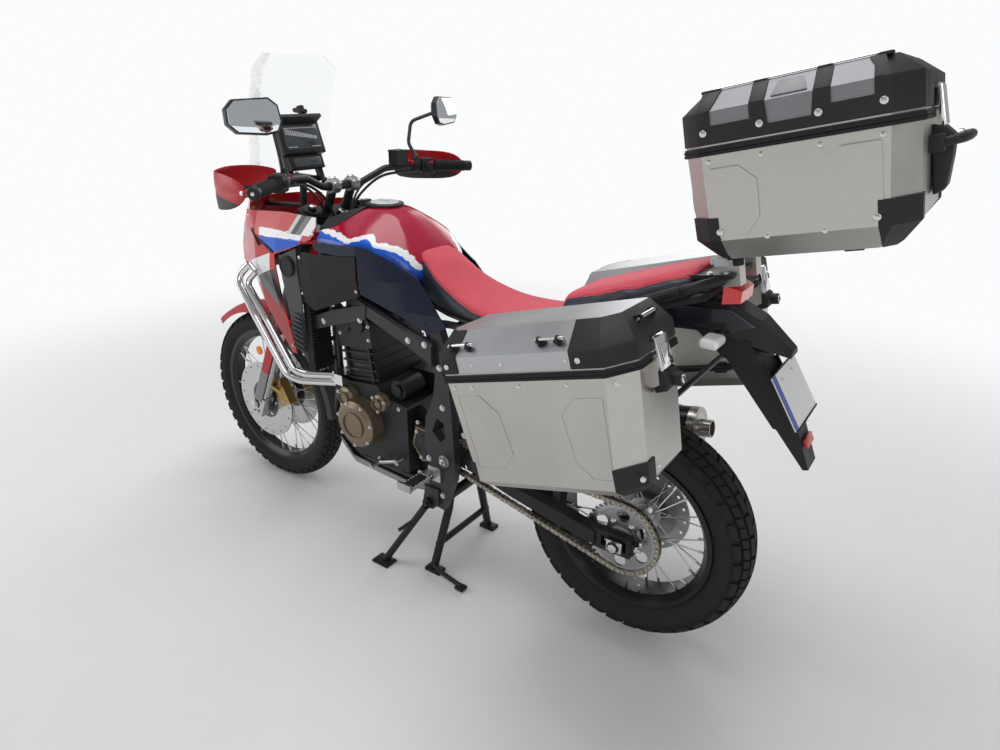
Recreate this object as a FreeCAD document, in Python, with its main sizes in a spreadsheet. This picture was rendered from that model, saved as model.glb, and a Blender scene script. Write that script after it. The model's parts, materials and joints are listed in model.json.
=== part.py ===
import FreeCAD, Part
import math
import os
import Sketcher
from FreeCAD import Placement, Rotation, Vector

# Adventure motorcycle on its centre stand, with three aluminium cases.
# +X forward, +Y to the rider's left, +Z up, millimetres.
# Every place below is measured along the bike from the rear axle (x = 0),
# from the middle plane (y = 0) and from the ground (z = 0).
# Each finished piece is then moved back by axle_back, so that the middle of the
# whole bike on the ground is the origin.

doc = FreeCAD.newDocument("AdventureMotorcycle")
sheet = doc.addObject("Spreadsheet::Sheet", "Sizes")

# name, value, what it is
SIZES = [
    ("axle_back", 693, "rear axle behind the origin"),
    ("wheelbase", 1575, "rear axle to front axle"),
    ("rear_lift", 28, "rear tyre above the ground on the centre stand"),
    ("running_gap", 0.05, "radial gap of a shaft in its bore"),
    ("seat_gap", 0.3, "gap between a moving piece and what it rests on"),
    ("front_tyre_radius", 348, ""),
    ("front_tyre_width", 92, ""),
    ("front_rim_radius", 279, "flange"),
    ("front_rim_width", 64, ""),
    ("rear_tyre_radius", 334, ""),
    ("rear_tyre_width", 150, ""),
    ("rear_rim_radius", 241, "flange"),
    ("rear_rim_width", 114, ""),
    ("rim_depth", 30, "flange to the rim's inner face"),
    ("spoke_radius", 2.2, ""),
    ("spoke_pairs", 16, "spokes on each side of a wheel"),
    ("hub_radius", 34, ""),
    ("hub_flange_radius", 52, ""),
    ("hub_flange_thick", 6, ""),
    ("front_hub_width", 112, ""),
    ("rear_hub_width", 136, ""),
    ("axle_radius", 10, ""),
    ("front_disc_radius", 155, ""),
    ("front_disc_offset", 66, "middle plane to a front disc"),
    ("rear_disc_radius", 128, ""),
    ("rear_disc_offset", 84, "middle plane to the rear disc"),
    ("disc_thick", 4.5, ""),
    ("disc_bore_radius", 40, ""),
    ("disc_hole_radius", 4.5, ""),
    ("disc_hole_edge", 15, "hole centre to the disc's edge"),
    ("disc_holes", 18, "in one ring"),
    ("chain_line", 92, "middle plane to the chain"),
    ("chain_pitch", 15.875, ""),
    ("chain_links", 114, ""),
    ("chain_height", 14, "height of a link plate"),
    ("plate_thick", 2.2, "one link plate"),
    ("chain_inner_width", 8.4, "between the inner plates"),
    ("sprocket_teeth", 42, ""),
    ("front_sprocket_teeth", 16, ""),
    ("sprocket_thick", 7, ""),
    ("pivot_x", 590, "swingarm pivot"),
    ("pivot_z", 428, ""),
    ("rake", 26.5, "steering axis from the vertical"),
    ("head_x", 1132.5, "steering axis at head_z"),
    ("head_z", 1100, ""),
    ("fork_offset", 38, "fork tubes ahead of the steering axis"),
    ("fork_spread", 98, "middle plane to a fork tube"),
    ("fork_outer_radius", 28, "upper tube"),
    ("fork_inner_radius", 22.5, "sliding tube"),
    ("stem_radius", 16, ""),
    ("head_tube_radius", 29, ""),
    ("head_tube_length", 190, ""),
    ("yoke_thick", 28, ""),
    ("cradle_radius", 15, "lower frame tube"),
    ("rail_radius", 11, "seat rail tube"),
    ("crash_bar_radius", 12.5, ""),
    ("case_rail_radius", 8, ""),
    ("handlebar_radius", 11, ""),
    ("grip_radius", 16.5, ""),
    ("header_radius", 20, "exhaust pipe"),
    ("muffler_radius", 60, ""),
    ("panel_thick", 5, "plastic body panel"),
    ("case_wall", 3, ""),
    ("case_tilt", 15.7, "side cases, rear end up"),
    ("case_x", 99, "middle of a side case's seam"),
    ("case_z", 962, ""),
    ("case_half_length", 253, ""),
    ("case_inner_y", 250, ""),
    ("case_outer_y", 480, ""),
    ("case_corner", 50, "upright corner bevel"),
    ("case_depth", 282, "seam to the bottom"),
    ("case_lid_height", 88, ""),
    ("case_lid_band", 38, "upright part of a lid"),
    ("box_tilt", 12.3, "top case, rear end up"),
    ("box_x", -300, "middle of the top case's seam"),
    ("box_z", 1440, ""),
    ("box_half_length", 205, ""),
    ("box_half_width", 222, ""),
    ("box_corner", 42, ""),
    ("box_depth", 229, "seam to the bottom"),
    ("box_lid_height", 95, ""),
    ("box_lid_band", 60, ""),
    ("corner_thick", 3, "plastic corner guard"),
    ("hinge_pin_radius", 3, ""),
    ("hinge_barrel_radius", 6, ""),
    ("stand_pivot_x", 615, "centre stand pivot"),
    ("stand_pivot_z", 270, ""),
    ("stand_foot_x", 636, ""),
    ("stand_tube_radius", 14, ""),
    ("side_pivot_x", 650, "side stand pivot"),
    ("side_pivot_y", 158, ""),
    ("side_pivot_z", 262, ""),
    ("plate_width", 190, "number plate"),
    ("plate_height", 132, ""),
]
for row, (name, value, note) in enumerate(SIZES, start=1):
    sheet.set("A%d" % row, name)
    sheet.set("B%d" % row, str(value))
    sheet.setAlias("B%d" % row, name)
doc.recompute()


def size(name):
    return float(sheet.get(name))


LEFT_RIGHT = (1, -1)
ACROSS = Vector(0, 1, 0)
UP = Vector(0, 0, 1)
nodes = []


def keep(item, label):
    """Names a finished piece and moves it from the rear axle's frame to the bike's."""
    item.Label = label
    item.setExpression("Placement.Base.x", "-Sizes.axle_back")
    nodes.append(item)
    return item


def free_form(label, shape):
    """A piece whose form needs code: its shape is made first, then it is placed."""
    if not isinstance(shape, (list, tuple)):
        shape = [shape]
    shape = Part.makeCompound([solid for piece in shape for solid in piece.Solids])
    item = doc.addObject("Part::Feature", label)
    item.Shape = shape
    return keep(item, label)


def joined(shapes):
    shapes = list(shapes)
    if len(shapes) == 1:
        return shapes[0]
    return shapes[0].fuse(shapes[1:]).removeSplitter()


def mirrored(shape):
    return shape.mirror(Vector(0, 0, 0), ACROSS)


def both_sides(shape):
    return [shape, mirrored(shape)]


def bent_path(points, bend):
    """Straight runs joined by tangent arcs of radius bend, or less at a short run."""
    points = [Vector(*p) for p in points]
    edges = []
    start = points[0]
    for before, corner, after in zip(points, points[1:], points[2:]):
        back = before - corner
        ahead = after - corner
        room = 0.45 * min(back.Length, ahead.Length)
        back.normalize()
        ahead.normalize()
        half_turn = (math.pi - back.getAngle(ahead)) / 2
        if half_turn < 0.005:
            continue
        trim = min(bend * math.tan(half_turn), room)
        radius = trim / math.tan(half_turn)
        inward = (back + ahead).normalize()
        first = corner + back * trim
        last = corner + ahead * trim
        middle = corner + inward * (radius / math.cos(half_turn) - radius)
        edges.append(Part.LineSegment(start, first).toShape())
        edges.append(Part.Arc(first, middle, last).toShape())
        start = last
    edges.append(Part.LineSegment(start, points[-1]).toShape())
    return Part.Wire(edges)


def tube(points, radius, bend=60):
    path = bent_path(points, bend)
    start = Vector(*points[0])
    along = Vector(*points[1]) - start
    ring = Part.Wire(Part.makeCircle(radius, start, along))
    return path.makePipeShell([ring], True, False)


def rod(start, end, radius):
    start = Vector(*start)
    along = Vector(*end) - start
    return Part.makeCylinder(radius, along.Length, start, along)


def block(low, high):
    low = Vector(*low)
    reach = Vector(*high) - low
    return Part.makeBox(reach.x, reach.y, reach.z, low)


def face_of(points):
    points = [Vector(*p) for p in points]
    return Part.Face(Part.makePolygon(points + points[:1]))


def side_plate(outline, y_from, y_to):
    """A flat plate: its outline is seen from the side, as (x, z) corners."""
    face = face_of([(x, y_from, z) for x, z in outline])
    return face.extrude(Vector(0, y_to - y_from, 0))


def ruled(sections):
    """A solid through closed sections that have the same number of corners."""
    wires = []
    for points in sections:
        points = [Vector(*p) for p in points]
        wires.append(Part.makePolygon(points + points[:1]))
    return Part.makeLoft(wires, True, True)


def ring_of(profile, centre, turn=360, start=0):
    """Turns a profile of (radius, y) corners about the cross axis through centre."""
    centre = Vector(*centre)
    face = face_of([(radius, y, 0) for radius, y in profile])
    solid = face.revolve(Vector(0, 0, 0), Vector(0, -1, 0), turn)
    solid.rotate(Vector(0, 0, 0), Vector(0, -1, 0), start)
    solid.translate(centre)
    return solid


def on_slope(tilt, x, z):
    """The frame of a case: its rear end is lifted by tilt about the cross axis."""
    return Placement(Vector(x, 0, z), Rotation(ACROSS, tilt))


def moved(shape, place):
    copy = shape.copy()
    copy.Placement = place.multiply(copy.Placement)
    return copy


front_axle = (size("wheelbase"), 0, size("front_tyre_radius"))
rear_axle = (0, 0, size("rear_tyre_radius") + size("rear_lift"))

# %% Wheels
# A tyre's section, as shares of its height above the rim and of its half width.
TYRE_SECTION = [(0.25, 0.93), (0.50, 1.0), (0.78, 0.86), (0.94, 0.48), (1.0, 0.0)]


def tyre(label, radius, width, rim_radius, rim_width, centre):
    tall = radius - rim_radius
    bead = rim_width / 2 - 4 - 3 * size("seat_gap")
    right = [(rim_radius - 8, bead - 4), (rim_radius - 2, bead), (rim_radius + 1, bead)]
    right += [(rim_radius + tall * up, width / 2 * out) for up, out in TYRE_SECTION]
    left = [(r, -y) for r, y in reversed(right[:-1])]
    return free_form(label, ring_of(right + left, centre))


def laced_wheel(label, rim_radius, rim_width, hub_width, centre):
    half = rim_width / 2
    inner = rim_radius - size("rim_depth")
    rim = [(rim_radius, half), (rim_radius, half - 4), (rim_radius - 12, half - 8),
           (rim_radius - 20, half * 0.5), (rim_radius - 20, -half * 0.5),
           (rim_radius - 12, 8 - half), (rim_radius, 4 - half), (rim_radius, -half),
           (rim_radius - 14, -half), (inner, -half * 0.6), (inner, half * 0.6),
           (rim_radius - 14, half)]
    bore = size("axle_radius") + size("running_gap")
    end = hub_width / 2
    flange = size("hub_flange_radius")
    hub_radius = size("hub_radius")
    deep = size("hub_flange_thick")
    flange_y = end - 16
    hub = [(bore, -end), (bore, end), (hub_radius * 0.72, end), (hub_radius, flange_y + deep),
           (flange, flange_y + deep), (flange, flange_y), (hub_radius, flange_y),
           (hub_radius * 0.8, 0), (hub_radius, -flange_y), (flange, -flange_y),
           (flange, -flange_y - deep), (hub_radius, -flange_y - deep), (hub_radius * 0.72, -end)]
    pieces = [ring_of(rim, centre), ring_of(hub, centre)]
    count = int(size("spoke_pairs"))
    for side in LEFT_RIGHT:
        for index in range(count):
            lead = 1 if index % 2 else -1
            at_hub = 2 * math.pi * (index + 0.25 * side) / count
            at_rim = at_hub + lead * 1.5 * math.pi / count
            hub_r = flange - 6
            rim_r = inner + 8
            root = (hub_r * math.cos(at_hub), side * (flange_y + deep / 2), hub_r * math.sin(at_hub))
            tip = (rim_r * math.cos(at_rim), side * half * 0.45, rim_r * math.sin(at_rim))
            spoke = rod(root, tip, size("spoke_radius"))
            spoke.translate(Vector(*centre))
            pieces.append(spoke)
    return free_form(label, joined(pieces))


def drilled_disc(name, radius, offset, centre):
    """A disc padded on the cross plane, with a ring of drilled holes."""
    body = doc.addObject("PartDesign::Body", name)
    planes = {o.Role: o for o in body.Origin.OriginFeatures}
    blank = sketch_on(body, planes["XZ_Plane"], name + "_blank")
    for index, alias in enumerate((radius, "disc_bore_radius")):
        blank.addGeometry(Part.Circle(Vector(0, 0, 0), UP, size(alias)), False)
        blank.addConstraint(Sketcher.Constraint("Coincident", index, 3, -1, 1))
        bind(blank, Sketcher.Constraint("Radius", index, size(alias)), "Sizes." + alias)
    pad = body.newObject("PartDesign::Pad", name + "_pad")
    pad.Profile = blank
    pad.Midplane = True
    pad.setExpression("Length", "Sizes.disc_thick")
    doc.recompute()
    drill = sketch_on(body, planes["XZ_Plane"], name + "_drill")
    place = size(radius) - size("disc_hole_edge")
    drill.addGeometry(Part.Circle(Vector(place, 0, 0), UP, size("disc_hole_radius")), False)
    drill.addConstraint(Sketcher.Constraint("PointOnObject", 0, 3, -1))
    bind(drill, Sketcher.Constraint("DistanceX", -1, 1, 0, 3, place),
         "Sizes.%s - Sizes.disc_hole_edge" % radius)
    bind(drill, Sketcher.Constraint("Radius", 0, size("disc_hole_radius")), "Sizes.disc_hole_radius")
    pocket = body.newObject("PartDesign::Pocket", name + "_hole")
    pocket.Profile = drill
    pocket.Type = "ThroughAll"
    pocket.Midplane = True
    doc.recompute()
    ring = body.newObject("PartDesign::PolarPattern", name + "_ring")
    ring.Originals = [pocket]
    ring.Axis = (planes["Y_Axis"], [""])
    ring.Angle = 360
    ring.setExpression("Occurrences", "Sizes.disc_holes")
    body.Tip = ring
    doc.recompute()
    disc = body.Shape.copy()
    disc.translate(Vector(centre[0], offset, centre[2]))
    return disc


def sketch_on(body, plane, name):
    sketch = body.newObject("Sketcher::SketchObject", name)
    sketch.AttachmentSupport = [(plane, "")]
    sketch.MapMode = "FlatFace"
    return sketch


def bind(sketch, constraint, expression):
    index = sketch.addConstraint(constraint)
    sketch.setExpression("Constraints[%d]" % index, expression)


for end, centre in (("front", front_axle), ("rear", rear_axle)):
    rim_radius = size(end + "_rim_radius")
    rim_width = size(end + "_rim_width")
    tyre(end + "_tyre", size(end + "_tyre_radius"), size(end + "_tyre_width"), rim_radius, rim_width, centre)
    laced_wheel(end + "_rim", rim_radius, rim_width, size(end + "_hub_width"), centre)
front_discs = [drilled_disc("front_disc_%s" % name, "front_disc_radius", side * size("front_disc_offset"),
                            front_axle)
               for name, side in (("left", 1), ("right", -1))]
rear_disc = drilled_disc("rear_disc_blank", "rear_disc_radius", -size("rear_disc_offset"), rear_axle)


def disc_carrier(offset, hub_width, centre):
    """Carries a disc on the hub: a ring on the hub's end and arms out to the disc's bore."""
    side = 1 if offset > 0 else -1
    hub_end = side * hub_width / 2
    bore = size("axle_radius") + size("running_gap")
    low, high = sorted((hub_end, offset + side * size("disc_thick") / 2))
    outer = size("disc_bore_radius")
    return ring_of([(bore + 6, low), (bore + 6, high), (outer, high), (outer, low)], centre)


front_carriers = [disc_carrier(side * size("front_disc_offset"), size("front_hub_width"), front_axle)
                  for side in LEFT_RIGHT]
free_form("front_discs", [joined([disc, carrier]) for disc, carrier in zip(front_discs, front_carriers)])

# %% Sprockets and chain
front_sprocket_x = size("pivot_x") + 72
front_sprocket_z = size("pivot_z") + 12
pitch = size("chain_pitch")
chain_line = size("chain_line")


def pitch_radius(teeth):
    return pitch / (2 * math.sin(math.pi / teeth))


def sprocket(teeth, centre, start=0):
    """Teeth with straight flanks between the rollers, on a flat blank."""
    radius = pitch_radius(teeth)
    tip = radius + 3.5
    root = radius - 5.4
    points = []
    for tooth in range(teeth):
        for share, reach in ((-0.34, root), (-0.13, tip), (0.13, tip), (0.34, root)):
            angle = 2 * math.pi * (tooth + 0.5 + share) / teeth + start
            points.append((reach * math.cos(angle), 0, reach * math.sin(angle)))
    thick = size("sprocket_thick")
    solid = face_of(points).extrude(ACROSS * thick)
    solid.translate(Vector(centre[0], chain_line - thick / 2, centre[2]))
    return solid


rear_sprocket = sprocket(int(size("sprocket_teeth")), rear_axle)
lightening = []
for index in range(6):
    angle = math.pi * (index + 0.5) / 3
    centre = Vector(*rear_axle) + Vector(math.cos(angle), 0, math.sin(angle)) * 72
    lightening.append(rod(centre + ACROSS * (chain_line - 20), centre + ACROSS * (chain_line + 20), 19))
carrier_bore = size("axle_radius") + size("running_gap")
lightening.append(rod((0, 0, rear_axle[2]), (0, chain_line + 20, rear_axle[2]), carrier_bore + 8))
rear_sprocket = rear_sprocket.cut(lightening)
carrier = ring_of([(carrier_bore + 8, size("rear_hub_width") / 2),
                   (carrier_bore + 8, chain_line + 6), (46, chain_line + 6),
                   (46, size("rear_hub_width") / 2)], rear_axle)
rear_disc_carrier = disc_carrier(-size("rear_disc_offset"), size("rear_hub_width"), rear_axle)
free_form("rear_sprocket_and_disc", [joined([rear_sprocket, carrier]),
                                     joined([rear_disc, rear_disc_carrier])])


def chain_loop():
    """Pin places of the closed loop round both sprockets."""
    big = pitch_radius(size("sprocket_teeth"))
    small = pitch_radius(size("front_sprocket_teeth"))
    reach = front_sprocket_x
    rise = front_sprocket_z - rear_axle[2]
    span = math.hypot(reach, rise)
    lean = math.atan2(rise, reach)
    wrap = math.asin((big - small) / span)
    straight = math.sqrt(span ** 2 - (big - small) ** 2)
    lengths = [straight, small * (math.pi - 2 * wrap), straight, big * (math.pi + 2 * wrap)]
    total = sum(lengths)
    count = int(size("chain_links"))
    top = math.pi / 2 + lean - wrap
    pins = []
    for index in range(count):
        run = total * index / count
        if run < lengths[0]:
            start = Vector(math.cos(top) * big, 0, rear_axle[2] + math.sin(top) * big)
            heading = top - math.pi / 2
            point = start + Vector(math.cos(heading), 0, math.sin(heading)) * run
        elif run < lengths[0] + lengths[1]:
            angle = top - (run - lengths[0]) / small
            point = Vector(front_sprocket_x + math.cos(angle) * small, 0,
                           front_sprocket_z + math.sin(angle) * small)
        elif run < total - lengths[3]:
            angle = top - math.pi + 2 * wrap
            start = Vector(front_sprocket_x + math.cos(angle) * small, 0,
                           front_sprocket_z + math.sin(angle) * small)
            heading = angle - math.pi / 2
            point = start + Vector(math.cos(heading), 0, math.sin(heading)) * (run - lengths[0] - lengths[1])
        else:
            angle = top - math.pi + 2 * wrap - (run - total + lengths[3]) / big
            point = Vector(math.cos(angle) * big, 0, rear_axle[2] + math.sin(angle) * big)
        pins.append(point)
    return pins


def drive_chain():
    """Two rows of link plates, and the rollers of the two runs that are clear of the teeth."""
    pins = chain_loop()
    wheels = [(Vector(*rear_axle), pitch_radius(size("sprocket_teeth"))),
              (Vector(front_sprocket_x, 0, front_sprocket_z), pitch_radius(size("front_sprocket_teeth")))]
    thick = size("plate_thick")
    half = size("chain_height") / 2
    inside = size("chain_inner_width") / 2
    solids = []
    for index, pin in enumerate(pins):
        after = pins[(index + 1) % len(pins)]
        along = (after - pin).normalize()
        upward = along.cross(ACROSS) * half
        layer = inside + (thick if index % 2 else 0)
        for side in LEFT_RIGHT:
            y_low = chain_line + (layer if side > 0 else -layer - thick)
            corners = []
            for end, out in ((pin - along * 3.6, 1), (after + along * 3.6, 1),
                             (after + along * 3.6, -1), (pin - along * 3.6, -1)):
                corners.append(end + upward * out + ACROSS * y_low)
            solids.append(face_of(corners).extrude(ACROSS * thick))
        if all((pin - centre).Length > radius + 3.5 + 7.5 for centre, radius in wheels):
            reach = inside + 0.2
            base = pin + ACROSS * (chain_line - reach)
            corners = [base + along * a + upward.normalize() * u
                       for a, u in ((-4.5, -4.5), (4.5, -4.5), (4.5, 4.5), (-4.5, 4.5))]
            solids.append(face_of(corners).extrude(ACROSS * (2 * reach)))
    return joined(solids)


free_form("drive_chain", drive_chain())

# %% Main frame
rear = rear_axle
pivot = (size("pivot_x"), 0, size("pivot_z"))
rake = math.radians(size("rake"))
steer_up = Vector(-math.sin(rake), 0, math.cos(rake))
steer_ahead = Vector(math.cos(rake), 0, math.sin(rake))
head = Vector(size("head_x"), 0, size("head_z"))


def steered(ahead, across, up):
    """A point in the steering's own frame: ahead of its axis, across it and along it."""
    return head + steer_ahead * ahead + ACROSS * across + steer_up * up


head_top = -8
head_low = head_top - size("head_tube_length")
# Left spar, a box beam from the head tube to the pivot plate: x, inner y, outer y, low z, top z.
SPAR = [(1192, 2, 26, 946, 992), (1150, 20, 44, 934, 986), (1085, 86, 116, 902, 954),
        (900, 128, 158, 850, 902),
        (700, 132, 164, 782, 842), (612, 130, 164, 744, 816)]
# Brace from the spar forwards and down to the radiator, seen from the side.
BRACE = [(872, 890), (1024, 846), (1136, 800), (1136, 756), (1030, 792), (880, 842)]
cradle_route = [(600, 118, 330), (640, 112, 302), (760, 108, 300), (960, 108, 300), (1062, 100, 345),
                (1112, 78, 560), (1186, 8, 966)]
# Side plate at the swingarm pivot, seen from the side.
PIVOT_PLATE = [(566, 690), (572, 790), (604, 874), (654, 870), (640, 780), (618, 712), (628, 640),
               (662, 560),
               (668, 470), (646, 380), (650, 318), (640, 250), (596, 246), (578, 300), (556, 360), (548,
                                                                                                    440),
               (556, 560)]
plate_in = 112
plate_out = 142
bolt = size("axle_radius")


def main_frame():
    head_tube = rod(steered(0, 0, head_low), steered(0, 0, head_top), size("head_tube_radius"))
    right_and_left = []
    spar = ruled([[(x, a, low + 8), (x, a, top - 8), (x, a + 8, top), (x, b - 8, top), (x, b, top - 8),
                   (x, b, low + 8), (x, b - 8, low), (x, a + 8, low)] for x, a, b, low, top in SPAR])
    for solid in (spar, tube(cradle_route, size("cradle_radius"), 60),
                  side_plate(PIVOT_PLATE, plate_in, plate_out), side_plate(BRACE, 148, 162)):
        right_and_left += both_sides(solid)
    crossings = [rod((x, -plate_in - 4, z), (x, plate_in + 4, z), radius)
                 for x, z, radius in ((600, 660, 14), (760, 300, 12), (1062, 345, 12))]
    crossings.append(rod((1020, -132, 924), (1020, 132, 924), 13))
    frame = joined([head_tube] + right_and_left + crossings)
    stem_bore = rod(steered(0, 0, head_low - 1), steered(0, 0, head_top + 1),
                    size("stem_radius") + size("running_gap"))
    windows = [side_plate([(590, 560), (618, 570), (636, 520), (604, 490), (584, 510)], y, y + 60)
               for y in (plate_in - 10, -plate_out - 10)]
    bolt_bore = rod((pivot[0], -200, pivot[2]), (pivot[0], 200, pivot[2]), bolt)
    stand_x = size("stand_pivot_x")
    stand_z = size("stand_pivot_z")
    stand_bore = rod((stand_x, -200, stand_z), (stand_x, 200, stand_z), 9)
    return frame.cut([stem_bore, bolt_bore, stand_bore] + windows)


frame_shape = main_frame()
stand_bolt = rod((size("stand_pivot_x"), -plate_out - 4, size("stand_pivot_z")),
                 (size("stand_pivot_x"), plate_out + 4, size("stand_pivot_z")), 9)
swing_bolt = rod((pivot[0], -plate_out - 6, pivot[2]), (pivot[0], plate_out + 6, pivot[2]), bolt)
side_x = size("side_pivot_x")
side_y = size("side_pivot_y")
side_z = size("side_pivot_z")
# Bracket of the side stand: a lug below the left plate, with its pin.
side_lug = side_plate([(610, 320), (664, 320), (676, 262), (662, 240), (636, 240), (612, 262)],
                      plate_out, plate_out + 10)
side_pin = rod((side_x, plate_out, side_z), (side_x, side_y + 16, side_z), 7)
frame_shape = joined([frame_shape, stand_bolt, swing_bolt, side_lug, side_pin])
free_form("main_frame", frame_shape)

# %% Seat rail
rail_route = [(655, 116, 860), (600, 112, 870), (330, 112, 880), (180, 112, 960), (-150, 96, 1078)]
strut_route = [(572, 128, 640), (520, 124, 690), (215, 112, 890), (150, 112, 965)]


def seat_rail():
    sides = []
    for solid in (tube(rail_route, size("rail_radius"), 80), tube(strut_route, size("rail_radius"), 60)):
        sides += both_sides(solid)
    crossings = [rod((x, -y, z), (x, y, z), 9)
                 for x, y, z in ((560, 112, 871), (330, 112, 880), (150, 110, 972), (-40, 102, 1039),
                                 (-150, 96, 1078))]
    return joined(sides + crossings).cut(frame_shape)


rail_shape = seat_rail()
free_form("seat_rail", rail_shape.Solids)

# %% Engine
crank = Vector(938, 0, 468)
CASE_OUTLINE = [(664, 400), (676, 520), (748, 566), (850, 580), (872, 612), (1008, 596), (1052, 520),
                (1050, 400),
                (1000, 342), (880, 326), (700, 330)]
BARREL_OUTLINE = [(872, 590), (1004, 572), (1030, 716), (898, 734)]
HEAD_OUTLINE = [(886, 734), (1036, 713), (1052, 800), (1020, 846), (930, 858), (896, 818)]


def engine():
    case = side_plate(CASE_OUTLINE, -136, 136)
    sump = side_plate([(720, 335), (980, 335), (940, 298), (760, 298)], -88, 88)
    barrel = side_plate(BARREL_OUTLINE, -118, 118)
    cylinder_head = side_plate(HEAD_OUTLINE, -132, 132)
    ribs = [side_plate([(x, z), (x + 146, z - 20), (x + 147, z - 14), (x + 1, z + 6)], -126, 126)
            for x, z in ((874, 622), (880, 652), (886, 682), (892, 710))]
    intake = [rod((910, y, 800), (820, y, 850), 27) for y in (-55, 55)]
    output = rod((front_sprocket_x, 100, front_sprocket_z), (front_sprocket_x, 60, front_sprocket_z), 14)
    gearbox = rod((front_sprocket_x + 6, 130, front_sprocket_z),
                  (front_sprocket_x + 6, -130, front_sprocket_z), 50)
    chain_side = block((0, 76, 300), (745, 200, 560))
    rocker_cover = side_plate([(934, 850), (1018, 838), (1010, 872), (944, 884)], -112, 112)
    cam_ends = [rod((x, -139, z), (x, 139, z), 30) for x, z in ((948, 806), (1008, 798))]
    starter = [rod((802, 16, 604), (802, 112, 604), 33), rod((802, 110, 604), (802, 122, 604), 20)]
    oil_filter = rod((1040, 42, 420), (1092, 42, 414), 29)
    breather = block((760, -96, 560), (862, -24, 628))
    seams = [side_plate([(x, z), (x + 8, z), (x + 8 + lean, z + 168), (x + lean, z + 168)], -128, 128)
             for x, z, lean in ((884, 566, 24), (990, 552, 24))]
    solid = joined([case, sump, barrel, cylinder_head, gearbox, rocker_cover, oil_filter, breather]
                   + ribs + intake + cam_ends + starter + seams)
    solid = solid.cut(chain_side)
    return joined([solid, output, sprocket(int(size("front_sprocket_teeth")),
                                          (front_sprocket_x, 0, front_sprocket_z))])


engine_shape = engine().cut(frame_shape)
free_form("engine", engine_shape.Solids)
# Round covers on the crankcase: x, z, radius, inner y, outer y.
COVERS = [(940, 469, 86, 136, 190), (1000, 545, 40, 136, 168), (850, 560, 34, 136, 164),
          (872, 462, 98, -136, -184), (1000, 500, 44, -136, -176)]


def round_cover(x, z, radius, inner, outer):
    side = 1 if outer > 0 else -1
    step = outer - side * 10
    shape = Part.makeCone(radius, radius - 5, abs(step - inner), Vector(x, inner, z), ACROSS * side)
    cap = Part.makeCone(radius - 5, radius - 22, 10, Vector(x, step, z), ACROSS * side)
    return shape.fuse(cap)


left_covers = joined([round_cover(*row) for row in COVERS[:3]])
right_covers = joined([round_cover(*row) for row in COVERS[3:]])
sprocket_cover = side_plate([(622, 470), (640, 500), (720, 505), (738, 440), (700, 385), (640, 400)], 108,
                            124)
sprocket_cover = sprocket_cover.fuse(block((722, 76, 420), (738, 112, 500)))
sprocket_cover = max(sprocket_cover.cut(frame_shape).Solids, key=lambda solid: solid.Volume)
free_form("engine_covers", [left_covers.cut(frame_shape), right_covers.cut(frame_shape), sprocket_cover])

# %% Radiators, tank and body panels
def radiators():
    """A core with its two tanks on each side, on pins from the front frame tube."""
    core = block((1118, 96, 640), (1146, 178, 856))
    tanks = [block((1114, 96, z), (1150, 178, z + 22)) for z in (618, 856)]
    pins = [rod((1132, 98, 700), (1150, 50, 700), 7), rod((1128, 98, 636), (1132, 66, 636), 7)]
    low_hose = tube([(1132, 132, 626), (1130, 130, 578), (1088, 120, 556), (1030, 112, 556)], 13, 30)
    high_hose = tube([(1132, 116, 870), (1082, 110, 862), (1020, 100, 806)], 12, 30)
    return both_sides(joined([core] + tanks + pins + [low_hose, high_hose]))


radiator_shapes = [piece.cut(joined([frame_shape, engine_shape])) for piece in radiators()]
free_form("radiators", radiator_shapes)

# Tank sections, from front to rear: x, then z and y of the lower edge, the widest line, the
# shoulder and the crest, and the crown's z.
TANK = [
    (1044, 955, 70, 1005, 180, 1078, 190, 1126, 124, 1132),
    (985, 930, 130, 1000, 196, 1080, 196, 1152, 88, 1160),
    (930, 905, 150, 1000, 202, 1084, 196, 1164, 64, 1171),
    (862, 900, 150, 990, 196, 1086, 188, 1166, 52, 1172),
    (800, 902, 145, 982, 182, 1082, 172, 1128, 68, 1134),
    (740, 908, 130, 970, 150, 1046, 138, 1074, 92, 1080),
    (690, 915, 100, 955, 122, 1004, 118, 1020, 80, 1024),
]


def fuel_tank():
    sections = []
    for x, low_z, low_y, wide_z, wide_y, side_z, side_y, crest_z, crest_y, crown in TANK:
        half = [(x, low_y, low_z), (x, wide_y, wide_z), (x, side_y, side_z), (x, crest_y, crest_z)]
        crest = [(x, 0, crown)]
        other = [(x, -y, z) for x, y, z in reversed(half)]
        sections.append(half + crest + other + [(x, 0, low_z)])
    body = ruled(sections)
    cap = Part.makeCylinder(44, 12, Vector(925, 0, 1166), Vector(-0.03, 0, 1))
    return body.fuse(cap)


tank_shape = fuel_tank().cut(frame_shape)
free_form("fuel_tank", tank_shape)


def skin(levels, thick):
    """A curved side panel. A level is z, then y at each x of the level, from front to rear."""
    sections = []
    for z, places in levels:
        outer = [(x, y, z) for x, y in places]
        inner = [(x, y - thick, z) for x, y in reversed(places)]
        sections.append(outer + inner)
    return ruled(sections)


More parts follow.
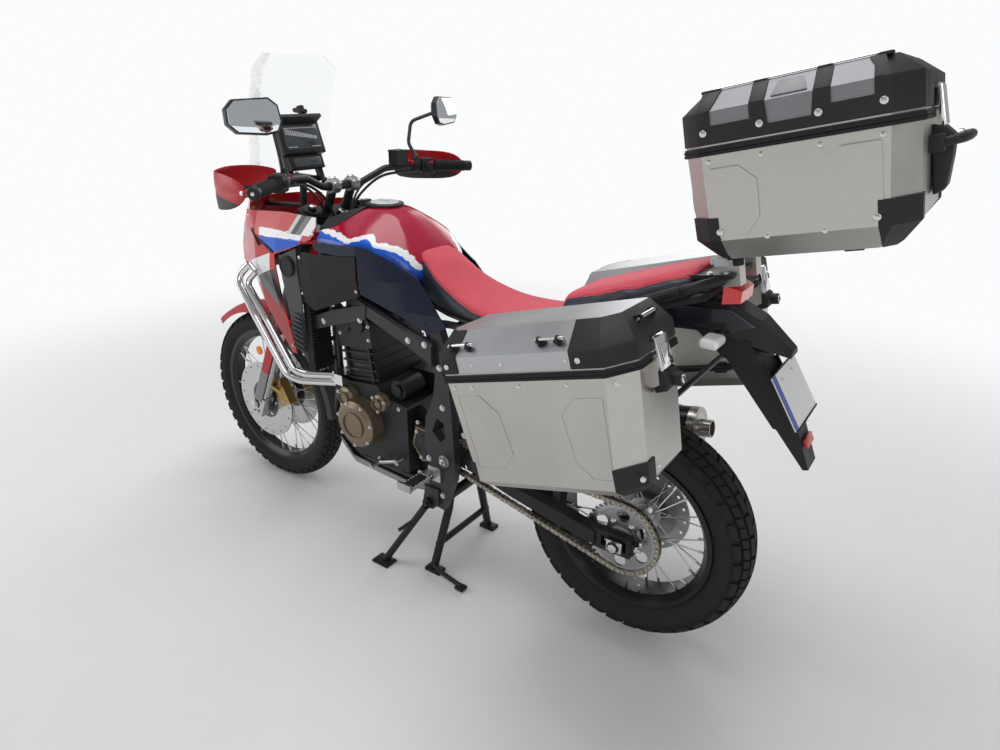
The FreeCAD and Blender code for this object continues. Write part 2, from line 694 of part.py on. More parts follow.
# Left fairing: z, then (x, y) from front to rear.
FAIRING = [
    (660, [(1420, 150), (1300, 176), (1200, 182), (1040, 180)]),
    (800, [(1430, 152), (1320, 190), (1210, 198), (1040, 190)]),
    (960, [(1440, 158), (1340, 200), (1220, 212), (1040, 202)]),
    (1060, [(1430, 160), (1330, 200), (1210, 210), (1040, 196)]),
    (1160, [(1410, 160), (1310, 182), (1200, 172), (1040, 150)]),
]
FAIRING_OUTLINE = [(1404, 1128), (1287, 1136), (1200, 1140), (1064, 1134), (1052, 1100), (1062, 1072),
                   (1125, 1044),
                   (1225, 1008), (1222, 880), (1210, 790), (1198, 664), (1222, 662), (1359, 878), (1424,
                                                                                                   944),
                   (1428, 1040)]
COVER = [
    (820, [(1240, 176), (1060, 188), (860, 176), (690, 158), (560, 146)]),
    (900, [(1240, 190), (1060, 204), (860, 196), (690, 164), (560, 150)]),
    (980, [(1240, 198), (1060, 212), (860, 206), (690, 148), (560, 122)]),
    (1090, [(1240, 196), (1060, 206), (860, 199), (690, 124), (560, 104)]),
]
MATT_OUTLINE = [(1118, 1010), (1090, 1032), (1005, 1034), (862, 1046), (858, 926), (1076, 840), (1118, 864)]
GLOSS_OUTLINE = [(1039, 1066), (870, 1076), (827, 1070), (681, 1000), (562, 874), (624, 842), (852, 934),
                 (857, 1052),
                 (1004, 1040), (1030, 1046)]
INTAKE_OUTLINE = [(1200, 1006), (1124, 1038), (1124, 880), (1150, 700), (1190, 682)]


def panel(levels, outline, thick):
    whole = skin(levels, thick)
    return whole.common(side_plate(outline, 60, 260))


thick = size("panel_thick")
gap = size("seat_gap")
# Pegs that carry the panels: each runs from inside a panel to what holds it.
FAIRING_PEGS = [((1206, 196, 780), (1206, 160, 780)), ((1206, 164, 780), (1140, 164, 780)),
                ((1100, 200, 1060), (1036, 150, 1060))]
MATT_PEGS = [((1040, 206, 960), (1040, 120, 960)), ((900, 202, 960), (900, 130, 960))]
GLOSS_PEGS = [((740, 165, 960), (740, 90, 960)), ((640, 155, 880), (640, 136, 812))]
INTAKE_PEGS = [((1136, 196, 860), (1136, 150, 860)), ((1136, 190, 700), (1136, 150, 700))]
held_by = joined([tank_shape, frame_shape] + radiator_shapes)


def held_panel(levels, outline, pegs):
    whole = joined([panel(levels, outline, thick)] + [rod(start, end, 6) for start, end in pegs])
    return max(whole.cut(held_by).Solids, key=lambda solid: solid.Volume)


fairing = held_panel(FAIRING, FAIRING_OUTLINE, FAIRING_PEGS)
free_form("side_fairings", both_sides(fairing))
covers = []
for levels, outline, pegs in ((COVER, MATT_OUTLINE, MATT_PEGS), (COVER, GLOSS_OUTLINE, GLOSS_PEGS),
                              (FAIRING, INTAKE_OUTLINE, INTAKE_PEGS)):
    covers += both_sides(held_panel(levels, outline, pegs))
free_form("side_covers", covers)

# Nose: z, then (x, y) from the fairing's edge to the middle.
NOSE = [
    (880, [(1392, 150), (1500, 100), (1570, 0)]),
    (930, [(1400, 156), (1540, 104), (1668, 0)]),
    (985, [(1412, 160), (1530, 108), (1606, 0)]),
    (1060, [(1412, 160), (1505, 110), (1556, 0)]),
    (1150, [(1392, 156), (1466, 104), (1500, 0)]),
]


def nose_ring(z, places, inset):
    left = [(x - inset, max(y - inset, 0), z) for x, y in places]
    right = [(x, -y, z) for x, y, z in reversed(left[:-1])]
    return left + right


def front_cowl():
    outer = ruled([nose_ring(z, places, 0) for z, places in NOSE])
    inner = ruled([nose_ring(z, places, thick) for z, places in NOSE])
    shell = outer.cut(inner).cut([block((1300, -140, 870), (1420, 140, 1200)), fairing, mirrored(fairing)])
    eyes = [block((1490, min(side * 22, side * 100), 1010), (1600, max(side * 22, side * 100), 1062))
            for side in LEFT_RIGHT]
    return max(shell.cut(eyes).Solids, key=lambda solid: solid.Volume)


cowl_shape = front_cowl()
free_form("front_cowl", cowl_shape)


def headlamp(side):
    """A lens that fills its opening in the nose, with its lamp body behind."""
    low, high = sorted((side * (22 + gap), side * (100 - gap)))
    nose = ruled([nose_ring(z, places, 0) for z, places in NOSE])
    return nose.common(block((1478, low, 1010 + gap), (1600, high, 1062 - gap)))


free_form("headlamps", [headlamp(side) for side in LEFT_RIGHT])

# Windscreen: z, x of its middle, half width, how far its edges stand back.
SCREEN = [(1172, 1462, 120, 60), (1270, 1432, 158, 66), (1450, 1384, 168, 62), (1560, 1344, 166, 60),
          (1602, 1328, 120, 40)]


def windscreen():
    wires = []
    depth = 4
    for z, x, half, back in SCREEN:
        ends = Vector(x - back, half, z), Vector(x - back, -half, z)
        outer = Part.Arc(ends[0], Vector(x, 0, z), ends[1]).toShape()
        inner = Part.Arc(ends[1] - Vector(depth, 0, 0), Vector(x - depth, 0, z),
                         ends[0] - Vector(depth, 0, 0)).toShape()
        wires.append(Part.Wire([outer, Part.LineSegment(ends[1], ends[1] - Vector(depth, 0, 0)).toShape(),
                                inner,
                                Part.LineSegment(ends[0] - Vector(depth, 0, 0), ends[0]).toShape()]))
    return Part.makeLoft(wires, True, True)


screen_shape = windscreen()
free_form("windscreen", screen_shape)


def dash():
    """Upright display, a small one below it, its hood and the two posts that carry the screen."""
    lean = Placement(Vector(1290, 0, 1351), Rotation(ACROSS, 19))
    screen = moved(block((0, -86, -52), (26, 86, 50)), lean)
    small = moved(block((8, -70, -100), (30, 70, -56)), lean)
    bridge = moved(block((14, -60, -60), (30, 60, -48)), lean)
    hood = moved(side_plate([(-34, 57), (-4, 47), (28, 47), (44, 64), (-30, 67)], -82, 82), lean)
    posts = [moved(block((26, y - 9, -138), (44, y + 9, 112)), lean) for y in (-62, 62)]
    foot = tube([steered(20, 0, -62), steered(168, 0, -62), (1302, 0, 1216)], 12, 30)
    cross = rod((1292, -66, 1216), (1292, 66, 1216), 10)
    nose_stay = rod((1304, 0, 1130), (1540, 0, 1116), 8)
    bosses = [rod((1330, y, z), (1470, y, z), 7) for y in (-62, 62) for z in (1395, 1430)]
    bosses += [rod((1292, y, 1216), (1480, y * 1.3, 1216), 7) for y in (-62, 62)]
    whole = joined([screen, small, bridge, hood, foot, cross, nose_stay] + posts + bosses)
    whole = whole.cut(frame_shape).cut(cowl_shape).cut(screen_shape)
    return max(whole.Solids, key=lambda solid: solid.Volume)


free_form("dash", dash())

# %% Seats: x, half width below, base z, half width above, top z.
RIDER_SEAT = [
    (744, 66, 1000, 58, 1064),
    (704, 90, 950, 84, 1056),
    (650, 108, 912, 96, 1012),
    (590, 116, 900, 104, 968),
    (500, 130, 893, 120, 936),
    (400, 138, 893, 130, 926),
    (290, 138, 893, 126, 938),
    (222, 132, 900, 112, 966),
]
REAR_SEAT = [
    (214, 128, 960, 108, 1018),
    (120, 136, 980, 120, 1052),
    (0, 130, 1036, 116, 1094),
    (-128, 112, 1082, 98, 1136),
]


def cushion(table):
    sections = []
    for x, low_y, low_z, top_y, top_z in table:
        shoulder = 0.5 * (low_z + top_z)
        half = [(x, low_y, low_z), (x, low_y + 4, shoulder), (x, top_y, top_z)]
        sections.append(half + [(x, -y, z) for x, y, z in reversed(half)])
    return ruled(sections)


around = joined([rail_shape, frame_shape])
rider_seat = cushion(RIDER_SEAT).cut(tank_shape).cut(around)
free_form("rider_seat", rider_seat)

# %% Rear rack, case plate, tail
rack_route = [(122, 156, 972), (0, 158, 1050), (-140, 144, 1108), (-182, 92, 1121)]


def rear_rack():
    sides = both_sides(tube(rack_route, 12, 50))
    deck = ruled([[(-60, 92, 1104), (-60, -92, 1104), (-60, -92, 1112), (-60, 92, 1112)],
                  [(-205, 104, 1128), (-205, -104, 1128), (-205, -104, 1138), (-205, 104, 1138)]])
    ties = [rod((x, -y, z), (x, y, z), 9) for x, y, z in ((114, 156, 968), (-140, 144, 1108))]
    posts = [rod((x, y, low), (x, y, high), 8)
             for x, low, high in ((-132, 1074, 1120), (-72, 1050, 1110)) for y in (-88, 88)]
    return joined(sides + [deck] + ties + posts).cut(rail_shape)


rack_shape = rear_rack()
free_form("rear_rack", rack_shape.Solids)
rear_seat = cushion(REAR_SEAT).cut(around).cut(rack_shape)
free_form("passenger_seat", max(rear_seat.Solids, key=lambda solid: solid.Volume))

case_plate_x = size("box_x") - size("box_depth") * math.sin(math.radians(size("box_tilt")))
box_place = on_slope(size("box_tilt"), size("box_x"), size("box_z"))


def case_plate():
    """Aluminium plate below the top case, in the case's own frame."""
    top = -size("box_depth") - size("seat_gap")
    outline = [(197, 70), (197, 100), (150, 118), (-60, 118), (-118, 74)]
    corners = outline + [(x, -y) for x, y in reversed(outline)]
    plate = face_of([(x, y, top - 5) for x, y in corners]).extrude(UP * 5)
    slots = [block((x, y - 9, top - 20), (x + 60, y + 9, top + 20)) for x in (-60, 40) for y in (-70, 0, 70)]
    spacers = [block((150, y - 20, top - 76), (190, y + 20, top - 4)) for y in (-60, 60)]
    plate = plate.cut(slots)
    return moved(joined([plate] + spacers), box_place)


free_form("case_plate", max(case_plate().cut(rack_shape).Solids, key=lambda solid: solid.Volume))

# Tail below the seat and the rack, then the long mudguard: x, half width, low z, top z.
TAIL = [(30, 72, 968, 1010), (-90, 74, 986, 1050), (-190, 66, 990, 1056), (-262, 52, 968, 1026),
        (-338, 30, 950, 966)]


def tail_and_mudguard():
    hump = ruled([[(x, y, low), (x, y * 0.6, top), (x, -y * 0.6, top), (x, -y, low)] for x, y, low,
                  top in TAIL])
    flap_outline = [(-110, 996), (-250, 980), (-282, 930), (-384, 780), (-420, 694), (-408, 690),
                    (-250, 870), (-196, 930)]
    flap = side_plate(flap_outline, -58, 58)
    widths = block((-460, -58, 930), (0, 58, 1010)).fuse(block((-460, -48, 780), (0, 48, 930)))
    flap = flap.common(widths.fuse(block((-460, -36, 600), (0, 36, 780))))
    return joined([hump, flap])


tail_shape = tail_and_mudguard().cut(joined([rail_shape, rack_shape]))
free_form("rear_mudguard", tail_shape.Solids)
lamp = ruled([[(-176, 60, 1056), (-176, -60, 1056), (-176, -60, 1100), (-176, 60, 1100)],
              [(-214, 44, 1060), (-214, -44, 1060), (-214, -44, 1088), (-214, 44, 1088)]])
free_form("tail_lamp", lamp.cut(joined([tail_shape, rack_shape, rail_shape])))
plate_lean = Placement(Vector(-340, 0, 856), Rotation(ACROSS, 32))
plate_half = size("plate_width") / 2
plate_shape = moved(block((-16, -plate_half, -size("plate_height") / 2),
                          (-13, plate_half, size("plate_height") / 2)),
                    plate_lean)
mount_shape = moved(block((-13, -34, -50), (14, 34, 50)), plate_lean).cut(tail_shape)
free_form("number_plate", plate_shape)
free_form("plate_bracket", mount_shape.Solids)


def indicator(x, y, z):
    stalk = rod((x, y * 0.4, z), (x, y * 0.8, z), 7)
    pod = block((x - 22, y - 32, z - 12), (x + 22, y + 32, z + 12))
    pod = pod.makeFillet(10, pod.Edges)
    return stalk.fuse(pod)


lamps = []
for side in LEFT_RIGHT:
    lamps.append(indicator(-188, side * 132, 990).cut(tail_shape))
free_form("indicators", lamps)

# %% Crash bars and skid plate
bar_radius = size("crash_bar_radius")
crash_route = [(1356, 214, 958), (1392, 244, 912), (1300, 256, 800), (1200, 232, 600), (1150, 214, 586),
               (1036, 160, 590)]
inner_route = [(1330, 214, 936), (1356, 236, 900), (1262, 240, 790), (1168, 224, 622), (1130, 206, 612),
               (1044, 166, 616)]


def crash_bars():
    outer = tube(crash_route, bar_radius, 70)
    inner = tube(inner_route, bar_radius, 60)
    ties = [rod((1356, 214, 958), (1330, 214, 936), 10), rod((1036, 160, 590), (1044, 166, 616), 10)]
    foot = block((996, 110, 590), (1052, 172, 626))
    return both_sides(joined([outer, inner, foot] + ties))


free_form("crash_bars", [b.cut(joined([engine_shape, frame_shape])) for b in crash_bars()])

SKID = [(1150, 60, 520), (1128, 96, 430), (1080, 118, 330), (1010, 128, 282), (760, 128, 268),
        (690, 116, 272)]


def skid_plate():
    """A shell under the cradle: its sides turn up and its nose rises ahead of the engine."""
    wires = []
    for x, half, z in SKID:
        rise = 26
        outline = [(x, half + 8, z + rise), (x, half, z), (x, -half, z), (x, -half - 8, z + rise),
                   (x, -half - 4, z + rise + 2), (x, -half + 3, z + 4), (x, half - 3, z + 4),
                   (x, half + 4, z + rise + 2)]
        wires.append(outline)
    shell = ruled(wires)
    mounts = [rod((x, y, z), (x, y, z + 24), 8) for x, z in ((760, 266), (960, 276)) for y in (-108, 108)]
    return joined([shell] + mounts)


# %% Exhaust
header = size("header_radius")
left_header = [(1030, 52, 780), (1084, 52, 752), (1092, 30, 560), (1064, -40, 400), (1040, -90, 366)]
right_header = [(1030, -52, 780), (1084, -60, 752), (1092, -70, 560), (1066, -110, 400), (1010, -160, 340)]
collector = [(1040, -130, 352), (980, -172, 336), (760, -176, 342), (640, -180, 430), (500, -188, 490),
             (402, -196, 518)]


# The skid plate is notched where the pipes pass it.
pipe_room = [tube(right_header, header + 6, 60), tube(collector, header + 11, 90)]
skid_shape = skid_plate().cut(joined([frame_shape, engine_shape])).cut(pipe_room)
free_form("skid_plate", [s for s in skid_shape.Solids if s.Volume > 500])


def exhaust():
    pipes = [tube(left_header, header, 60), tube(right_header, header, 60), tube(collector, header + 5, 90)]
    box_start = Vector(410, -204, 520)
    box_end = Vector(-84, -210, 604)
    along = (box_end - box_start)
    can = Part.makeCylinder(size("muffler_radius"), along.Length, box_start, along)
    inside = Part.makeCylinder(size("muffler_radius") - 4, along.Length - 8, box_start
                               + along * (4 / along.Length), along)
    can = can.cut(inside)
    cone = Part.makeCone(24, size("muffler_radius"), 40, box_start - along.normalize() * 40, along)
    tip = Part.makeCylinder(26, 34, box_end, along).cut(Part.makeCylinder(22, 40, box_end, along))
    hanger = block((232, -160, 560), (262, -118, 640))
    return joined(pipes + [cone, can, tip, hanger])


exhaust_shape = exhaust().cut(joined([engine_shape, frame_shape, rail_shape]))
free_form("exhaust", [s for s in exhaust_shape.Solids if s.Volume > 1000])

# %% Cases
def case_plan(level, inset=0):
    """One level of a case: height, half length, inner y, outer y, corner bevels inside and outside."""
    z, half, inner, outer, inner_bevel, outer_bevel = level
    near = 0.414 * inset
    x_in = half - inset
    low = inner + inset
    high = outer - inset
    a = inner_bevel + near
    b = outer_bevel + near
    return [(x_in - a + inset, low, z), (x_in, low + a - inset, z), (x_in, high - b + inset, z),
            (x_in - b + inset, high, z), (-x_in + b - inset, high, z), (-x_in, high - b + inset, z),
            (-x_in, low + a - inset, z), (-x_in + a - inset, low, z)]


def shell_between(levels, wall, closed_end):
    """A hollow shell through the levels, closed at its first or last level only."""
    outer = ruled([case_plan(level) for level in levels])
    inner_levels = [list(level) for level in levels]
    if closed_end == "first":
        inner_levels[0][0] += wall
        inner_levels[-1][0] += 1
    else:
        inner_levels[-1][0] -= wall
        inner_levels[0][0] -= 1
    return outer.cut(ruled([case_plan(level, wall) for level in inner_levels]))


case_half = size("case_half_length")
case_in = size("case_inner_y")
case_out = size("case_outer_y")
case_corner = size("case_corner")
case_depth = size("case_depth")
case_place = on_slope(size("case_tilt"), size("case_x"), size("case_z"))
CASE_BODY = [
    (-case_depth, case_half - 45, case_in + 4, case_out - 24, 6, case_corner - 12),
    (-case_depth + 22, case_half - 25, case_in, case_out, 6, case_corner),
    (0, case_half, case_in, case_out, 6, case_corner),
]
CASE_LID = [
    (0, case_half, case_in, case_out, 6, case_corner),
    (size("case_lid_band"), case_half, case_in, case_out, 6, case_corner),
    (size("case_lid_height"), case_half - 38, case_in + 14, case_out - 55, 6, case_corner - 20),
]
box_half = size("box_half_length")
box_wide = size("box_half_width")
box_corner = size("box_corner")
box_depth = size("box_depth")
BOX_BODY = [
    (-box_depth, box_half - 44, -box_wide + 52, box_wide - 52, box_corner - 14, box_corner - 14),
    (-box_depth + 44, box_half - 6, -box_wide + 8, box_wide - 8, box_corner, box_corner),
    (0, box_half, -box_wide, box_wide, box_corner, box_corner),
]
BOX_LID = [
    (0, box_half, -box_wide, box_wide, box_corner, box_corner),
    (size("box_lid_band"), box_half, -box_wide, box_wide, box_corner, box_corner),
    (size("box_lid_height"), box_half - 40, -box_wide + 40, box_wide - 40, box_corner - 14, box_corner - 14),
]
wall = size("case_wall")
pin_radius = size("hinge_pin_radius")
barrel_radius = size("hinge_barrel_radius")
hinge_up = 4


def lifted(levels, rise):
    return [(level[0] + rise if index == 0 else level[0],) + tuple(level[1:])
            for index, level in enumerate(levels)]


def hinge(x_wall, y_from, y_to):
    """Barrels along the front edge: the body's two ends with their pin, and the lid's middle."""
    axis_x = x_wall + barrel_radius + 1
    third = (y_to - y_from) / 3
    ends = []
    for low, high in ((y_from, y_from + third - gap), (y_to - third + gap, y_to)):
        barrel = rod((axis_x, low, hinge_up), (axis_x, high, hinge_up), barrel_radius)
        leaf = block((x_wall - 0.5, low, -26), (x_wall + 2.5, high, 0))
        lip = block((x_wall + gap, low, -2), (x_wall + 2.5, high, hinge_up - 1))
        ends.append(joined([barrel, leaf, lip]))
    pin = rod((axis_x, y_from, hinge_up), (axis_x, y_to, hinge_up), pin_radius)
    bore = rod((axis_x, y_from, hinge_up), (axis_x, y_to, hinge_up), pin_radius + size("running_gap"))
    middle = rod((axis_x, y_from + third, hinge_up), (axis_x, y_to - third, hinge_up), barrel_radius)
    leaf = block((x_wall - 0.5, y_from + third, hinge_up + 1), (x_wall + 2.5, y_to - third, 28))
    return joined(ends + [pin]), middle.fuse(leaf).cut(bore), (axis_x, hinge_up)


def case_latch(x_wall, y, low):
    """Latch housing on the case's rear face, below the lid."""
    return side_plate([(-x_wall + 0.5, low), (-x_wall - 16, low + 6), (-x_wall - 20, -12), (-x_wall - 8, -6),
                       (-x_wall + 0.5, -6)], y - 34, y + 34)


case_pins, case_leaf, case_axis = hinge(case_half, case_in + 40, case_out - 90)
side_body = joined([shell_between(CASE_BODY, wall, "first"), case_pins, case_latch(case_half - 6, 350, -74)])
side_body = moved(side_body, case_place)
side_lid = joined([shell_between(lifted(CASE_LID, gap), wall, "last"), case_leaf])
# Lashing loops on each side lid's bevels: middle, the way along the bar, the way out.
lid_middle = (size("case_lid_band") + size("case_lid_height")) / 2
LOOPS = [((-84, case_out - 17.6, lid_middle - 9), (1, 0, 0), (0, 0.673, 0.740)),
         ((150, case_out - 17.6, lid_middle - 9), (1, 0, 0), (0, 0.673, 0.740)),
         ((case_half - 19, case_in + 92, lid_middle), (0, 1, 0), (0.796, 0, 0.605)),
         ((19 - case_half, case_in + 92, lid_middle), (0, 1, 0), (-0.796, 0, 0.605))]
loops = []
for middle, way, out in LOOPS:
    middle, way, out = Vector(*middle), Vector(*way) * 34, Vector(*out)
    loops.append(tube([middle - way - out, middle - way + out * 13, middle + way + out * 13, middle
                       + way - out], 4, 8))
side_lid = moved(joined([side_lid] + loops), case_place)
box_pins, box_leaf, box_axis = hinge(box_half, -120, 120)
box_body = joined([shell_between(BOX_BODY, wall, "first"), box_pins, case_latch(box_half - 4, 0, -86)])
box_body = moved(box_body, box_place)
box_lid = moved(joined([shell_between(lifted(BOX_LID, gap), wall, "last"), box_leaf]), box_place)


def corner_guards(levels, band_low, band_high, grow):
    """A case grown all round, between two heights: the guards are cut from it."""
    grown = [(z, half + grow, inner - (grow if inner_bevel > 20 else 0), outer + grow, inner_bevel,
              outer_bevel)
             for z, half, inner, outer, inner_bevel, outer_bevel in levels]
    outer = ruled([case_plan(level) for level in grown])
    return outer.common(block((-400, -600, band_low), (400, 600, band_high)))


def guard_set(levels, place, depth):
    """The plastic guards of one case: the band below the seam and the bottom corners."""
    grow = size("corner_thick")
    whole = corner_guards(levels, -depth, 0, grow)
    core = ruled([case_plan(level) for level in levels])
    skin_only = whole.cut(core)
    half = levels[-1][1]
    low_y, high_y = levels[-1][2], levels[-1][3]
    corner = levels[-1][5]
    bevel_top = levels[1][0]
    picks = [block((-half - 20, low_y - 20, -20), (half + 20, high_y + 20, -3))]
    for x in (-half - 10, half - corner - 24):
        picks.append(block((x, high_y - corner - 30, -depth - 20),
                           (x + corner + 34, high_y + 20, bevel_top + 46)))
        if levels[-1][4] > 20:
            picks.append(block((x, low_y - 20, -depth - 20),
                               (x + corner + 34, low_y + corner + 30, bevel_top + 46)))
    chosen = joined(picks)
    guards = skin_only.common(chosen)
    return moved(guards, place)


side_guards = guard_set(CASE_BODY, case_place, case_depth).cut(side_body)
box_guards = guard_set(BOX_BODY, box_place, box_depth).cut(box_body)
box_body = box_body.cut(box_guards)
side_guard_solids = [s for s in side_guards.Solids if s.Volume > 300]
box_guard_solids = [s for s in box_guards.Solids if s.Volume > 300]
free_form("case_left_body", side_body)
free_form("case_right_body", mirrored(side_body))
free_form("top_case_body", box_body)
free_form("case_guards", side_guard_solids + [mirrored(s) for s in side_guard_solids] + box_guard_solids)
free_form("case_left_lid", side_lid)
free_form("case_right_lid", mirrored(side_lid))
free_form("top_case_lid", box_lid)

# %% Case rails
rail = size("case_rail_radius")


def case_rails():
    y = case_in - rail - 2
    place = case_place
    loop = [(170, y, -40), (-200, y, -40), (-214, y, -60), (-214, y, -200), (-180, y, -226), (150, y, -226),
            (190, y, -200), (190, y, -60)]
    corners = [tuple(place.multVec(Vector(*p))) for p in loop]
    start = tuple(place.multVec(Vector(176, y, -40)))
    ring = tube([corners[0]] + corners[1:] + [start], rail, 30)
    arms = [rod((-40, 100, 1034), tuple(place.multVec(Vector(-170, y, -40))), 8),
            rod((330, 116, 880), tuple(place.multVec(Vector(150, y, -40))), 8),
            rod((390, 118, 800), tuple(place.multVec(Vector(180, y, -200))), 8)]
    pads = [moved(block((x - 16, y, z - 14), (x + 16, y + rail + 2, z + 14)), place)
            for x, z in ((-150, -40), (120, -40), (-150, -226), (120, -226))]
    return joined([ring] + arms + pads)


half_rails = case_rails()
cross_at = case_place.multVec(Vector(-214, 0, -150))
crossbar = rod((cross_at.x, -(case_in - rail - 2), cross_at.z),
               (cross_at.x, case_in - rail - 2, cross_at.z), 7)
rails_shape = joined([half_rails, mirrored(half_rails), crossbar])
rails_shape = rails_shape.cut(joined([rail_shape, frame_shape, tail_shape, rack_shape, exhaust_shape]))
free_form("case_rails", [s for s in rails_shape.Solids if s.Volume > 1000])

# %% Foot rests and pedals
def foot_rests():
    peg = joined([block((608, 176, 378), (652, 286, 388)), block((604, 280, 378), (656, 288, 404)),
                  block((616, plate_out, 366), (644, 190, 392)),
                  block((600, plate_out, 350), (650, plate_out + 10, 400))])
    rear_peg = joined([rod((532, 125, 668), (432, 146, 608), 9), rod((432, 140, 608), (432, 240, 606), 11)])
    return peg, rear_peg


peg, rear_peg = foot_rests()
lever = joined([rod((768, 130, 382), (768, 178, 382), 8), rod((768, 172, 382), (846, 176, 356), 6),
                rod((846, 152, 356), (846, 214, 356), 8)])
pedal = joined([rod((660, -144, 360), (660, -176, 360), 9), rod((660, -170, 360), (780, -214, 352), 7),
                rod((780, -196, 352), (780, -236, 352), 9)])
rests = [peg, mirrored(peg), rear_peg, mirrored(rear_peg), lever, pedal]
fixed = joined([frame_shape, engine_shape, exhaust_shape, rail_shape])
rest_solids = [s for piece in rests for s in piece.cut(fixed).Solids if s.Volume > 500]
free_form("foot_rests", rest_solids)

# %% Swingarm, rear axle, caliper and shock
# Left beam: x, inner y, outer y, low z, top z.
BEAM = [(604, 62, 106, 402, 454), (470, 66, 112, 392, 450), (350, 106, 136, 382, 436),
        (180, 108, 138, 350, 412),
        (62, 108, 138, 334, 390)]
swing_end = (-44, 108, 132, 332, 392)


def swingarm():
    sections = [[(x, a, low), (x, b, low + 8), (x, b, top - 8), (x, a, top)] for x, a, b, low, top in BEAM]
    beam = ruled(sections)
    x, a, b, low, top = swing_end
    end = block((x, a, low), (70, b, top)).cut(block((-30, a - 1, rear[2] - 16), (44, b + 1, rear[2] + 16)))
    hub = rod((pivot[0], 40, pivot[2]), (pivot[0], plate_in - gap, pivot[2]), 27)
    sides = both_sides(joined([beam, end, hub]))
    bridge = ruled([[(500, -80, 396), (500, 80, 396), (500, 80, 444), (500, -80, 444)],
                    [(392, -80, 400), (392, 80, 400), (392, 80, 436), (392, -80, 436)]])
    arm = joined(sides + [bridge])
    return arm.cut([rod((pivot[0], -200, pivot[2]), (pivot[0], 200, pivot[2]), bolt)])


swing_shape = swingarm()
# Guard over the upper chain run, carried by the beam.
guard_rows = [(420, 484), (250, 487), (120, 492)]
chain_guard = ruled([[(x, 82, z + 8), (x, 104, z + 8), (x, 110, z), (x, 110, z - 6), (x, 113, z - 6),
                      (x, 113, z + 2),
                      (x, 105, z + 11), (x, 82, z + 11)] for x, z in guard_rows])
guard_posts = [block((x, 113 - 3, z_low), (x + 22, 113, z_top))
               for x, z_low, z_top in ((360, 436, 486), (190, 412, 490))]
guard_posts += [block((x, 108, z_low - 6), (x + 22, 113, z_low + 4))
                for x, z_low in ((360, 440), (190, 416))]
swing_shape = joined([swing_shape, chain_guard] + guard_posts).cut(frame_shape)
free_form("swingarm", [s for s in swing_shape.Solids if s.Volume > 1000])



def caliper(centre, angle, disc_radius, disc_y, half_length, reach):
    """A caliper round a disc's edge, angle from straight ahead: its body and its middle."""
    turn = math.radians(angle)
    outwards = Vector(math.cos(turn), 0, math.sin(turn))
    middle = Vector(centre[0], disc_y, centre[2]) + outwards * (disc_radius - 22)
    slot_half = size("disc_thick") / 2 + 1
    housing = block((-half_length, -reach, -26), (half_length, reach, 34))
    slot = block((-2 * half_length, -slot_half, -80), (2 * half_length, slot_half, 26))
    return moved(housing.cut(slot), Placement(middle, Rotation(ACROSS, 90 - angle))), middle


def rear_axle_set():
    axle = rod((0, -136, rear[2]), (0, 142, rear[2]), bolt)
    nut = rod((0, 139, rear[2]), (0, 152, rear[2]), 17)
    blocks = [block((-20, side_low, rear[2] - 15.7), (24, side_high, rear[2] + 15.7))
              for side_low, side_high in ((108.3, 139), (-139, -108.3))]
    bearing = [rod((0, low, rear[2]), (0, high, rear[2]), 20)
               for low, high in ((chain_line + 6 + gap, 108.3),
                                 (-108.3, -size("rear_disc_offset") - 2.25 - gap))]
    y_disc = -size("rear_disc_offset")
    body, middle = caliper(rear, 32, size("rear_disc_radius"), y_disc, 34, 16)
    arm = rod((18, y_disc - 14, rear[2] + 8), (middle.x, y_disc - 12, middle.z), 8)
    arm = arm.cut(block((-60, y_disc - 4, rear[2] - 60), (260, y_disc + 60, rear[2] + 200)))
    return joined([axle, nut] + blocks + bearing + [joined([body, arm])])


axle_shape = rear_axle_set()
axle_shape = axle_shape.cut(swing_shape)
free_form("rear_axle_and_caliper", [s for s in axle_shape.Solids if s.Volume > 800])

# Shock absorber: a spring with open coils round its body, as (radius, along) of one turned profile.
shock_low = Vector(500, 0, 452)
shock_high = Vector(556, 0, 700)


def shock():
    along = shock_high - shock_low
    length = along.Length
    turns = 7
    corners = [(0.0, 0.0), (20.0, 0.0), (20.0, 26.0)]
    coil = (length - 80) / turns
    for index in range(turns):
        start = 26.0 + coil * index
        corners += [(42.0, start + coil * 0.1), (42.0, start + coil * 0.6), (24.0, start + coil * 0.7),
                    (24.0, start + coil)]
    corners += [(40.0, length - 54), (40.0, length - 30), (18.0, length - 26), (18.0, length), (0.0, length)]
    profile = face_of([(r, 0, up) for r, up in corners])
    solid = profile.revolve(Vector(0, 0, 0), UP, 360)
    solid.Placement = Placement(shock_low, Rotation(UP, along))
    return solid


shock_eye = rod((shock_low.x, -26, shock_low.z), (shock_low.x, 26, shock_low.z), 15)
shock_top = rod((shock_high.x, -plate_in, shock_high.z - 4), (shock_high.x, plate_in, shock_high.z - 4), 12)
shock_shape = joined([shock(), shock_eye, shock_top]).cut(joined([swing_shape, engine_shape, frame_shape]))
free_form("shock", [s for s in shock_shape.Solids if s.Volume > 1000])

# %% Steering: yokes, fork, mudguard, bar
spread = size("fork_spread")
offset = size("fork_offset")
outer_fork = size("fork_outer_radius")
inner_fork = size("fork_inner_radius")
yoke = size("yoke_thick")
axle_up = (Vector(*front_axle) - head).dot(steer_up)


def steer_prism(outline, low, high):
    """A prism along the steering axis: its outline is (ahead, across) corners."""
    face = face_of([steered(a, y, low) for a, y in outline])
    return face.extrude(steer_up * (high - low))


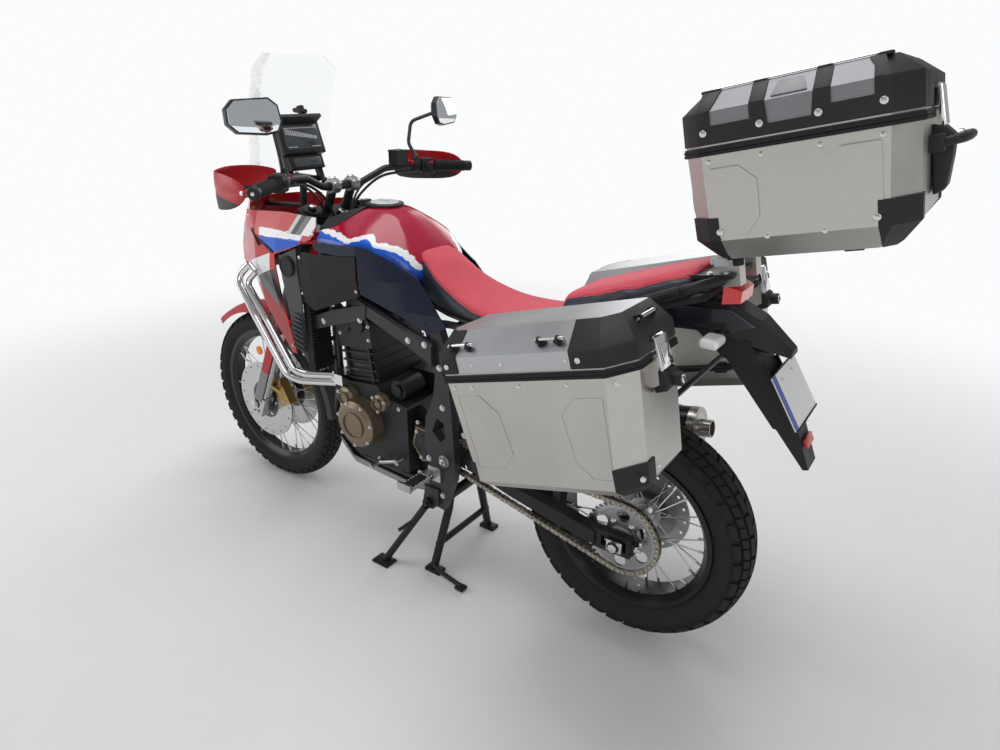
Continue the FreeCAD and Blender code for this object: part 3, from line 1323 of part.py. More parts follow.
YOKE_OUTLINE = [(-26, 22), (8, 92), (offset - 20, spread + 36), (offset + 26, spread + 36),
                (offset + 36, spread - 10),
                (56, 50)]
LOW_YOKE_OUTLINE = [(-19, 10), (2, 50), (offset - 16, spread - 8), (offset - 20, spread + 36),
                    (offset + 26, spread + 36),
                    (offset + 36, spread - 10), (56, 50)]
yoke_outline = YOKE_OUTLINE + [(a, -y) for a, y in reversed(YOKE_OUTLINE)]
low_outline = LOW_YOKE_OUTLINE + [(a, -y) for a, y in reversed(LOW_YOKE_OUTLINE)]
top_yoke_low = head_top + gap
low_yoke_top = head_low - gap
fork_top = top_yoke_low + yoke + 8
fork_split = -500
riser_ahead = 30
riser_up = 80


def yokes():
    top = steer_prism(yoke_outline, top_yoke_low, top_yoke_low + yoke)
    low = steer_prism(low_outline, low_yoke_top - yoke - 6, low_yoke_top)
    stem = rod(steered(0, 0, low_yoke_top - 10), steered(0, 0, top_yoke_low + yoke + 6), size("stem_radius"))
    nut = rod(steered(0, 0, top_yoke_low + yoke), steered(0, 0, top_yoke_low + yoke + 10), 19)
    risers = [rod(steered(riser_ahead, y, top_yoke_low + yoke),
                  steered(riser_ahead, y, top_yoke_low + yoke + riser_up), 15)
              for y in (-40, 40)]
    legs = [rod(steered(offset, y, fork_split), steered(offset, y, fork_top + 5), outer_fork)
            for y in (-spread, spread)]
    # Block under the lower yoke, where the hoses of both front calipers meet.
    splitter = steer_prism([(10, -16), (30, -16), (30, 16), (10, 16)], low_yoke_top - yoke - 24,
                           low_yoke_top - yoke - 4)
    return joined([top, low, stem, nut, splitter] + risers).cut(legs)


yoke_shape = yokes()
free_form("yokes", yoke_shape)


def fork_leg(side):
    y = side * spread
    upper = rod(steered(offset, y, fork_split), steered(offset, y, fork_top), outer_fork)
    collar = rod(steered(offset, y, fork_split - 12), steered(offset, y, fork_split + 30), outer_fork + 3)
    slider = rod(steered(offset, y, axle_up + 60), steered(offset, y, fork_split), inner_fork)
    foot = steer_prism([(offset - 24, y - 20), (offset + 24, y - 20), (offset + 24, y + 20),
                        (offset - 24, y + 20)],
                       axle_up - 34, axle_up + 62)
    lug = rod((front_axle[0], y - 20, front_axle[2]), (front_axle[0], y + 20, front_axle[2]), 25)
    cap = rod(steered(offset, y, fork_top), steered(offset, y, fork_top + 10), 14)
    return joined([upper, collar, slider, foot, lug, cap])


front_axle_rod = rod((front_axle[0], -spread - 24, front_axle[2]),
                     (front_axle[0], spread + 24, front_axle[2]), bolt)
legs = [fork_leg(side).cut(front_axle_rod) for side in LEFT_RIGHT]
free_form("fork_legs", legs)

disc_half = size("disc_thick") / 2


def front_caliper(side):
    """Four-piston caliper behind the fork leg, straddling the disc."""
    y = side * size("front_disc_offset")
    body, middle = caliper(front_axle, 152, size("front_disc_radius"), y, 52, 18)
    ear = rod(middle + ACROSS * side * 12, steered(offset, side * (spread + 12), axle_up + 130), 9)
    behind = offset - outer_fork - 8
    under = low_yoke_top - yoke - 16
    hose = tube([middle + ACROSS * side * 13, steered(behind, side * spread, axle_up + 200),
                 steered(behind, side * spread, under - 60), steered(16, side * 66, under),
                 steered(20, side * 13, under)],
                3.5, 30)
    return joined([body, ear, hose])


calipers = [front_caliper(side).cut(joined(legs + [yoke_shape])) for side in LEFT_RIGHT]
disc_face = size("front_disc_offset") + disc_half
spacers = [rod((front_axle[0], side * (disc_face + gap), front_axle[2]),
               (front_axle[0], side * (spread - 20), front_axle[2]), 14) for side in LEFT_RIGHT]
axle_and_spacers = joined([front_axle_rod] + spacers).cut(joined(legs))
caliper_solids = [s for c in calipers for s in c.Solids if s.Volume > 500]
free_form("front_axle_and_calipers", axle_and_spacers.Solids + caliper_solids)

# Front mudguard: an arch over the tyre. Angles run from straight ahead, over the top, to the rear.
arch_in = size("front_tyre_radius") + 34


def front_mudguard():
    section = [(arch_in - 26, 64), (arch_in - 4, 60), (arch_in + 6, 30), (arch_in + 9, 0),
               (arch_in + 6, -30),
               (arch_in - 4, -60), (arch_in - 26, -64), (arch_in - 26, -60), (arch_in - 7, -56),
               (arch_in + 2, -28),
               (arch_in + 5, 0), (arch_in + 2, 28), (arch_in - 7, 56), (arch_in - 26, 60)]
    arch = ring_of(section, front_axle, 128, 50)
    stays = [rod((1393, side * 60, 664), (1393, side * spread, 664), 9) for side in LEFT_RIGHT]
    return joined([arch] + stays)


guard_shape = max(front_mudguard().cut(legs).Solids, key=lambda solid: solid.Volume)


def fork_guard(side):
    """Plate in front of the sliding tube, curved round it."""
    y = side * spread
    outline = [(offset - 14, y + side * 30), (offset + 20, y + side * 33), (offset + 37, y + side * 18),
               (offset + 37, y - side * 16), (offset + 33, y - side * 16), (offset + 33, y + side * 14),
               (offset + 17, y + side * 28.5), (offset - 14, y + side * 26)]
    plate = steer_prism(outline, axle_up + 40, fork_split - 40)
    clip = steer_prism([(offset + 20, y - 8), (offset + 34, y - 8), (offset + 34, y + 8),
                        (offset + 20, y + 8)],
                       axle_up + 64, axle_up + 90)
    return plate.fuse(clip)


fork_guards = [fork_guard(side).cut(joined(legs)) for side in LEFT_RIGHT]
free_form("front_mudguard", guard_shape)
free_form("fork_guards", [s for g in fork_guards for s in g.Solids if s.Volume > 500])

# Handlebar: it runs from the risers up, out and back to the grips.
bar_radius = size("handlebar_radius")
bar_middle = steered(riser_ahead, 0, top_yoke_low + yoke + riser_up + bar_radius)
bar_route = [(bar_middle.x, -80, bar_middle.z), (bar_middle.x, 80, bar_middle.z),
             (bar_middle.x - 24, 172, bar_middle.z + 40), (bar_middle.x - 56, 262, bar_middle.z + 46),
             (952, 446, 1249)]
half_bar = [(bar_middle.x, 0, bar_middle.z)] + bar_route[1:]


def handlebar():
    half = tube(half_bar, bar_radius, 50)
    middle = rod((bar_middle.x, -62, bar_middle.z), (bar_middle.x, 62, bar_middle.z), 14)
    inner = Vector(*half_bar[-2])
    tip = Vector(*half_bar[-1])
    along = (tip - inner).normalize()
    grip = rod(tip - along * 122, tip, size("grip_radius"))
    weight = rod(tip, tip + along * 14, size("grip_radius") + 1)
    switch = rod(tip - along * 172, tip - along * 128, 23)
    perch = rod(tip - along * 196, tip - along * 176, 18)
    ahead = Vector(0.90, 0.30, -0.05)
    lever = tube([tip - along * 186, tip - along * 182 + ahead * 46, tip - along * 110 + ahead * 52,
                  tip - along * 10 + ahead * 40], 5.5, 20)
    post = rod(tip - along * 186, tip - along * 186 + UP * 30, 6)
    side = joined([half, grip, weight, switch, perch, lever, post])
    clamps = [rod((bar_middle.x, y - 12, bar_middle.z), (bar_middle.x, y + 12, bar_middle.z), 21)
              for y in (-40, 40)]
    pot = block((1044, -244, 1262), (1088, -196, 1308))
    return joined([side, mirrored(side), middle] + clamps + [pot])


bar_shape = handlebar().cut(yoke_shape)
free_form("handlebar", bar_shape.Solids)

# Hand guard: x, y, low z, top z, from the bar's end round to its inner foot.
HAND_GUARD = [(976, 468, 1232, 1262), (1040, 474, 1196, 1290), (1136, 452, 1190, 1292),
              (1164, 380, 1196, 1300),
              (1150, 300, 1212, 1296), (1118, 246, 1238, 1284)]


def hand_guard():
    pieces = []
    for row, after in zip(HAND_GUARD, HAND_GUARD[1:]):
        ends = []
        for x, y, low, top in (row, after):
            out = Vector(x - 1020, y - 250, 0).normalize() * 5
            ends.append([(x, y, low), (x, y, top), (x - out.x, y - out.y, top), (x - out.x, y - out.y, low)])
        pieces.append(ruled(ends))
    tip = Vector(*half_bar[-1])
    foot = rod(tip + Vector(-2, 14, 0), (980, 468, 1247), 8)
    stay = rod((1036, 262, 1268), (1120, 250, 1262), 7)
    return joined(pieces + [foot, stay])


hand_guards = [s for g in both_sides(hand_guard()) for s in g.cut(bar_shape).Solids if s.Volume > 500]
free_form("hand_guards", hand_guards)

MIRROR = [(-76, -18), (-62, -42), (-30, -48), (52, -40), (76, -16), (74, 22), (50, 44), (-48, 46), (-72, 26)]


def mirror_and_stalk():
    face = Placement(Vector(995, 393, 1433), Rotation(ACROSS, 8).multiply(Rotation(UP, -12)))
    back = ruled([[(0, y, z) for y, z in MIRROR], [(14, y, z) for y, z in MIRROR],
                  [(34, y * 0.6, z * 0.55) for y, z in MIRROR]])
    pod = moved(back, face)
    tip = Vector(*half_bar[-1])
    inner = Vector(*half_bar[-2])
    along = (tip - inner).normalize()
    root = tip - along * 186 + UP * 28
    stalk = tube([root, (root.x + 22, root.y - 12, 1330), (root.x + 20, root.y + 2, 1400),
                  (1012, 350, 1428)], 6, 30)
    return joined([pod, stalk])


mirror_shapes = [piece.cut(bar_shape) for piece in both_sides(mirror_and_stalk())]
free_form("mirrors", [s for piece in mirror_shapes for s in piece.Solids if s.Volume > 500])

# %% Stands
stand_x = size("stand_pivot_x")
stand_z = size("stand_pivot_z")
foot_x = size("stand_foot_x")
leg = size("stand_tube_radius")


def centre_stand():
    sleeve = rod((stand_x, -plate_in + gap, stand_z), (stand_x, plate_in - gap, stand_z), 17)
    parts = [sleeve, rod((foot_x - 6, -138, 96), (foot_x - 6, 138, 96), 11)]
    for side in LEFT_RIGHT:
        parts.append(tube([(stand_x, side * 84, stand_z), (stand_x + 6, side * 88, 214),
                           (foot_x, side * 152, 16)], leg, 60))
        low, high = sorted((side * 136, side * 172))
        parts.append(block((foot_x - 34, low, 0), (foot_x + 26, high, 12)))
    # The lever that the rider treads on, at the left foot.
    parts.append(tube([(foot_x - 4, 160, 26), (586, 170, 18), (498, 182, 14)], 8, 30))
    parts.append(block((484, 168, 6), (516, 196, 14)))
    stand = joined(parts)
    return stand.cut(rod((stand_x, -200, stand_z), (stand_x, 200, stand_z), 9 + size("running_gap")))


free_form("centre_stand", centre_stand())


def side_stand():
    y = side_y
    eye_low = plate_out + 10 + gap
    eye = rod((side_x, eye_low, side_z), (side_x, eye_low + 14, side_z), 17)
    foot_at = Vector(802, 219, 5)
    start = Vector(side_x + 4, eye_low + 14, side_z - 10)
    leg_tube = rod(start, foot_at, 12)
    foot = block((768, 196, 2), (838, 246, 8))
    spur = rod((700, 190, 186), (716, 232, 170), 6)
    return joined([eye, leg_tube, foot, spur]).cut(
        [rod((side_x, 0, side_z), (side_x, 300, side_z), 7 + size("running_gap")),
         block((600, 100, -60), (900, 300, 2))])


free_form("side_stand", side_stand())

doc.recompute()
problems = [o.Name for o in doc.Objects if "Invalid" in o.State or "Error" in o.State]
for item in nodes:
    if item.Shape.isNull() or not item.Shape.isValid() or not item.Shape.Solids:
        problems.append(item.Label)
if problems:
    raise RuntimeError("not built: " + ", ".join(problems))
os.makedirs("parts", exist_ok=True)
for item in nodes:
    item.Shape.exportStep("parts/%s.step" % item.Label)
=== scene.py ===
# %% [markdown]
# A tall touring motorcycle with three aluminium cases is dressed here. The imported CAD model
# gives the frame: every tube, wheel, case and hinge is already at its real place. This script
# adds what CAD leaves plain, which is tread, padded seats, clear plastic, small fasteners and
# the finish of each surface. It could all be modelled again from nothing, but pieces that share
# the CAD's own frame need no fitting and move with its joints.

# %% Load the frame
import json
import math

import bpy
from mathutils import Matrix, Vector

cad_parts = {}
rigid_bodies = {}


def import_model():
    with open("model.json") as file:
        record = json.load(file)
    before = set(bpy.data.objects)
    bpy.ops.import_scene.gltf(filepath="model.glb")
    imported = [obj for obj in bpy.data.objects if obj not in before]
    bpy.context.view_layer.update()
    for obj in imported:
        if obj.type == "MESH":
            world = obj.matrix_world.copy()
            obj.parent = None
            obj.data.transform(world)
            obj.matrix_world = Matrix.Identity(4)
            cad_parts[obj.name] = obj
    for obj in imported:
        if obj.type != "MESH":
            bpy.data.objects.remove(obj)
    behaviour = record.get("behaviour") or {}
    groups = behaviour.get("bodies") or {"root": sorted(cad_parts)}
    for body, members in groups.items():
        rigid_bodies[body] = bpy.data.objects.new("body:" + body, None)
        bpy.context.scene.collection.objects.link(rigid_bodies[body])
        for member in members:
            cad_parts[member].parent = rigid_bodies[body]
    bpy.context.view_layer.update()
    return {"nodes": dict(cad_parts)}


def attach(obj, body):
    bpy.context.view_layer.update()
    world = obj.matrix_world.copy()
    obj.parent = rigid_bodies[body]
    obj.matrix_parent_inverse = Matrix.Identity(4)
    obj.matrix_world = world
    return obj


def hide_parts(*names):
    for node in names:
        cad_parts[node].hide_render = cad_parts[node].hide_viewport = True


for leftover in list(bpy.data.objects):
    bpy.data.objects.remove(leftover)
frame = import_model()
nodes = frame["nodes"]

# %% [markdown]
# The bike's sizes are easiest to read in millimetres from the rear axle, the middle plane and
# the ground, x forward, y to the rider's left and z up. One helper turns such a place into the
# scene's metres, so every number below can be checked with a ruler against the real machine.

# %% Places in millimetres
AXLE_BACK = 693
FRONT_AXLE = (1575, 0, 348)
REAR_AXLE = (0, 0, 362)
LEFT_RIGHT = (1, -1)


def at(x, y, z):
    return Vector(((x - AXLE_BACK) / 1000, y / 1000, z / 1000))


def mm(value):
    return value / 1000


# %% [markdown]
# The camera stands where the photographer stood: behind the left rear corner, at about
# eye height, with a wide lens. It was found by matching points of the photograph to their
# places on the bike, so it is set by its position and its three angles, and not by eye.

# %% Camera
CAMERA_PLACE = (-632, 1590, 1507)
CAMERA_YAW = math.radians(-55.03)
CAMERA_DOWN = math.radians(22.58)
CAMERA_ROLL = math.radians(0.53)
CAMERA_LENS = 24.84

camera_data = bpy.data.cameras.new("photo_camera")
camera_data.lens = CAMERA_LENS
camera_data.sensor_width = 36
camera_data.clip_start = 0.05
camera = bpy.data.objects.new("photo_camera", camera_data)
bpy.context.scene.collection.objects.link(camera)
ahead = Vector((math.cos(CAMERA_YAW) * math.cos(CAMERA_DOWN), math.sin(CAMERA_YAW) * math.cos(CAMERA_DOWN),
                -math.sin(CAMERA_DOWN)))
level = Vector((math.sin(CAMERA_YAW), -math.cos(CAMERA_YAW), 0))
above = level.cross(ahead)
right = level * math.cos(CAMERA_ROLL) + above * math.sin(CAMERA_ROLL)
above = above * math.cos(CAMERA_ROLL) - level * math.sin(CAMERA_ROLL)
turn = Matrix((right, above, -ahead)).transposed().to_4x4()
camera.matrix_world = Matrix.Translation(at(*CAMERA_PLACE)) @ turn
bpy.context.scene.camera = camera
print("camera at", [round(value, 3) for value in camera.location])

# %% [markdown]
# A studio needs little: a pale floor that curves up behind the bike, a large soft lamp above,
# a weaker one at the camera's side and a rim lamp behind. Large lamps give soft shadows and
# long highlights on paint. The world is pale too, so that polished metal has something to
# reflect, and Light Path keeps the background white without more light on the bike.

# %% Floor, lamps and world
scene = bpy.context.scene
scene.view_settings.view_transform = "Standard"


def node(tree, kind, **values):
    """A shader node; a value is for the input of that name, or for the node itself."""
    made = tree.nodes.new(kind)
    for name, value in values.items():
        socket = made.inputs.get(name.replace("_", " "))
        if socket is None:
            setattr(made, name, value)
        elif isinstance(value, bpy.types.NodeSocket):
            tree.links.new(value, socket)
        else:
            socket.default_value = value
    return made


def sums(tree, operation, *terms):
    """A Math node; each term is a number or another node's socket."""
    made = tree.nodes.new("ShaderNodeMath")
    made.operation = operation
    for place, term in enumerate(terms):
        if isinstance(term, bpy.types.NodeSocket):
            tree.links.new(term, made.inputs[place])
        else:
            made.inputs[place].default_value = term
    return made.outputs[0]


world = bpy.data.worlds.new("studio")
scene.world = world
world.use_nodes = True
tree = world.node_tree
tree.nodes.clear()
path = node(tree, "ShaderNodeLightPath")
seen = sums(tree, "MAXIMUM", path.outputs["Is Camera Ray"], path.outputs["Is Transmission Ray"])
strength = sums(tree, "MULTIPLY_ADD", seen, 0.62, 0.38)
sky = node(tree, "ShaderNodeBackground", Color=(0.97, 0.975, 0.98, 1), Strength=strength)
node(tree, "ShaderNodeOutputWorld", Surface=sky.outputs[0])

bpy.ops.object.select_all(action="DESELECT")
bpy.ops.mesh.primitive_plane_add(size=40, location=(0, 0, 0))
floor = bpy.context.object
floor.name = "studio_floor"
concrete = bpy.data.materials.new("pale_floor")
concrete.use_nodes = True
tree = concrete.node_tree
surface = tree.nodes["Principled BSDF"]
surface.inputs["Roughness"].default_value = 0.85
place = node(tree, "ShaderNodeTexCoord").outputs["Object"]
grain = node(tree, "ShaderNodeTexNoise", Vector=place, Scale=9.0, Detail=5.0)
tone = node(tree, "ShaderNodeMapRange", Value=grain.outputs["Fac"], To_Min=0.74, To_Max=0.78)
tree.links.new(tone.outputs[0], surface.inputs["Base Color"])
# Far from the bike the floor brightens into the background, so that no horizon shows.
output = tree.nodes["Material Output"]
away = node(tree, "ShaderNodeVectorMath", operation="LENGTH")
tree.links.new(place, away.inputs[0])
fade = node(tree, "ShaderNodeMapRange", interpolation_type="SMOOTHSTEP", Value=away.outputs["Value"],
            From_Min=1.5, From_Max=4.2)
glow = node(tree, "ShaderNodeEmission", Color=(0.97, 0.975, 0.98, 1), Strength=1.0)
blend = node(tree, "ShaderNodeMixShader")
tree.links.new(fade.outputs[0], blend.inputs[0])
tree.links.new(surface.outputs[0], blend.inputs[1])
tree.links.new(glow.outputs[0], blend.inputs[2])
tree.links.new(blend.outputs[0], output.inputs["Surface"])
floor.data.materials.append(concrete)

# Name, place, what it faces, its size in metres and its power in watts.
LAMPS = [
    ("sky_lamp", (900, -300, 4600), (500, 0, 500), 3.0, 104),
    ("side_lamp", (-2600, 3600, 2600), (400, 0, 700), 2.6, 40),
    ("front_lamp", (3900, 2300, 2100), (800, 0, 700), 2.2, 34),
    ("far_lamp", (1400, -4200, 2600), (500, 0, 800), 2.6, 48),
]
for name, where, target, wide, watts in LAMPS:
    lamp = bpy.data.lights.new(name, "AREA")
    lamp.energy = watts
    lamp.size = wide
    holder = bpy.data.objects.new(name, lamp)
    scene.collection.objects.link(holder)
    holder.location = at(*where)
    holder.rotation_euler = (at(*target) - at(*where)).to_track_quat("-Z", "Y").to_euler()
print("lamps:", len(LAMPS))

# %% [markdown]
# Each finish is a small node tree. On the real bike no surface is one flat colour: cast metal
# has a grain, plastic a fine stipple, paint a faint waviness and dust in the corners. Two
# noises do this. A broad one shifts the colour and the gloss, and a fine one gives the bump.
# They read Object coordinates, so they have a real scale and stay on the piece when it moves.

# %% One helper for plain finishes
FINISHES = {}


def start_finish(name):
    """A new material with its node tree and its Principled surface."""
    made = bpy.data.materials.new(name)
    made.use_nodes = True
    made.diffuse_color = (0.5, 0.5, 0.5, 1)
    FINISHES[name] = made
    return made.node_tree, made.node_tree.nodes["Principled BSDF"]


def noise_at(tree, scale, stretch=(1, 1, 1), turn=(0, 0, 0), detail=3.0):
    place = node(tree, "ShaderNodeTexCoord").outputs["Object"]
    spot = node(tree, "ShaderNodeMapping", Vector=place, Scale=stretch, Rotation=turn)
    spots = node(tree, "ShaderNodeTexNoise", Vector=spot.outputs[0], Scale=scale, Detail=detail)
    return spots.outputs["Fac"]


def shade(colour, factor):
    return tuple(min(1.0, part * factor) for part in colour) + (1,)


def mixed(tree, share, low, high):
    made = tree.nodes.new("ShaderNodeMix")
    made.data_type = "RGBA"
    for socket, value in ((made.inputs[0], share), (made.inputs[6], low), (made.inputs[7], high)):
        if isinstance(value, bpy.types.NodeSocket):
            tree.links.new(value, socket)
        else:
            socket.default_value = value
    return made.outputs[2]


def roughen(tree, surface, broad, fine, rough, swing, bump, depth):
    """The broad noise varies the roughness, and the fine one gives the bump."""
    tone = node(tree, "ShaderNodeMapRange", Value=broad, From_Min=0.3, From_Max=0.7,
                To_Min=max(0.02, rough - swing), To_Max=rough + swing)
    tree.links.new(tone.outputs[0], surface.inputs["Roughness"])
    relief = node(tree, "ShaderNodeBump", Height=fine, Strength=bump, Distance=depth)
    tree.links.new(relief.outputs[0], surface.inputs["Normal"])


def finish(name, colour, rough=0.5, metal=0.0, fine=900, broad=14, spread=0.14, swing=0.07, bump=0.12,
           depth=0.0004, stretch=(1, 1, 1), turn=(0, 0, 0), coat=0.0, **others):
    """A plain finish; others are further inputs of the surface by name."""
    tree, surface = start_finish(name)
    broad_noise = noise_at(tree, broad)
    fine_noise = noise_at(tree, fine, stretch, turn)
    share = sums(tree, "MULTIPLY_ADD", fine_noise, 0.5, sums(tree, "MULTIPLY", broad_noise, 0.5))
    ramp = node(tree, "ShaderNodeMapRange", Value=share, From_Min=0.36, From_Max=0.64).outputs[0]
    tint = mixed(tree, ramp, shade(colour, 1 - spread), shade(colour, 1 + spread))
    tree.links.new(tint, surface.inputs["Base Color"])
    surface.inputs["Metallic"].default_value = metal
    surface.inputs["Coat Weight"].default_value = coat
    for socket, value in others.items():
        surface.inputs[socket.replace("_", " ")].default_value = value
    roughen(tree, surface, broad_noise, fine_noise, rough, swing, bump, depth)
    return surface


# %% [markdown]
# The plain finishes of the bike. Brushed aluminium gets a noise that is stretched along the
# brushing, which is turned with the case that it is on. The numbers are linear colours, read
# from plain patches of the photograph and darkened where the sun had bleached them.

# %% The finishes
CASE_TILT = math.radians(15.7)
BOX_TILT = math.radians(12.3)
finish("frame_grey", (0.034, 0.035, 0.038), 0.42, 0.35, fine=1500, bump=0.08)
finish("black_metal", (0.014, 0.014, 0.015), 0.40, 0.2, fine=1300, bump=0.10, Specular_IOR_Level=0.35)
finish("engine_dark", (0.024, 0.0245, 0.026), 0.46, 0.45, fine=700, bump=0.3, spread=0.22)
finish("engine_grey", (0.24, 0.24, 0.245), 0.42, 0.8, fine=700, bump=0.3, spread=0.2)
finish("bronze_cover", (0.215, 0.165, 0.115), 0.38, 0.75, fine=800, bump=0.2, spread=0.16)
finish("radiator_black", (0.02, 0.02, 0.021), 0.6, 0.3)
finish("red_paint", (0.50, 0.010, 0.016), 0.22, fine=260, broad=6, spread=0.07, swing=0.03, bump=0.02,
       coat=0.6)
finish("black_gloss", (0.010, 0.012, 0.018), 0.20, fine=300, spread=0.2, swing=0.04, bump=0.02, coat=0.4)
finish("black_plastic", (0.012, 0.012, 0.013), 0.56, fine=1900, bump=0.22, spread=0.2,
       Specular_IOR_Level=0.35)
finish("grey_plastic", (0.060, 0.062, 0.066), 0.55, fine=1900, bump=0.2, spread=0.14)
finish("soft_rubber", (0.011, 0.011, 0.012), 0.72, fine=1500, bump=0.25, spread=0.25, Specular_IOR_Level=0.3)
finish("tyre_rubber", (0.015, 0.015, 0.016), 0.78, fine=800, broad=22, bump=0.30, spread=0.30, swing=0.08,
       Specular_IOR_Level=0.3)
finish("rim_black", (0.012, 0.012, 0.013), 0.28, 0.3, fine=900, bump=0.05)
finish("aluminium", (0.50, 0.485, 0.455), 0.38, 1.0, fine=40, broad=9, spread=0.07, swing=0.06, bump=0.10,
       stretch=(1.2, 30, 30), turn=(0, -CASE_TILT, 0), depth=0.0003)
finish("box_aluminium", (0.50, 0.485, 0.455), 0.38, 1.0, fine=40, broad=9, spread=0.07, swing=0.06,
       bump=0.10, stretch=(1.2, 30, 30), turn=(0, -BOX_TILT, 0), depth=0.0003)
finish("lid_sheet", (0.46, 0.47, 0.485), 0.40, 1.0, fine=40, broad=6, spread=0.08, swing=0.05, bump=0.06,
       stretch=(1.2, 30, 30), turn=(0, -CASE_TILT, 0), depth=0.0003)
finish("box_lid_sheet", (0.24, 0.245, 0.255), 0.58, 1.0, fine=40, broad=6, spread=0.08, swing=0.05,
       bump=0.06, stretch=(1.2, 30, 30), turn=(0, -BOX_TILT, 0), depth=0.0003)
finish("polished_steel", (0.72, 0.72, 0.73), 0.10, 1.0, fine=500, spread=0.05, swing=0.04, bump=0.02)
finish("steel", (0.46, 0.46, 0.47), 0.32, 1.0, fine=600, spread=0.12, bump=0.10)
finish("bright_bolt", (0.62, 0.62, 0.63), 0.25, 1.0, fine=900, spread=0.1, bump=0.05)
finish("skid", (0.42, 0.43, 0.44), 0.38, 0.9, fine=400, spread=0.12, bump=0.15)
finish("gold", (0.55, 0.33, 0.09), 0.30, 1.0, fine=700, spread=0.12)
finish("tail_red", (0.42, 0.004, 0.006), 0.12, fine=500, spread=0.1, bump=0.03, coat=0.5,
       Emission_Color=(0.8, 0.01, 0.01, 1), Emission_Strength=0.15)
finish("tail_glow", (0.8, 0.02, 0.02), 0.2, fine=500, spread=0.1, bump=0.02,
       Emission_Color=(1.0, 0.03, 0.02, 1), Emission_Strength=0.9)
finish("red_reflector", (0.50, 0.02, 0.01), 0.25, fine=400, spread=0.2, bump=0.5, depth=0.001)
finish("orange_reflector", (0.80, 0.20, 0.01), 0.25, fine=400, spread=0.2, bump=0.5, depth=0.001)
finish("plate_white", (0.78, 0.79, 0.80), 0.35, fine=800, spread=0.03, bump=0.04)
finish("plate_blue", (0.01, 0.05, 0.35), 0.35, fine=800, spread=0.05, bump=0.04)
finish("pale_grey", (0.50, 0.51, 0.53), 0.45, fine=900, spread=0.06, bump=0.08)
finish("mirror_black", (0.015, 0.015, 0.016), 0.30, fine=1200, spread=0.2, bump=0.08, coat=0.2)
finish("hand_red", (0.42, 0.010, 0.014), 0.40, fine=900, spread=0.08, bump=0.08)
finish("hand_grey", (0.20, 0.205, 0.21), 0.45, fine=900, spread=0.08, bump=0.08)
finish("mirror_glass", (0.80, 0.84, 0.88), 0.02, 1.0, fine=4, spread=0.02, swing=0.01, bump=0.0)
finish("display", (0.045, 0.055, 0.062), 0.16, fine=60, broad=8, spread=0.25, swing=0.04, bump=0.02,
       coat=0.6)
finish("chain_steel", (0.30, 0.27, 0.22), 0.38, 0.9, fine=500, spread=0.3, bump=0.15)
finish("hose_black", (0.015, 0.015, 0.016), 0.5, fine=1200, spread=0.2, bump=0.1)
print("finishes:", len(FINISHES))

# %% [markdown]
# The screen and the lenses are clear plastic. Real plastic this thin hardly bends the light, so
# the index is low, and a share of plain see-through keeps the screen as faint as it is.

# %% Clear plastic
def clear_finish(name, colour, rough, tint_share):
    surface = finish(name, colour, rough, fine=300, spread=0.03, swing=0.01, bump=0.01)
    surface.inputs["Transmission Weight"].default_value = 1.0
    surface.inputs["IOR"].default_value = 1.15
    surface.inputs["Alpha"].default_value = tint_share


clear_finish("screen", (0.88, 0.91, 0.93), 0.04, 0.42)
clear_finish("clear_lens", (0.92, 0.94, 0.96), 0.06, 0.75)
print("finishes with the clear ones:", len(FINISHES))

# %% [markdown]
# The carried-over CAD nodes get their finishes by name. A node's mesh is left alone, and only
# its material slot is filled.

# %% Finishes of the CAD nodes
NODE_FINISHES = {
    "frame_grey": ("main_frame", "seat_rail"),
    "engine_dark": ("engine", "front_axle_and_calipers", "rear_axle_and_caliper"),
    "bronze_cover": ("engine_covers",),
    "radiator_black": ("radiators",),
    "red_paint": ("fuel_tank", "side_fairings", "front_cowl", "front_mudguard"),
    "black_gloss": ("side_covers",),
    "clear_lens": ("headlamps", "indicators"),
    "screen": ("windscreen",),
    "black_plastic": ("dash", "rear_rack", "rear_mudguard", "plate_bracket", "case_guards"),
    "soft_rubber": ("rider_seat", "passenger_seat"),
    "aluminium": ("case_left_body", "case_right_body", "case_plate"),
    "box_aluminium": ("top_case_body",),
    "lid_sheet": ("case_left_lid", "case_right_lid"),
    "box_lid_sheet": ("top_case_lid",),
    "tail_red": ("tail_lamp",),
    "plate_white": ("number_plate",),
    "polished_steel": ("crash_bars",),
    "skid": ("skid_plate",),
    "steel": ("exhaust", "foot_rests", "shock", "front_discs", "rear_sprocket_and_disc"),
    "chain_steel": ("drive_chain",),
    "black_metal": ("case_rails", "swingarm", "yokes", "fork_legs", "handlebar", "centre_stand",
                    "side_stand"),
    "hand_red": ("hand_guards", "fork_guards"),
    "mirror_black": ("mirrors",),
    "tyre_rubber": ("front_tyre", "rear_tyre"),
    "rim_black": ("front_rim", "rear_rim"),
}


def dress(name, finish_name):
    """Fills a CAD node's slot."""
    data = nodes[name].data
    data.materials.clear()
    data.materials.append(FINISHES[finish_name])
    print(name, "is finished in", finish_name)


for finish_name, names in NODE_FINISHES.items():
    for name in names:
        dress(name, finish_name)
bare = sorted(set(nodes) - {name for names in NODE_FINISHES.values() for name in names})
print("nodes without a finish:", bare)

# %% [markdown]
# The next helpers are the moves that one makes by hand in Blender: select one piece, apply its
# place, add a modifier and apply it. They all deselect first, because an operator acts on
# everything that is selected. Each finished piece has its place in its mesh and its object at
# the origin, as the CAD nodes have.

# %% Selecting and applying
def deselect():
    if bpy.context.object and bpy.context.object.mode != "OBJECT":
        bpy.ops.object.mode_set(mode="OBJECT")
    bpy.ops.object.select_all(action="DESELECT")


def only(piece):
    deselect()
    piece.select_set(True)
    bpy.context.view_layer.objects.active = piece
    return piece


def settle():
    bpy.ops.object.transform_apply(location=True, rotation=True, scale=True)
    return bpy.context.object


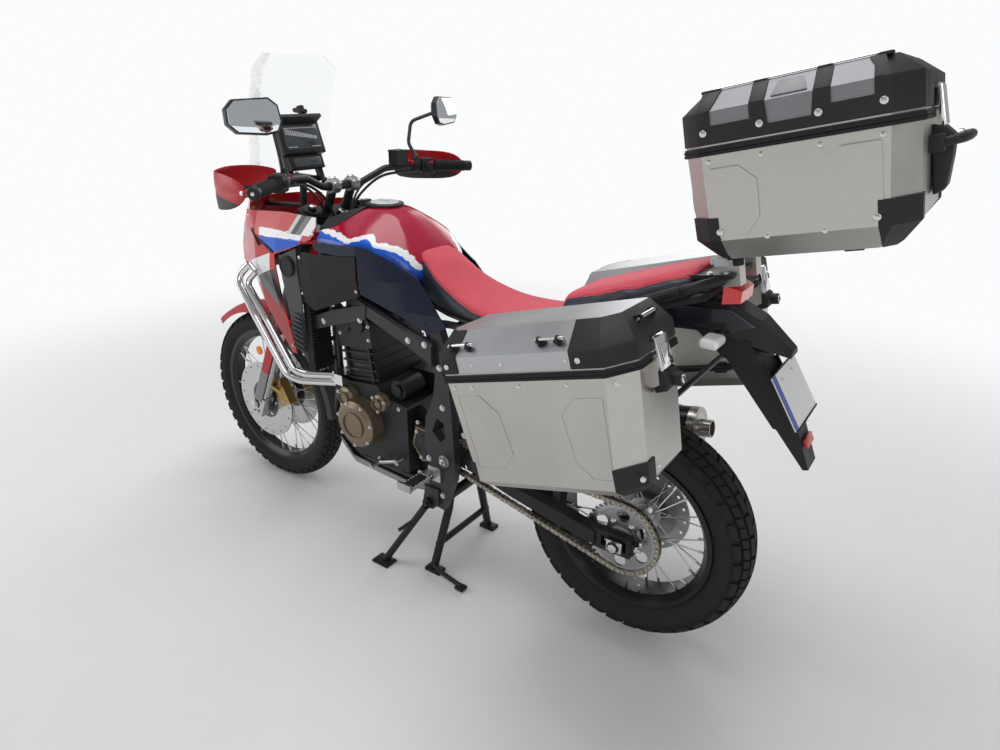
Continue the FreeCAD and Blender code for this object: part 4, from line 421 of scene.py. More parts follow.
def apply(piece, kind, **values):
    """Adds a modifier, sets it and applies it."""
    only(piece)
    added = piece.modifiers.new(kind.lower(), kind)
    for name, value in values.items():
        setattr(added, name, value)
    bpy.ops.object.modifier_apply(modifier=added.name)
    return piece


def soften(piece, width, steps=2, angle=30):
    return apply(piece, "BEVEL", width=mm(width), segments=steps, limit_method="ANGLE",
                 angle_limit=math.radians(angle), harden_normals=False)


def rounder(piece, levels=1):
    return apply(piece, "SUBSURF", levels=levels, render_levels=levels)


# %% [markdown]
# A bike is full of blocks, bars, pins and bolt heads. Each starts as a cube or a cone and gets
# its edges bevelled, because no real edge is sharp. The same bolt is used many times, so it is
# modelled once and its mesh is copied to every place.

# %% Blocks and bars
MASTERS = {}


def repeated(key, build, move):
    """A shape that is used many times is modelled once; each use is a moved copy of its mesh."""
    if key not in MASTERS:
        first = build()
        MASTERS[key] = first.data
        first.data.use_fake_user = True
        bpy.data.objects.remove(first)
    data = MASTERS[key].copy()
    data.transform(move)
    piece = bpy.data.objects.new("part", data)
    scene.collection.objects.link(piece)
    return piece


def slab(low, high, edge=0, steps=2):
    """A block between two corners, with rounded edges."""
    low, high = at(*low), at(*high)
    wide = high - low

    def build():
        deselect()
        bpy.ops.mesh.primitive_cube_add(size=1, location=(0, 0, 0), scale=wide)
        piece = settle()
        return soften(piece, edge, steps) if edge else piece
    key = ("slab", edge, steps) + tuple(round(value, 6) for value in wide)
    return repeated(key, build, Matrix.Translation((low + high) / 2))


def drum(start, end, radius, sides=32, edge=0, steps=2, tip=None):
    """A round bar or a cone from one place to another."""
    start, end = at(*start), at(*end)
    along = end - start

    def build():
        deselect()
        end_radius = radius if tip is None else tip
        bpy.ops.mesh.primitive_cone_add(vertices=sides, radius1=mm(radius), radius2=mm(end_radius),
                                        depth=along.length, location=(0, 0, 0))
        piece = settle()
        return soften(piece, edge, steps) if edge else piece
    key = ("drum", round(along.length, 6), radius, sides, edge, steps, tip)
    turn = along.to_track_quat("Z", "Y").to_matrix().to_4x4()
    return repeated(key, build, Matrix.Translation((start + end) / 2) @ turn)


# %% [markdown]
# Plates are cut from sheet: an outline, filled and extruded. Bent sheets and shells are a grid
# whose corners are moved to rows of places, as one would lay panels on a row of frames.

# %% Plates and skins
def outlined(corners, thickness, edge=0, steps=2):
    """A plate: a circle's corners are moved to the outline, filled and extruded along a vector."""
    deselect()
    bpy.ops.mesh.primitive_circle_add(vertices=len(corners), fill_type="NGON")
    piece = bpy.context.object
    for corner, place in zip(piece.data.vertices, corners):
        corner.co = at(*place)
    reach = Vector(thickness) / 1000
    bpy.ops.object.mode_set(mode="EDIT")
    bpy.ops.mesh.select_all(action="SELECT")
    bpy.ops.mesh.extrude_region_move(TRANSFORM_OT_translate={"value": reach})
    bpy.ops.mesh.select_all(action="SELECT")
    bpy.ops.mesh.normals_make_consistent(inside=False)
    bpy.ops.object.mode_set(mode="OBJECT")
    return soften(piece, edge, steps) if edge else piece


def side_cut(outline, y_from, y_to, edge=0, steps=2):
    """A plate whose outline is seen from the side."""
    return outlined([(x, y_from, z) for x, z in outline], (0, y_to - y_from, 0), edge, steps)


def skin(rows, closed=False, caps=False):
    """A grid whose rows of corners are moved to the given places; closed joins each row to a ring."""
    deselect()
    count = len(rows[0]) + (1 if closed else 0)
    bpy.ops.mesh.primitive_grid_add(x_subdivisions=count - 1, y_subdivisions=len(rows) - 1, size=2)
    piece = bpy.context.object
    order = sorted(piece.data.vertices, key=lambda v: (round(v.co.y, 4), round(v.co.x, 4)))
    places = [place for row in rows for place in (list(row) + ([row[0]] if closed else []))]
    for corner, place in zip(order, places):
        corner.co = at(*place)
    bpy.ops.object.mode_set(mode="EDIT")
    bpy.ops.mesh.select_all(action="SELECT")
    if closed:
        bpy.ops.mesh.remove_doubles(threshold=0.00002)
    if caps:
        bpy.ops.mesh.select_all(action="DESELECT")
        bpy.ops.mesh.select_mode(type="EDGE")
        bpy.ops.mesh.select_non_manifold(extend=False)
        bpy.ops.mesh.edge_face_add()
        bpy.ops.mesh.select_mode(type="VERT")
    bpy.ops.mesh.select_all(action="SELECT")
    bpy.ops.mesh.normals_make_consistent(inside=False)
    bpy.ops.object.mode_set(mode="OBJECT")
    return piece


# %% [markdown]
# Round castings, rings and tyres are turned, so their section is spun about an axis. Hoses and
# handles follow a smooth curve with a round section, which is then made a mesh.

# %% Turned parts and pipes
def turned(profile, centre, steps=96, axis=(0, 1, 0)):
    """Spins a closed profile of (radius, along) corners about an axis through centre."""
    deselect()
    bpy.ops.mesh.primitive_circle_add(vertices=len(profile), fill_type="NOTHING")
    piece = bpy.context.object
    along = Vector(axis).normalized()
    out = along.orthogonal().normalized() if abs(along.y) < 0.9 else Vector((1, 0, 0))
    hub = at(*centre)
    for corner, (radius, shift) in zip(piece.data.vertices, profile):
        corner.co = hub + out * mm(radius) + along * mm(shift)
    bpy.ops.object.mode_set(mode="EDIT")
    bpy.ops.mesh.select_all(action="SELECT")
    bpy.ops.mesh.spin(steps=steps, angle=2 * math.pi, center=hub, axis=along)
    bpy.ops.mesh.select_all(action="SELECT")
    bpy.ops.mesh.remove_doubles(threshold=0.00002)
    bpy.ops.mesh.normals_make_consistent(inside=False)
    bpy.ops.object.mode_set(mode="OBJECT")
    return piece


def pipe(points, radius, steps=3):
    """A hose or bar on a smooth curve near its points, made a mesh."""
    deselect()
    bpy.ops.curve.primitive_nurbs_path_add()
    piece = bpy.context.object
    curve = piece.data
    curve.splines.clear()
    spline = curve.splines.new("NURBS")
    spline.points.add(len(points) - 1)
    for corner, place in zip(spline.points, points):
        corner.co = (*at(*place), 1)
    spline.order_u = 3
    spline.use_endpoint_u = True
    curve.dimensions = "3D"
    curve.resolution_u = 6
    curve.bevel_depth = mm(radius)
    curve.bevel_resolution = steps
    curve.use_fill_caps = True
    piece.location = (0, 0, 0)
    bpy.ops.object.convert(target="MESH")
    return settle()


# %% [markdown]
# Most of the bike is the same on both sides, so a piece is made on the left and its mesh is
# mirrored. A mirror turns a mesh inside out, and so its faces are flipped back.

# %% Copies, twins and joining
def copied(piece, move):
    """A copy with its own mesh, moved by a matrix."""
    twin = piece.copy()
    twin.data = piece.data.copy()
    scene.collection.objects.link(twin)
    twin.data.transform(move)
    if move.determinant() < 0:
        twin.data.flip_normals()
    return twin


MIRROR = Matrix.Scale(-1, 4, (0, 1, 0))


def crossed(piece):
    """Moves a piece to the other side."""
    piece.data.transform(MIRROR)
    piece.data.flip_normals()
    return piece


def both(*pieces):
    """The pieces and their twins on the other side."""
    return list(pieces) + [copied(piece, MIRROR) for piece in pieces]


def turned_about(centre, axis, degrees):
    """The turn about an axis through a place."""
    middle = Matrix.Translation(at(*centre))
    return middle @ Matrix.Rotation(math.radians(degrees), 4, Vector(axis)) @ middle.inverted()


def joined(pieces):
    """One object of several; the first one is kept."""
    pieces = list(pieces)
    if len(pieces) == 1:
        return pieces[0]
    deselect()
    for piece in pieces:
        piece.select_set(True)
    bpy.context.view_layer.objects.active = pieces[0]
    bpy.ops.object.join()
    return bpy.context.object


# %% [markdown]
# A finished piece gets its name, smooth shading with sharp edges kept, its finish and the body
# that it rides on, so that it turns with the right joint. The slot is the finish that the record
# knows it by.

# %% Finished pieces
# The record's slot of a finish, where it isn't called the same.
SLOT_OF = {"bright_bolt": "steel", "engine_grey": "steel", "soft_rubber": "black_plastic",
           "grey_plastic": "black_plastic"}


def done(piece, name, body, finish_name, slot=None, smooth=35, replaces=()):
    """Names a finished piece, gives it its finish and lets it ride on its body."""
    if isinstance(piece, (list, tuple)):
        piece = joined(piece)
    only(piece)
    piece.name = name
    piece.data.name = name
    bpy.ops.object.shade_smooth_by_angle(angle=math.radians(smooth))
    piece.data.materials.clear()
    piece.data.materials.append(FINISHES[finish_name])
    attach(piece, body)
    slot = slot or SLOT_OF.get(finish_name, finish_name)
    if replaces:
        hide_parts(*replaces)
    print(name, "on", body + ",", sum(len(face.vertices) - 2 for face in piece.data.polygons), "triangles")
    return piece


def pair(pieces, name, bodies, finish_name, slot=None, smooth=35, replaces=()):
    """A finished piece on the left and its twin on the right."""
    left = joined(pieces) if isinstance(pieces, (list, tuple)) else pieces
    twin = copied(left, MIRROR)
    left_nodes = [name_of for name_of in replaces if "right" not in name_of]
    right_nodes = [name_of for name_of in replaces if "right" in name_of]
    done(left, "left_" + name, bodies[0], finish_name, slot, smooth, left_nodes)
    done(twin, "right_" + name, bodies[-1], finish_name, slot, smooth, right_nodes)
    return left, twin


# %% [markdown]
# The cases, the displays and the plate stand at a slope. Their parts are far easier to place
# level, so a matrix moves each finished set to its slope. Rivets and bolts stand on any face,
# given the direction that the face looks in.

# %% Sloping frames, rivets and bolts
def sloped_frame(x, z, tilt):
    """The frame of a case: pieces are made level at the rear axle's datum and then moved by this."""
    return Matrix.Translation(at(x, 0, z)) @ Matrix.Rotation(tilt, 4, "Y") @ Matrix.Translation(-at(0, 0, 0))


def into(frame_matrix, pieces):
    """Moves level pieces to their slope."""
    for piece in pieces:
        piece.data.transform(frame_matrix)
    return pieces


def dome(place, out, radius, height, sides=16):
    """A low round rivet or bolt head on a face whose outward direction is given."""
    out = Vector(out).normalized()
    start = Vector(place) - out * 0.5
    return drum(start, Vector(place) + out * height, radius, sides, height * 0.45, 2, radius * 0.86)


def hex_bolt(place, out, radius, height):
    out = Vector(out).normalized()
    washer = drum(Vector(place) - out * 0.5, Vector(place) + out * height * 0.35, radius * 1.35, 20, 0.4, 1)
    head = drum(Vector(place), Vector(place) + out * height, radius, 6, 0.7, 2)
    return joined([washer, head])


# %% [markdown]
# The tyres are what one sees first from behind. A tyre is a turned carcass with tread blocks on
# its crown. The blocks could be a bump pattern, but on a tyre with such deep grooves they show
# in the outline, so they are real. One pitch of the tread is modelled: a small grid laid on the
# crown, whose block faces are extruded outwards and drawn in a little. It is then copied round.

# %% Tyres
# Height above the rim and half width, as shares, from the crown's middle to the bead.
CROWN = [(1.0, 0.0), (0.992, 0.16), (0.968, 0.34), (0.925, 0.52), (0.86, 0.69), (0.775, 0.84),
         (0.67, 0.95), (0.54, 1.0), (0.40, 0.985), (0.26, 0.92), (0.12, 0.80), (0.03, 0.70), (0.0, 0.66)]
WALL = 9


def crown_place(radius, rim_radius, half_width, share):
    """A place on the tyre's section: share runs from -1, one bead, over the crown to 1."""
    side = 1 if share >= 0 else -1
    position = abs(share) * (len(CROWN) - 1)
    low = min(int(position), len(CROWN) - 2)
    part = position - low
    up = CROWN[low][0] + (CROWN[low + 1][0] - CROWN[low][0]) * part
    out = CROWN[low][1] + (CROWN[low + 1][1] - CROWN[low][1]) * part
    return rim_radius + (radius - rim_radius) * up, side * half_width * out


def carcass(centre, radius, rim_radius, half_width, groove):
    """The tyre without its tread: an open shell that is spun round the axle."""
    shares = [index / 24 for index in range(-24, 25)]
    outside = [crown_place(radius - groove, rim_radius, half_width, share) for share in shares]
    inside = [(max(rim_radius - 2, r - WALL), y * 0.86) for r, y in outside[::4]]
    return turned(outside + inside[::-1], centre, 120)


def tread(centre, radius, rim_radius, half_width, groove, pitches, blocks):
    """One pitch of blocks, each (share from, share to, start, end, lean) on the crown."""
    hub = at(*centre)
    made = []
    step = 360 / pitches
    for share_from, share_to, begin, end, lean in blocks:
        for side in LEFT_RIGHT:
            rows = []
            across = [share_from + (share_to - share_from) * part / 3 for part in range(4)]
            for along in (begin, (begin + end) / 2, end):
                row = []
                for share in across:
                    r, y = crown_place(radius - groove, rim_radius, half_width, share)
                    angle = math.radians(step * (along + lean * share) + (step / 2 if side < 0 else 0))
                    row.append((centre[0] + r * math.sin(angle), side * y, centre[2] + r * math.cos(angle)))
                rows.append(row)
            made.append(skin(rows))
    pitch = joined(made)
    only(pitch)
    for face in pitch.data.polygons:
        middle = face.center - hub
        if face.normal.dot(Vector((middle.x, middle.y * 0.3, middle.z))) < 0:
            face.flip()
    bpy.ops.object.mode_set(mode="EDIT")
    bpy.ops.mesh.select_all(action="SELECT")
    bpy.ops.mesh.extrude_region_shrink_fatten(TRANSFORM_OT_shrink_fatten={"value": mm(groove + 0.6)})
    bpy.ops.object.mode_set(mode="OBJECT")
    return pitch


def round_the_wheel(pitch, centre, pitches):
    """The pitch and its copies, all the way round."""
    step = 360 / pitches
    turns = [turned_about(centre, (0, 1, 0), step * index) for index in range(1, pitches)]
    return joined([pitch] + [copied(pitch, turn) for turn in turns])


# Each block: from and to across the crown as shares, start and end along the pitch, and lean.
REAR_BLOCKS = [(0.012, 0.15, 0.06, 0.90, 0.6), (0.20, 0.335, -0.10, 0.34, 1.1),
               (0.20, 0.335, 0.44, 0.80, 1.1), (0.375, 0.50, 0.02, 0.74, 0.7)]
FRONT_BLOCKS = [(0.012, 0.14, 0.08, 0.86, 0.8), (0.18, 0.32, 0.02, 0.46, 1.2),
                (0.18, 0.32, 0.56, 0.92, 1.2), (0.365, 0.50, 0.10, 0.70, 0.8)]
# Name, axle, radius, rim radius, half width, groove depth, how many pitches, and their blocks.
TYRES = [
    ("rear", REAR_AXLE, 334, 241, 75, 7.0, 34, REAR_BLOCKS),
    ("front", FRONT_AXLE, 348, 279, 46, 5.0, 44, FRONT_BLOCKS),
]
for end, centre, radius, rim_radius, half_width, groove, pitches, blocks in TYRES:
    body = carcass(centre, radius, rim_radius, half_width, groove)
    pitch = tread(centre, radius, rim_radius, half_width, groove, pitches, blocks)
    grips = round_the_wheel(pitch, centre, pitches)
    done([body, grips], end + "_tyre_with_tread", end + "_wheel", "tyre_rubber", smooth=40,
         replaces=[end + "_tyre"])

# %% [markdown]
# The cases are folded aluminium boxes with moulded corners. The CAD shells are right, so they
# stay, and the things screwed and pressed on them are added: a ribbed seal below each lid,
# rivets, raised outlines in the side sheets, corner caps, lashing loops and the latch with its
# lock. They are made level, in the case's own frame, and then moved to its slope.

# %% Side case: seal, rivets and raised outlines
CASE_FRAME = sloped_frame(99, 962, CASE_TILT)
# Half length, inner and outer side, outer bevel; depth below the lid, the lid's band and height.
HALF, INNER, OUTER, CORNER = 253, 250, 480, 50
DEPTH, LID_BAND, LID_HEIGHT = 282, 38, 88


def plan(z, half, inner, outer, inner_bevel, outer_bevel, grow=0):
    """One level of a case as eight corners, grown outwards all round."""
    half, inner, outer = half + grow, inner - grow, outer + grow
    a, b = inner_bevel + 0.4 * grow, outer_bevel + 0.4 * grow
    return [(half - a, inner, z), (half, inner + a, z), (half, outer - b, z), (half - b, outer, z),
            (b - half, outer, z), (-half, outer - b, z), (-half, inner + a, z), (a - half, inner, z)]


def seal(shape, z_low, ridges, thick):
    """A rubber seal round a case: its section is a row of ridges."""
    rows = [plan(z_low, *shape, 0.4)]
    for index in range(ridges):
        base = z_low + 0.5 + index * 7
        rows += [plan(base, *shape, thick), plan(base + 5, *shape, thick),
                 plan(base + 5.8, *shape, thick * 0.45)]
    rows.append(plan(base + 6.6, *shape, 0.4))
    return skin(rows, closed=True)


def raised_outline(corners, out, ridge=2.4, height=1.0):
    """A sheet pressed outwards along a line: a thin plate whose middle is inset and pushed back."""
    plate = outlined(corners, [part * height for part in out])
    top = max(plate.data.polygons, key=lambda face: face.center.dot(Vector(out)))
    only(plate)
    index = top.index
    bpy.ops.object.mode_set(mode="EDIT")
    bpy.ops.mesh.select_all(action="DESELECT")
    bpy.ops.object.mode_set(mode="OBJECT")
    plate.data.polygons[index].select = True
    bpy.ops.object.mode_set(mode="EDIT")
    bpy.ops.mesh.inset(thickness=mm(ridge), depth=0)
    bpy.ops.mesh.inset(thickness=mm(0.6), depth=-mm(height + 0.6))
    bpy.ops.object.mode_set(mode="OBJECT")
    return plate


side_shape = (HALF, INNER, OUTER, 6, CORNER)
side_seal = seal(side_shape, -19.5, 2, 5)
pair(into(CASE_FRAME, [side_seal]), "case_seal", ["chassis"], "soft_rubber", smooth=25)

marks = []
for x in (-236, -118, 8, 142, 196):
    marks.append(dome((x * 0.95, OUTER, -34), (0, 1, 0), 5.5, 1.6))
for x in (-120, 40, 120):
    marks.append(dome((x, OUTER + 0.2, 17), (0, 1, 0), 4.5, 1.6))
pair(into(CASE_FRAME, marks[:5]), "case_rivets", ["chassis"], "bright_bolt", "aluminium")
pair(into(CASE_FRAME, marks[5:]), "lid_rivets", ["left_lid", "right_lid"], "bright_bolt", "aluminium")

FRONT_OUTLINE = [(182, -52), (120, -52), (76, -92), (60, -190), (96, -226), (168, -226)]
REAR_OUTLINE = [(-188, -60), (-120, -60), (-84, -92), (-96, -200), (-132, -238), (-178, -238)]
lines = [raised_outline([(x, OUTER + 0.1, z) for x, z in outline], (0, 1, 0))
         for outline in (FRONT_OUTLINE, REAR_OUTLINE)]
pair(into(CASE_FRAME, lines), "case_outlines", ["chassis"], "aluminium")

# %% [markdown]
# The lid's corners are capped in grained plastic. Each cap is a patch of the lid's own surface,
# laid a little outside it and given thickness with Solidify, so that it fits by construction.

# %% Side case: lid caps and corner bolts
LID_LEVELS = [(1.0, HALF, INNER, OUTER, 6, CORNER), (LID_BAND, HALF, INNER, OUTER, 6, CORNER),
              (LID_HEIGHT, HALF - 38, INNER + 14, OUTER - 55, 6, CORNER - 20)]


def between(low, high, share):
    return tuple(a + (b - a) * share for a, b in zip(low, high))


def lid_patch(levels, first, last, reach_first, reach_last, grow):
    """A cap round a lid's corner: from corner number first to last of the plan, with both ends drawn out."""
    rows = []
    rings = [plan(*level, grow) for level in levels]
    for level_index, ring in enumerate(rings):
        start = between(ring[first], ring[first - 1], reach_first[level_index])
        end = between(ring[last], ring[(last + 1) % 8], reach_last[level_index])
        rows.append([start] + [ring[index] for index in range(first, last + 1)] + [end])
    cap = skin(rows)
    apply(cap, "SOLIDIFY", thickness=mm(2.4), offset=0)
    return soften(cap, 1.2, 2, 25)


rear_cap = lid_patch(LID_LEVELS, 4, 6, (0.18, 0.18, 0.15), (0.5, 0.5, 0.5), 2.0)
front_cap = lid_patch(LID_LEVELS, 2, 3, (0.5, 0.5, 0.5), (0.10, 0.10, 0.08), 2.0)
pair(into(CASE_FRAME, [rear_cap, front_cap]), "lid_caps", ["left_lid", "right_lid"], "black_plastic")
bolts = [dome((x, OUTER + 3, z), (0, 1, 0), 7, 2.4) for x, z in ((-150, 18), (192, 18))]
pair(into(CASE_FRAME, bolts), "lid_cap_bolts", ["left_lid", "right_lid"], "bright_bolt", "aluminium")
bolts = [dome((side * 230, OUTER - 23.5, -DEPTH + 42), (side, 1, 0), 7, 2.4) for side in LEFT_RIGHT]
bolts.append(dome((-HALF + 9, OUTER - 72, -DEPTH + 52), (-1, 0, 0.08), 7, 2.4))
pair(into(CASE_FRAME, bolts), "case_cap_bolts", ["chassis"], "bright_bolt", "aluminium")


# %% [markdown]
# A lashing loop is a steel bar between two forked plastic feet. One foot is cut from a plate,
# its edges are rounded, and the set is copied along the lid's sloping side.

# %% Lashing loops
def lashing_loop(middle, along, out, length):
    """The bar lies along the lid at middle; its two feet stand on the lid's face."""
    along, out = Vector(along).normalized(), Vector(out).normalized()
    middle = Vector(middle)
    rise = out * 13
    bar = drum(middle - along * (length / 2) + rise, middle + along * (length / 2) + rise, 3.6, 14)
    across = along.cross(out).normalized()
    feet = []
    for end in LEFT_RIGHT:
        base = middle + along * (end * length / 2)
        corners = [base - across * 11 - out * 1, base + across * 13 - out * 1,
                   base + across * 5 + rise * 1.3, base - across * 5 + rise * 1.3]
        feet.append(outlined(corners, along * (-end * 7), 1.6))
        toe = base - along * (end * 17)
        corners = [toe - across * 4, toe + across * 4, base + across * 9, base - across * 7]
        feet.append(outlined([place - out * 1 for place in corners], out * 6, 1.2))
    return bar, joined(feet)


SLOPE_OUT = Vector((0, LID_HEIGHT - LID_BAND, 55)).normalized()
bars, feet = [], []
for x in (-84, 150):
    bar, foot = lashing_loop((x, OUTER - 16, LID_BAND + 16.5), (1, 0, 0), SLOPE_OUT, 52)
    bars.append(bar)
    feet.append(foot)
for x, end in ((232, 1), (-234, -1)):
    out = Vector((end * (LID_HEIGHT - LID_BAND), 0, 38)).normalized()
    bar, foot = lashing_loop((x, INNER + 92, LID_BAND + 26), (0, 1, 0), out, 74)
    bars.append(bar)
    feet.append(foot)
pair(into(CASE_FRAME, bars), "lid_bars", ["left_lid", "right_lid"], "polished_steel")
pair(into(CASE_FRAME, feet), "lid_loop_feet", ["left_lid", "right_lid"], "black_plastic")

# %% [markdown]
# The latch stands on the case's rear face. A bent chrome lever hooks over the lid's edge, and a
# lock barrel in a black housing holds it. The lever is one plate: its outline is extruded across
# and its edges are rounded, which gives the long highlights of pressed metal.

# %% Side case latch
LATCH_Y = 350
lever = side_cut([(-262, 30), (-268, 26), (-274, -40), (-270, -44), (-266, -40), (-261, 20), (-254, 24)],
                 LATCH_Y - 27, LATCH_Y + 27, 1.2)
window = side_cut([(-270.5, 8), (-272.5, 8), (-276, -30), (-274, -30)], LATCH_Y - 16, LATCH_Y + 16, 0.8)
ears = [slab((-268, LATCH_Y + side * 24 - 3, -34), (-252, LATCH_Y + side * 24 + 3, 20), 1.5)
        for side in LEFT_RIGHT]
hook = slab((-258, LATCH_Y - 22, 24), (-246, LATCH_Y + 22, 34), 2.5)
pair(into(CASE_FRAME, [lever, window] + ears), "latch_lever", ["chassis"], "polished_steel")
pair(into(CASE_FRAME, [hook]), "lid_hook", ["left_lid", "right_lid"], "black_plastic")
housing = side_cut([(-250, -36), (-276, -44), (-284, -62), (-276, -84), (-248, -88)],
                   LATCH_Y - 30, LATCH_Y + 30, 5, 3)
barrel = drum((-276, LATCH_Y, -64), (-300, LATCH_Y, -66), 15, 28, 2.5)
face = drum((-298, LATCH_Y, -66), (-302, LATCH_Y, -66), 10, 28, 0.8)
slot_mark = slab((-303.2, LATCH_Y - 1.3, -71), (-301, LATCH_Y + 1.3, -61))
pair(into(CASE_FRAME, [housing, barrel]), "latch_housing", ["chassis"], "black_plastic")
pair(into(CASE_FRAME, [face]), "latch_lock", ["chassis"], "bright_bolt")
pair(into(CASE_FRAME, [slot_mark]), "latch_keyway", ["chassis"], "black_metal")

# %% [markdown]
# The top case has more plastic: a black frame runs round its lid, with three silver windows on
# each side and chrome bars above them. The frame is made of flat bevelled plates that follow the
# lid's band and slope, because the real moulding is made of flat facets too.

# %% Top case lid
BOX_FRAME = sloped_frame(-300, 1440, BOX_TILT)
# Half length, half width, corner bevel; depth below the lid, the lid's band and height.
BOX_HALF, BOX_WIDE, BOX_CORNER = 205, 222, 42
BOX_DEPTH, BOX_BAND, BOX_RISE = 229, 60, 95
BOX_LEVELS = [(1.0, BOX_HALF, -BOX_WIDE, BOX_WIDE, BOX_CORNER, BOX_CORNER),
              (BOX_BAND, BOX_HALF, -BOX_WIDE, BOX_WIDE, BOX_CORNER, BOX_CORNER),
              (BOX_RISE, BOX_HALF - 40, -BOX_WIDE + 40, BOX_WIDE - 40, BOX_CORNER - 14, BOX_CORNER - 14)]
PLATE_THICK = 3.0
band_high = 34
edge_x = BOX_HALF - BOX_CORNER
plates = []
# The band along each side, with a dip in its middle, and four posts up to the roof's edge.
reach_x = edge_x + 2
side_band = [(-reach_x, 0.6), (-reach_x, BOX_BAND), (26 - reach_x, BOX_BAND), (26 - reach_x, band_high),
             (-72, band_high), (-72, BOX_BAND), (-44, BOX_BAND), (-40, 20),
             (34, 20), (38, BOX_BAND), (66, BOX_BAND), (66, band_high),
             (reach_x - 26, band_high), (reach_x - 26, BOX_BAND), (reach_x, BOX_BAND), (reach_x, 0.6)]
plates.append(outlined([(x, BOX_WIDE + 0.3, z) for x, z in side_band], (0, PLATE_THICK, 0), 1.0))
for x_from, x_to in ((-reach_x, 26 - reach_x), (-72, -44), (38, 66), (reach_x - 26, reach_x)):
    inward = 0 if abs(x_from) < 100 and abs(x_to) < 100 else (14 if x_from < 0 else -14)
    plates.append(outlined([(x_from, BOX_WIDE + 0.2, BOX_BAND - 1),
                            (x_to, BOX_WIDE + 0.2, BOX_BAND - 1),
                            (x_to + inward * 0.3, BOX_WIDE - 42, BOX_RISE + 1),
                            (x_from + inward, BOX_WIDE - 42, BOX_RISE + 1)],
                           (0, PLATE_THICK * 0.66, PLATE_THICK * 0.75), 1.0))
    plates.append(slab((min(x_from, x_from + inward) + 2, BOX_WIDE - 56, BOX_RISE - 1),
                       (x_to, BOX_WIDE - 38, BOX_RISE + 5), 2))
lid_frame = joined(plates)
roof_ends = [lid_patch(BOX_LEVELS, 0, 3, (0.04,) * 3, (0.04,) * 3, 1.8),
             lid_patch(BOX_LEVELS, 4, 7, (0.04,) * 3, (0.04,) * 3, 1.8)]
done(into(BOX_FRAME, both(lid_frame)), "top_lid_frame", "top_lid", "black_plastic")
done(into(BOX_FRAME, roof_ends), "top_lid_ends", "top_lid", "black_plastic")

# A plain trapezoid plate lies in the middle window of each side.
slope_out = Vector((0, BOX_RISE - BOX_BAND, 40)).normalized()
corners = [(-34, 217, 64), (28, 217, 64), (18, 190, 88), (-24, 190, 88)]
plate = outlined([Vector(corner) + slope_out * 0.6 for corner in corners], slope_out * 2.2, 0.8)
done(into(BOX_FRAME, both(plate)), "top_lid_plates", "top_lid", "hand_grey", "aluminium")
rod_y, rod_z = BOX_WIDE - 45, BOX_RISE + 3
rods = [drum((x_from, rod_y, rod_z), (x_to, rod_y, rod_z), 4.2, 16)
        for x_from, x_to in ((-edge_x + 22, -70), (-46, 40), (64, edge_x - 22))]
done(into(BOX_FRAME, both(*rods)), "top_lid_bars", "top_lid", "polished_steel")
studs = [dome((x, BOX_WIDE + 3, 22), (0, 1, 0), 7.5, 2.2) for x in (-edge_x + 10, -52, 48, edge_x - 10)]
done(into(BOX_FRAME, both(*studs)), "top_lid_studs", "top_lid", "bright_bolt", "aluminium")

# %% [markdown]
# Below the lid the top case repeats the side cases' details on both of its sides: seal, rivets,
# raised outlines and bolts in the corner guards.

# %% Top case body
box_shape = (BOX_HALF, -BOX_WIDE, BOX_WIDE, BOX_CORNER, BOX_CORNER)
done(into(BOX_FRAME, [seal(box_shape, -19.5, 2, 5)]), "top_case_seal", "chassis", "soft_rubber", smooth=25)
BOX_FRONT = [(150, -46), (92, -46), (60, -74), (60, -144), (88, -178), (146, -178)]
BOX_REAR = [(-148, -40), (-82, -40), (-52, -66), (-52, -140), (-82, -172), (-148, -172)]
# The sides draw in by this share of the depth.
side_lean = 8 / (BOX_DEPTH - 44)
marks = [dome((x, BOX_WIDE + z * side_lean, z), (0, 1, 0), 5.5, 1.6)
         for x, z in ((-150, -32), (-52, -32), (50, -32), (148, -32), (-52, -184), (50, -184))]
done(into(BOX_FRAME, both(*marks)), "top_case_rivets", "chassis", "bright_bolt", "aluminium")
lines = [raised_outline([(x, BOX_WIDE + z * side_lean + 0.6, z) for x, z in outline], (0, 1, 0), 2.2, 1.4)
         for outline in (BOX_FRONT, BOX_REAR)]
done(into(BOX_FRAME, both(*lines)), "top_case_outlines", "chassis", "box_aluminium", "aluminium")
bolts = [dome((x, BOX_WIDE - 4, -168), (0, 1, 0), 7.5, 2.4) for x in (-138, 138)]
done(into(BOX_FRAME, both(*bolts)), "top_case_bolts", "chassis", "bright_bolt", "aluminium")

# %% [markdown]
# The top case's latch is a chrome lever in a tall black housing, with a bail of round bar that
# serves as the handle.

# %% Top case latch and handle
lever = side_cut([(-214, 40), (-220, 36), (-226, -34), (-222, -40), (-217, -34), (-212, 30), (-206, 34)],
                 -38, 38, 1.2)
housing = side_cut([(-202, -30), (-224, -38), (-240, -56), (-236, -92), (-226, -150), (-204, -160)],
                   -44, 44, 6, 3)
grip = pipe([(-222, -84, -64), (-252, -84, -62), (-262, -40, -60),
             (-262, 40, -60), (-252, 84, -62), (-222, 84, -64)], 9, 3)
grip_feet = [slab((-228, side * 84 - 12, -80), (-200, side * 84 + 12, -48), 4) for side in LEFT_RIGHT]
lock = drum((-238, 0, -58), (-250, 0, -60), 12, 28, 1.5)
done(into(BOX_FRAME, [lever]), "top_latch_lever", "chassis", "polished_steel")
done(into(BOX_FRAME, [housing, grip] + grip_feet), "top_latch_housing", "chassis", "black_plastic")
done(into(BOX_FRAME, [lock]), "top_latch_lock", "chassis", "bright_bolt")

# %% [markdown]
# Both seats are foam under a stretched cover: a suede-like red top and dark, smooth sides that
# meet it in a sewn seam. Each is a closed form from a row of rings, with a crown across and
# sides that pull in. It is remeshed, a short Cloth run with pressure swells it, and the swelling
# is held to a few millimetres, because real seat foam is firm.

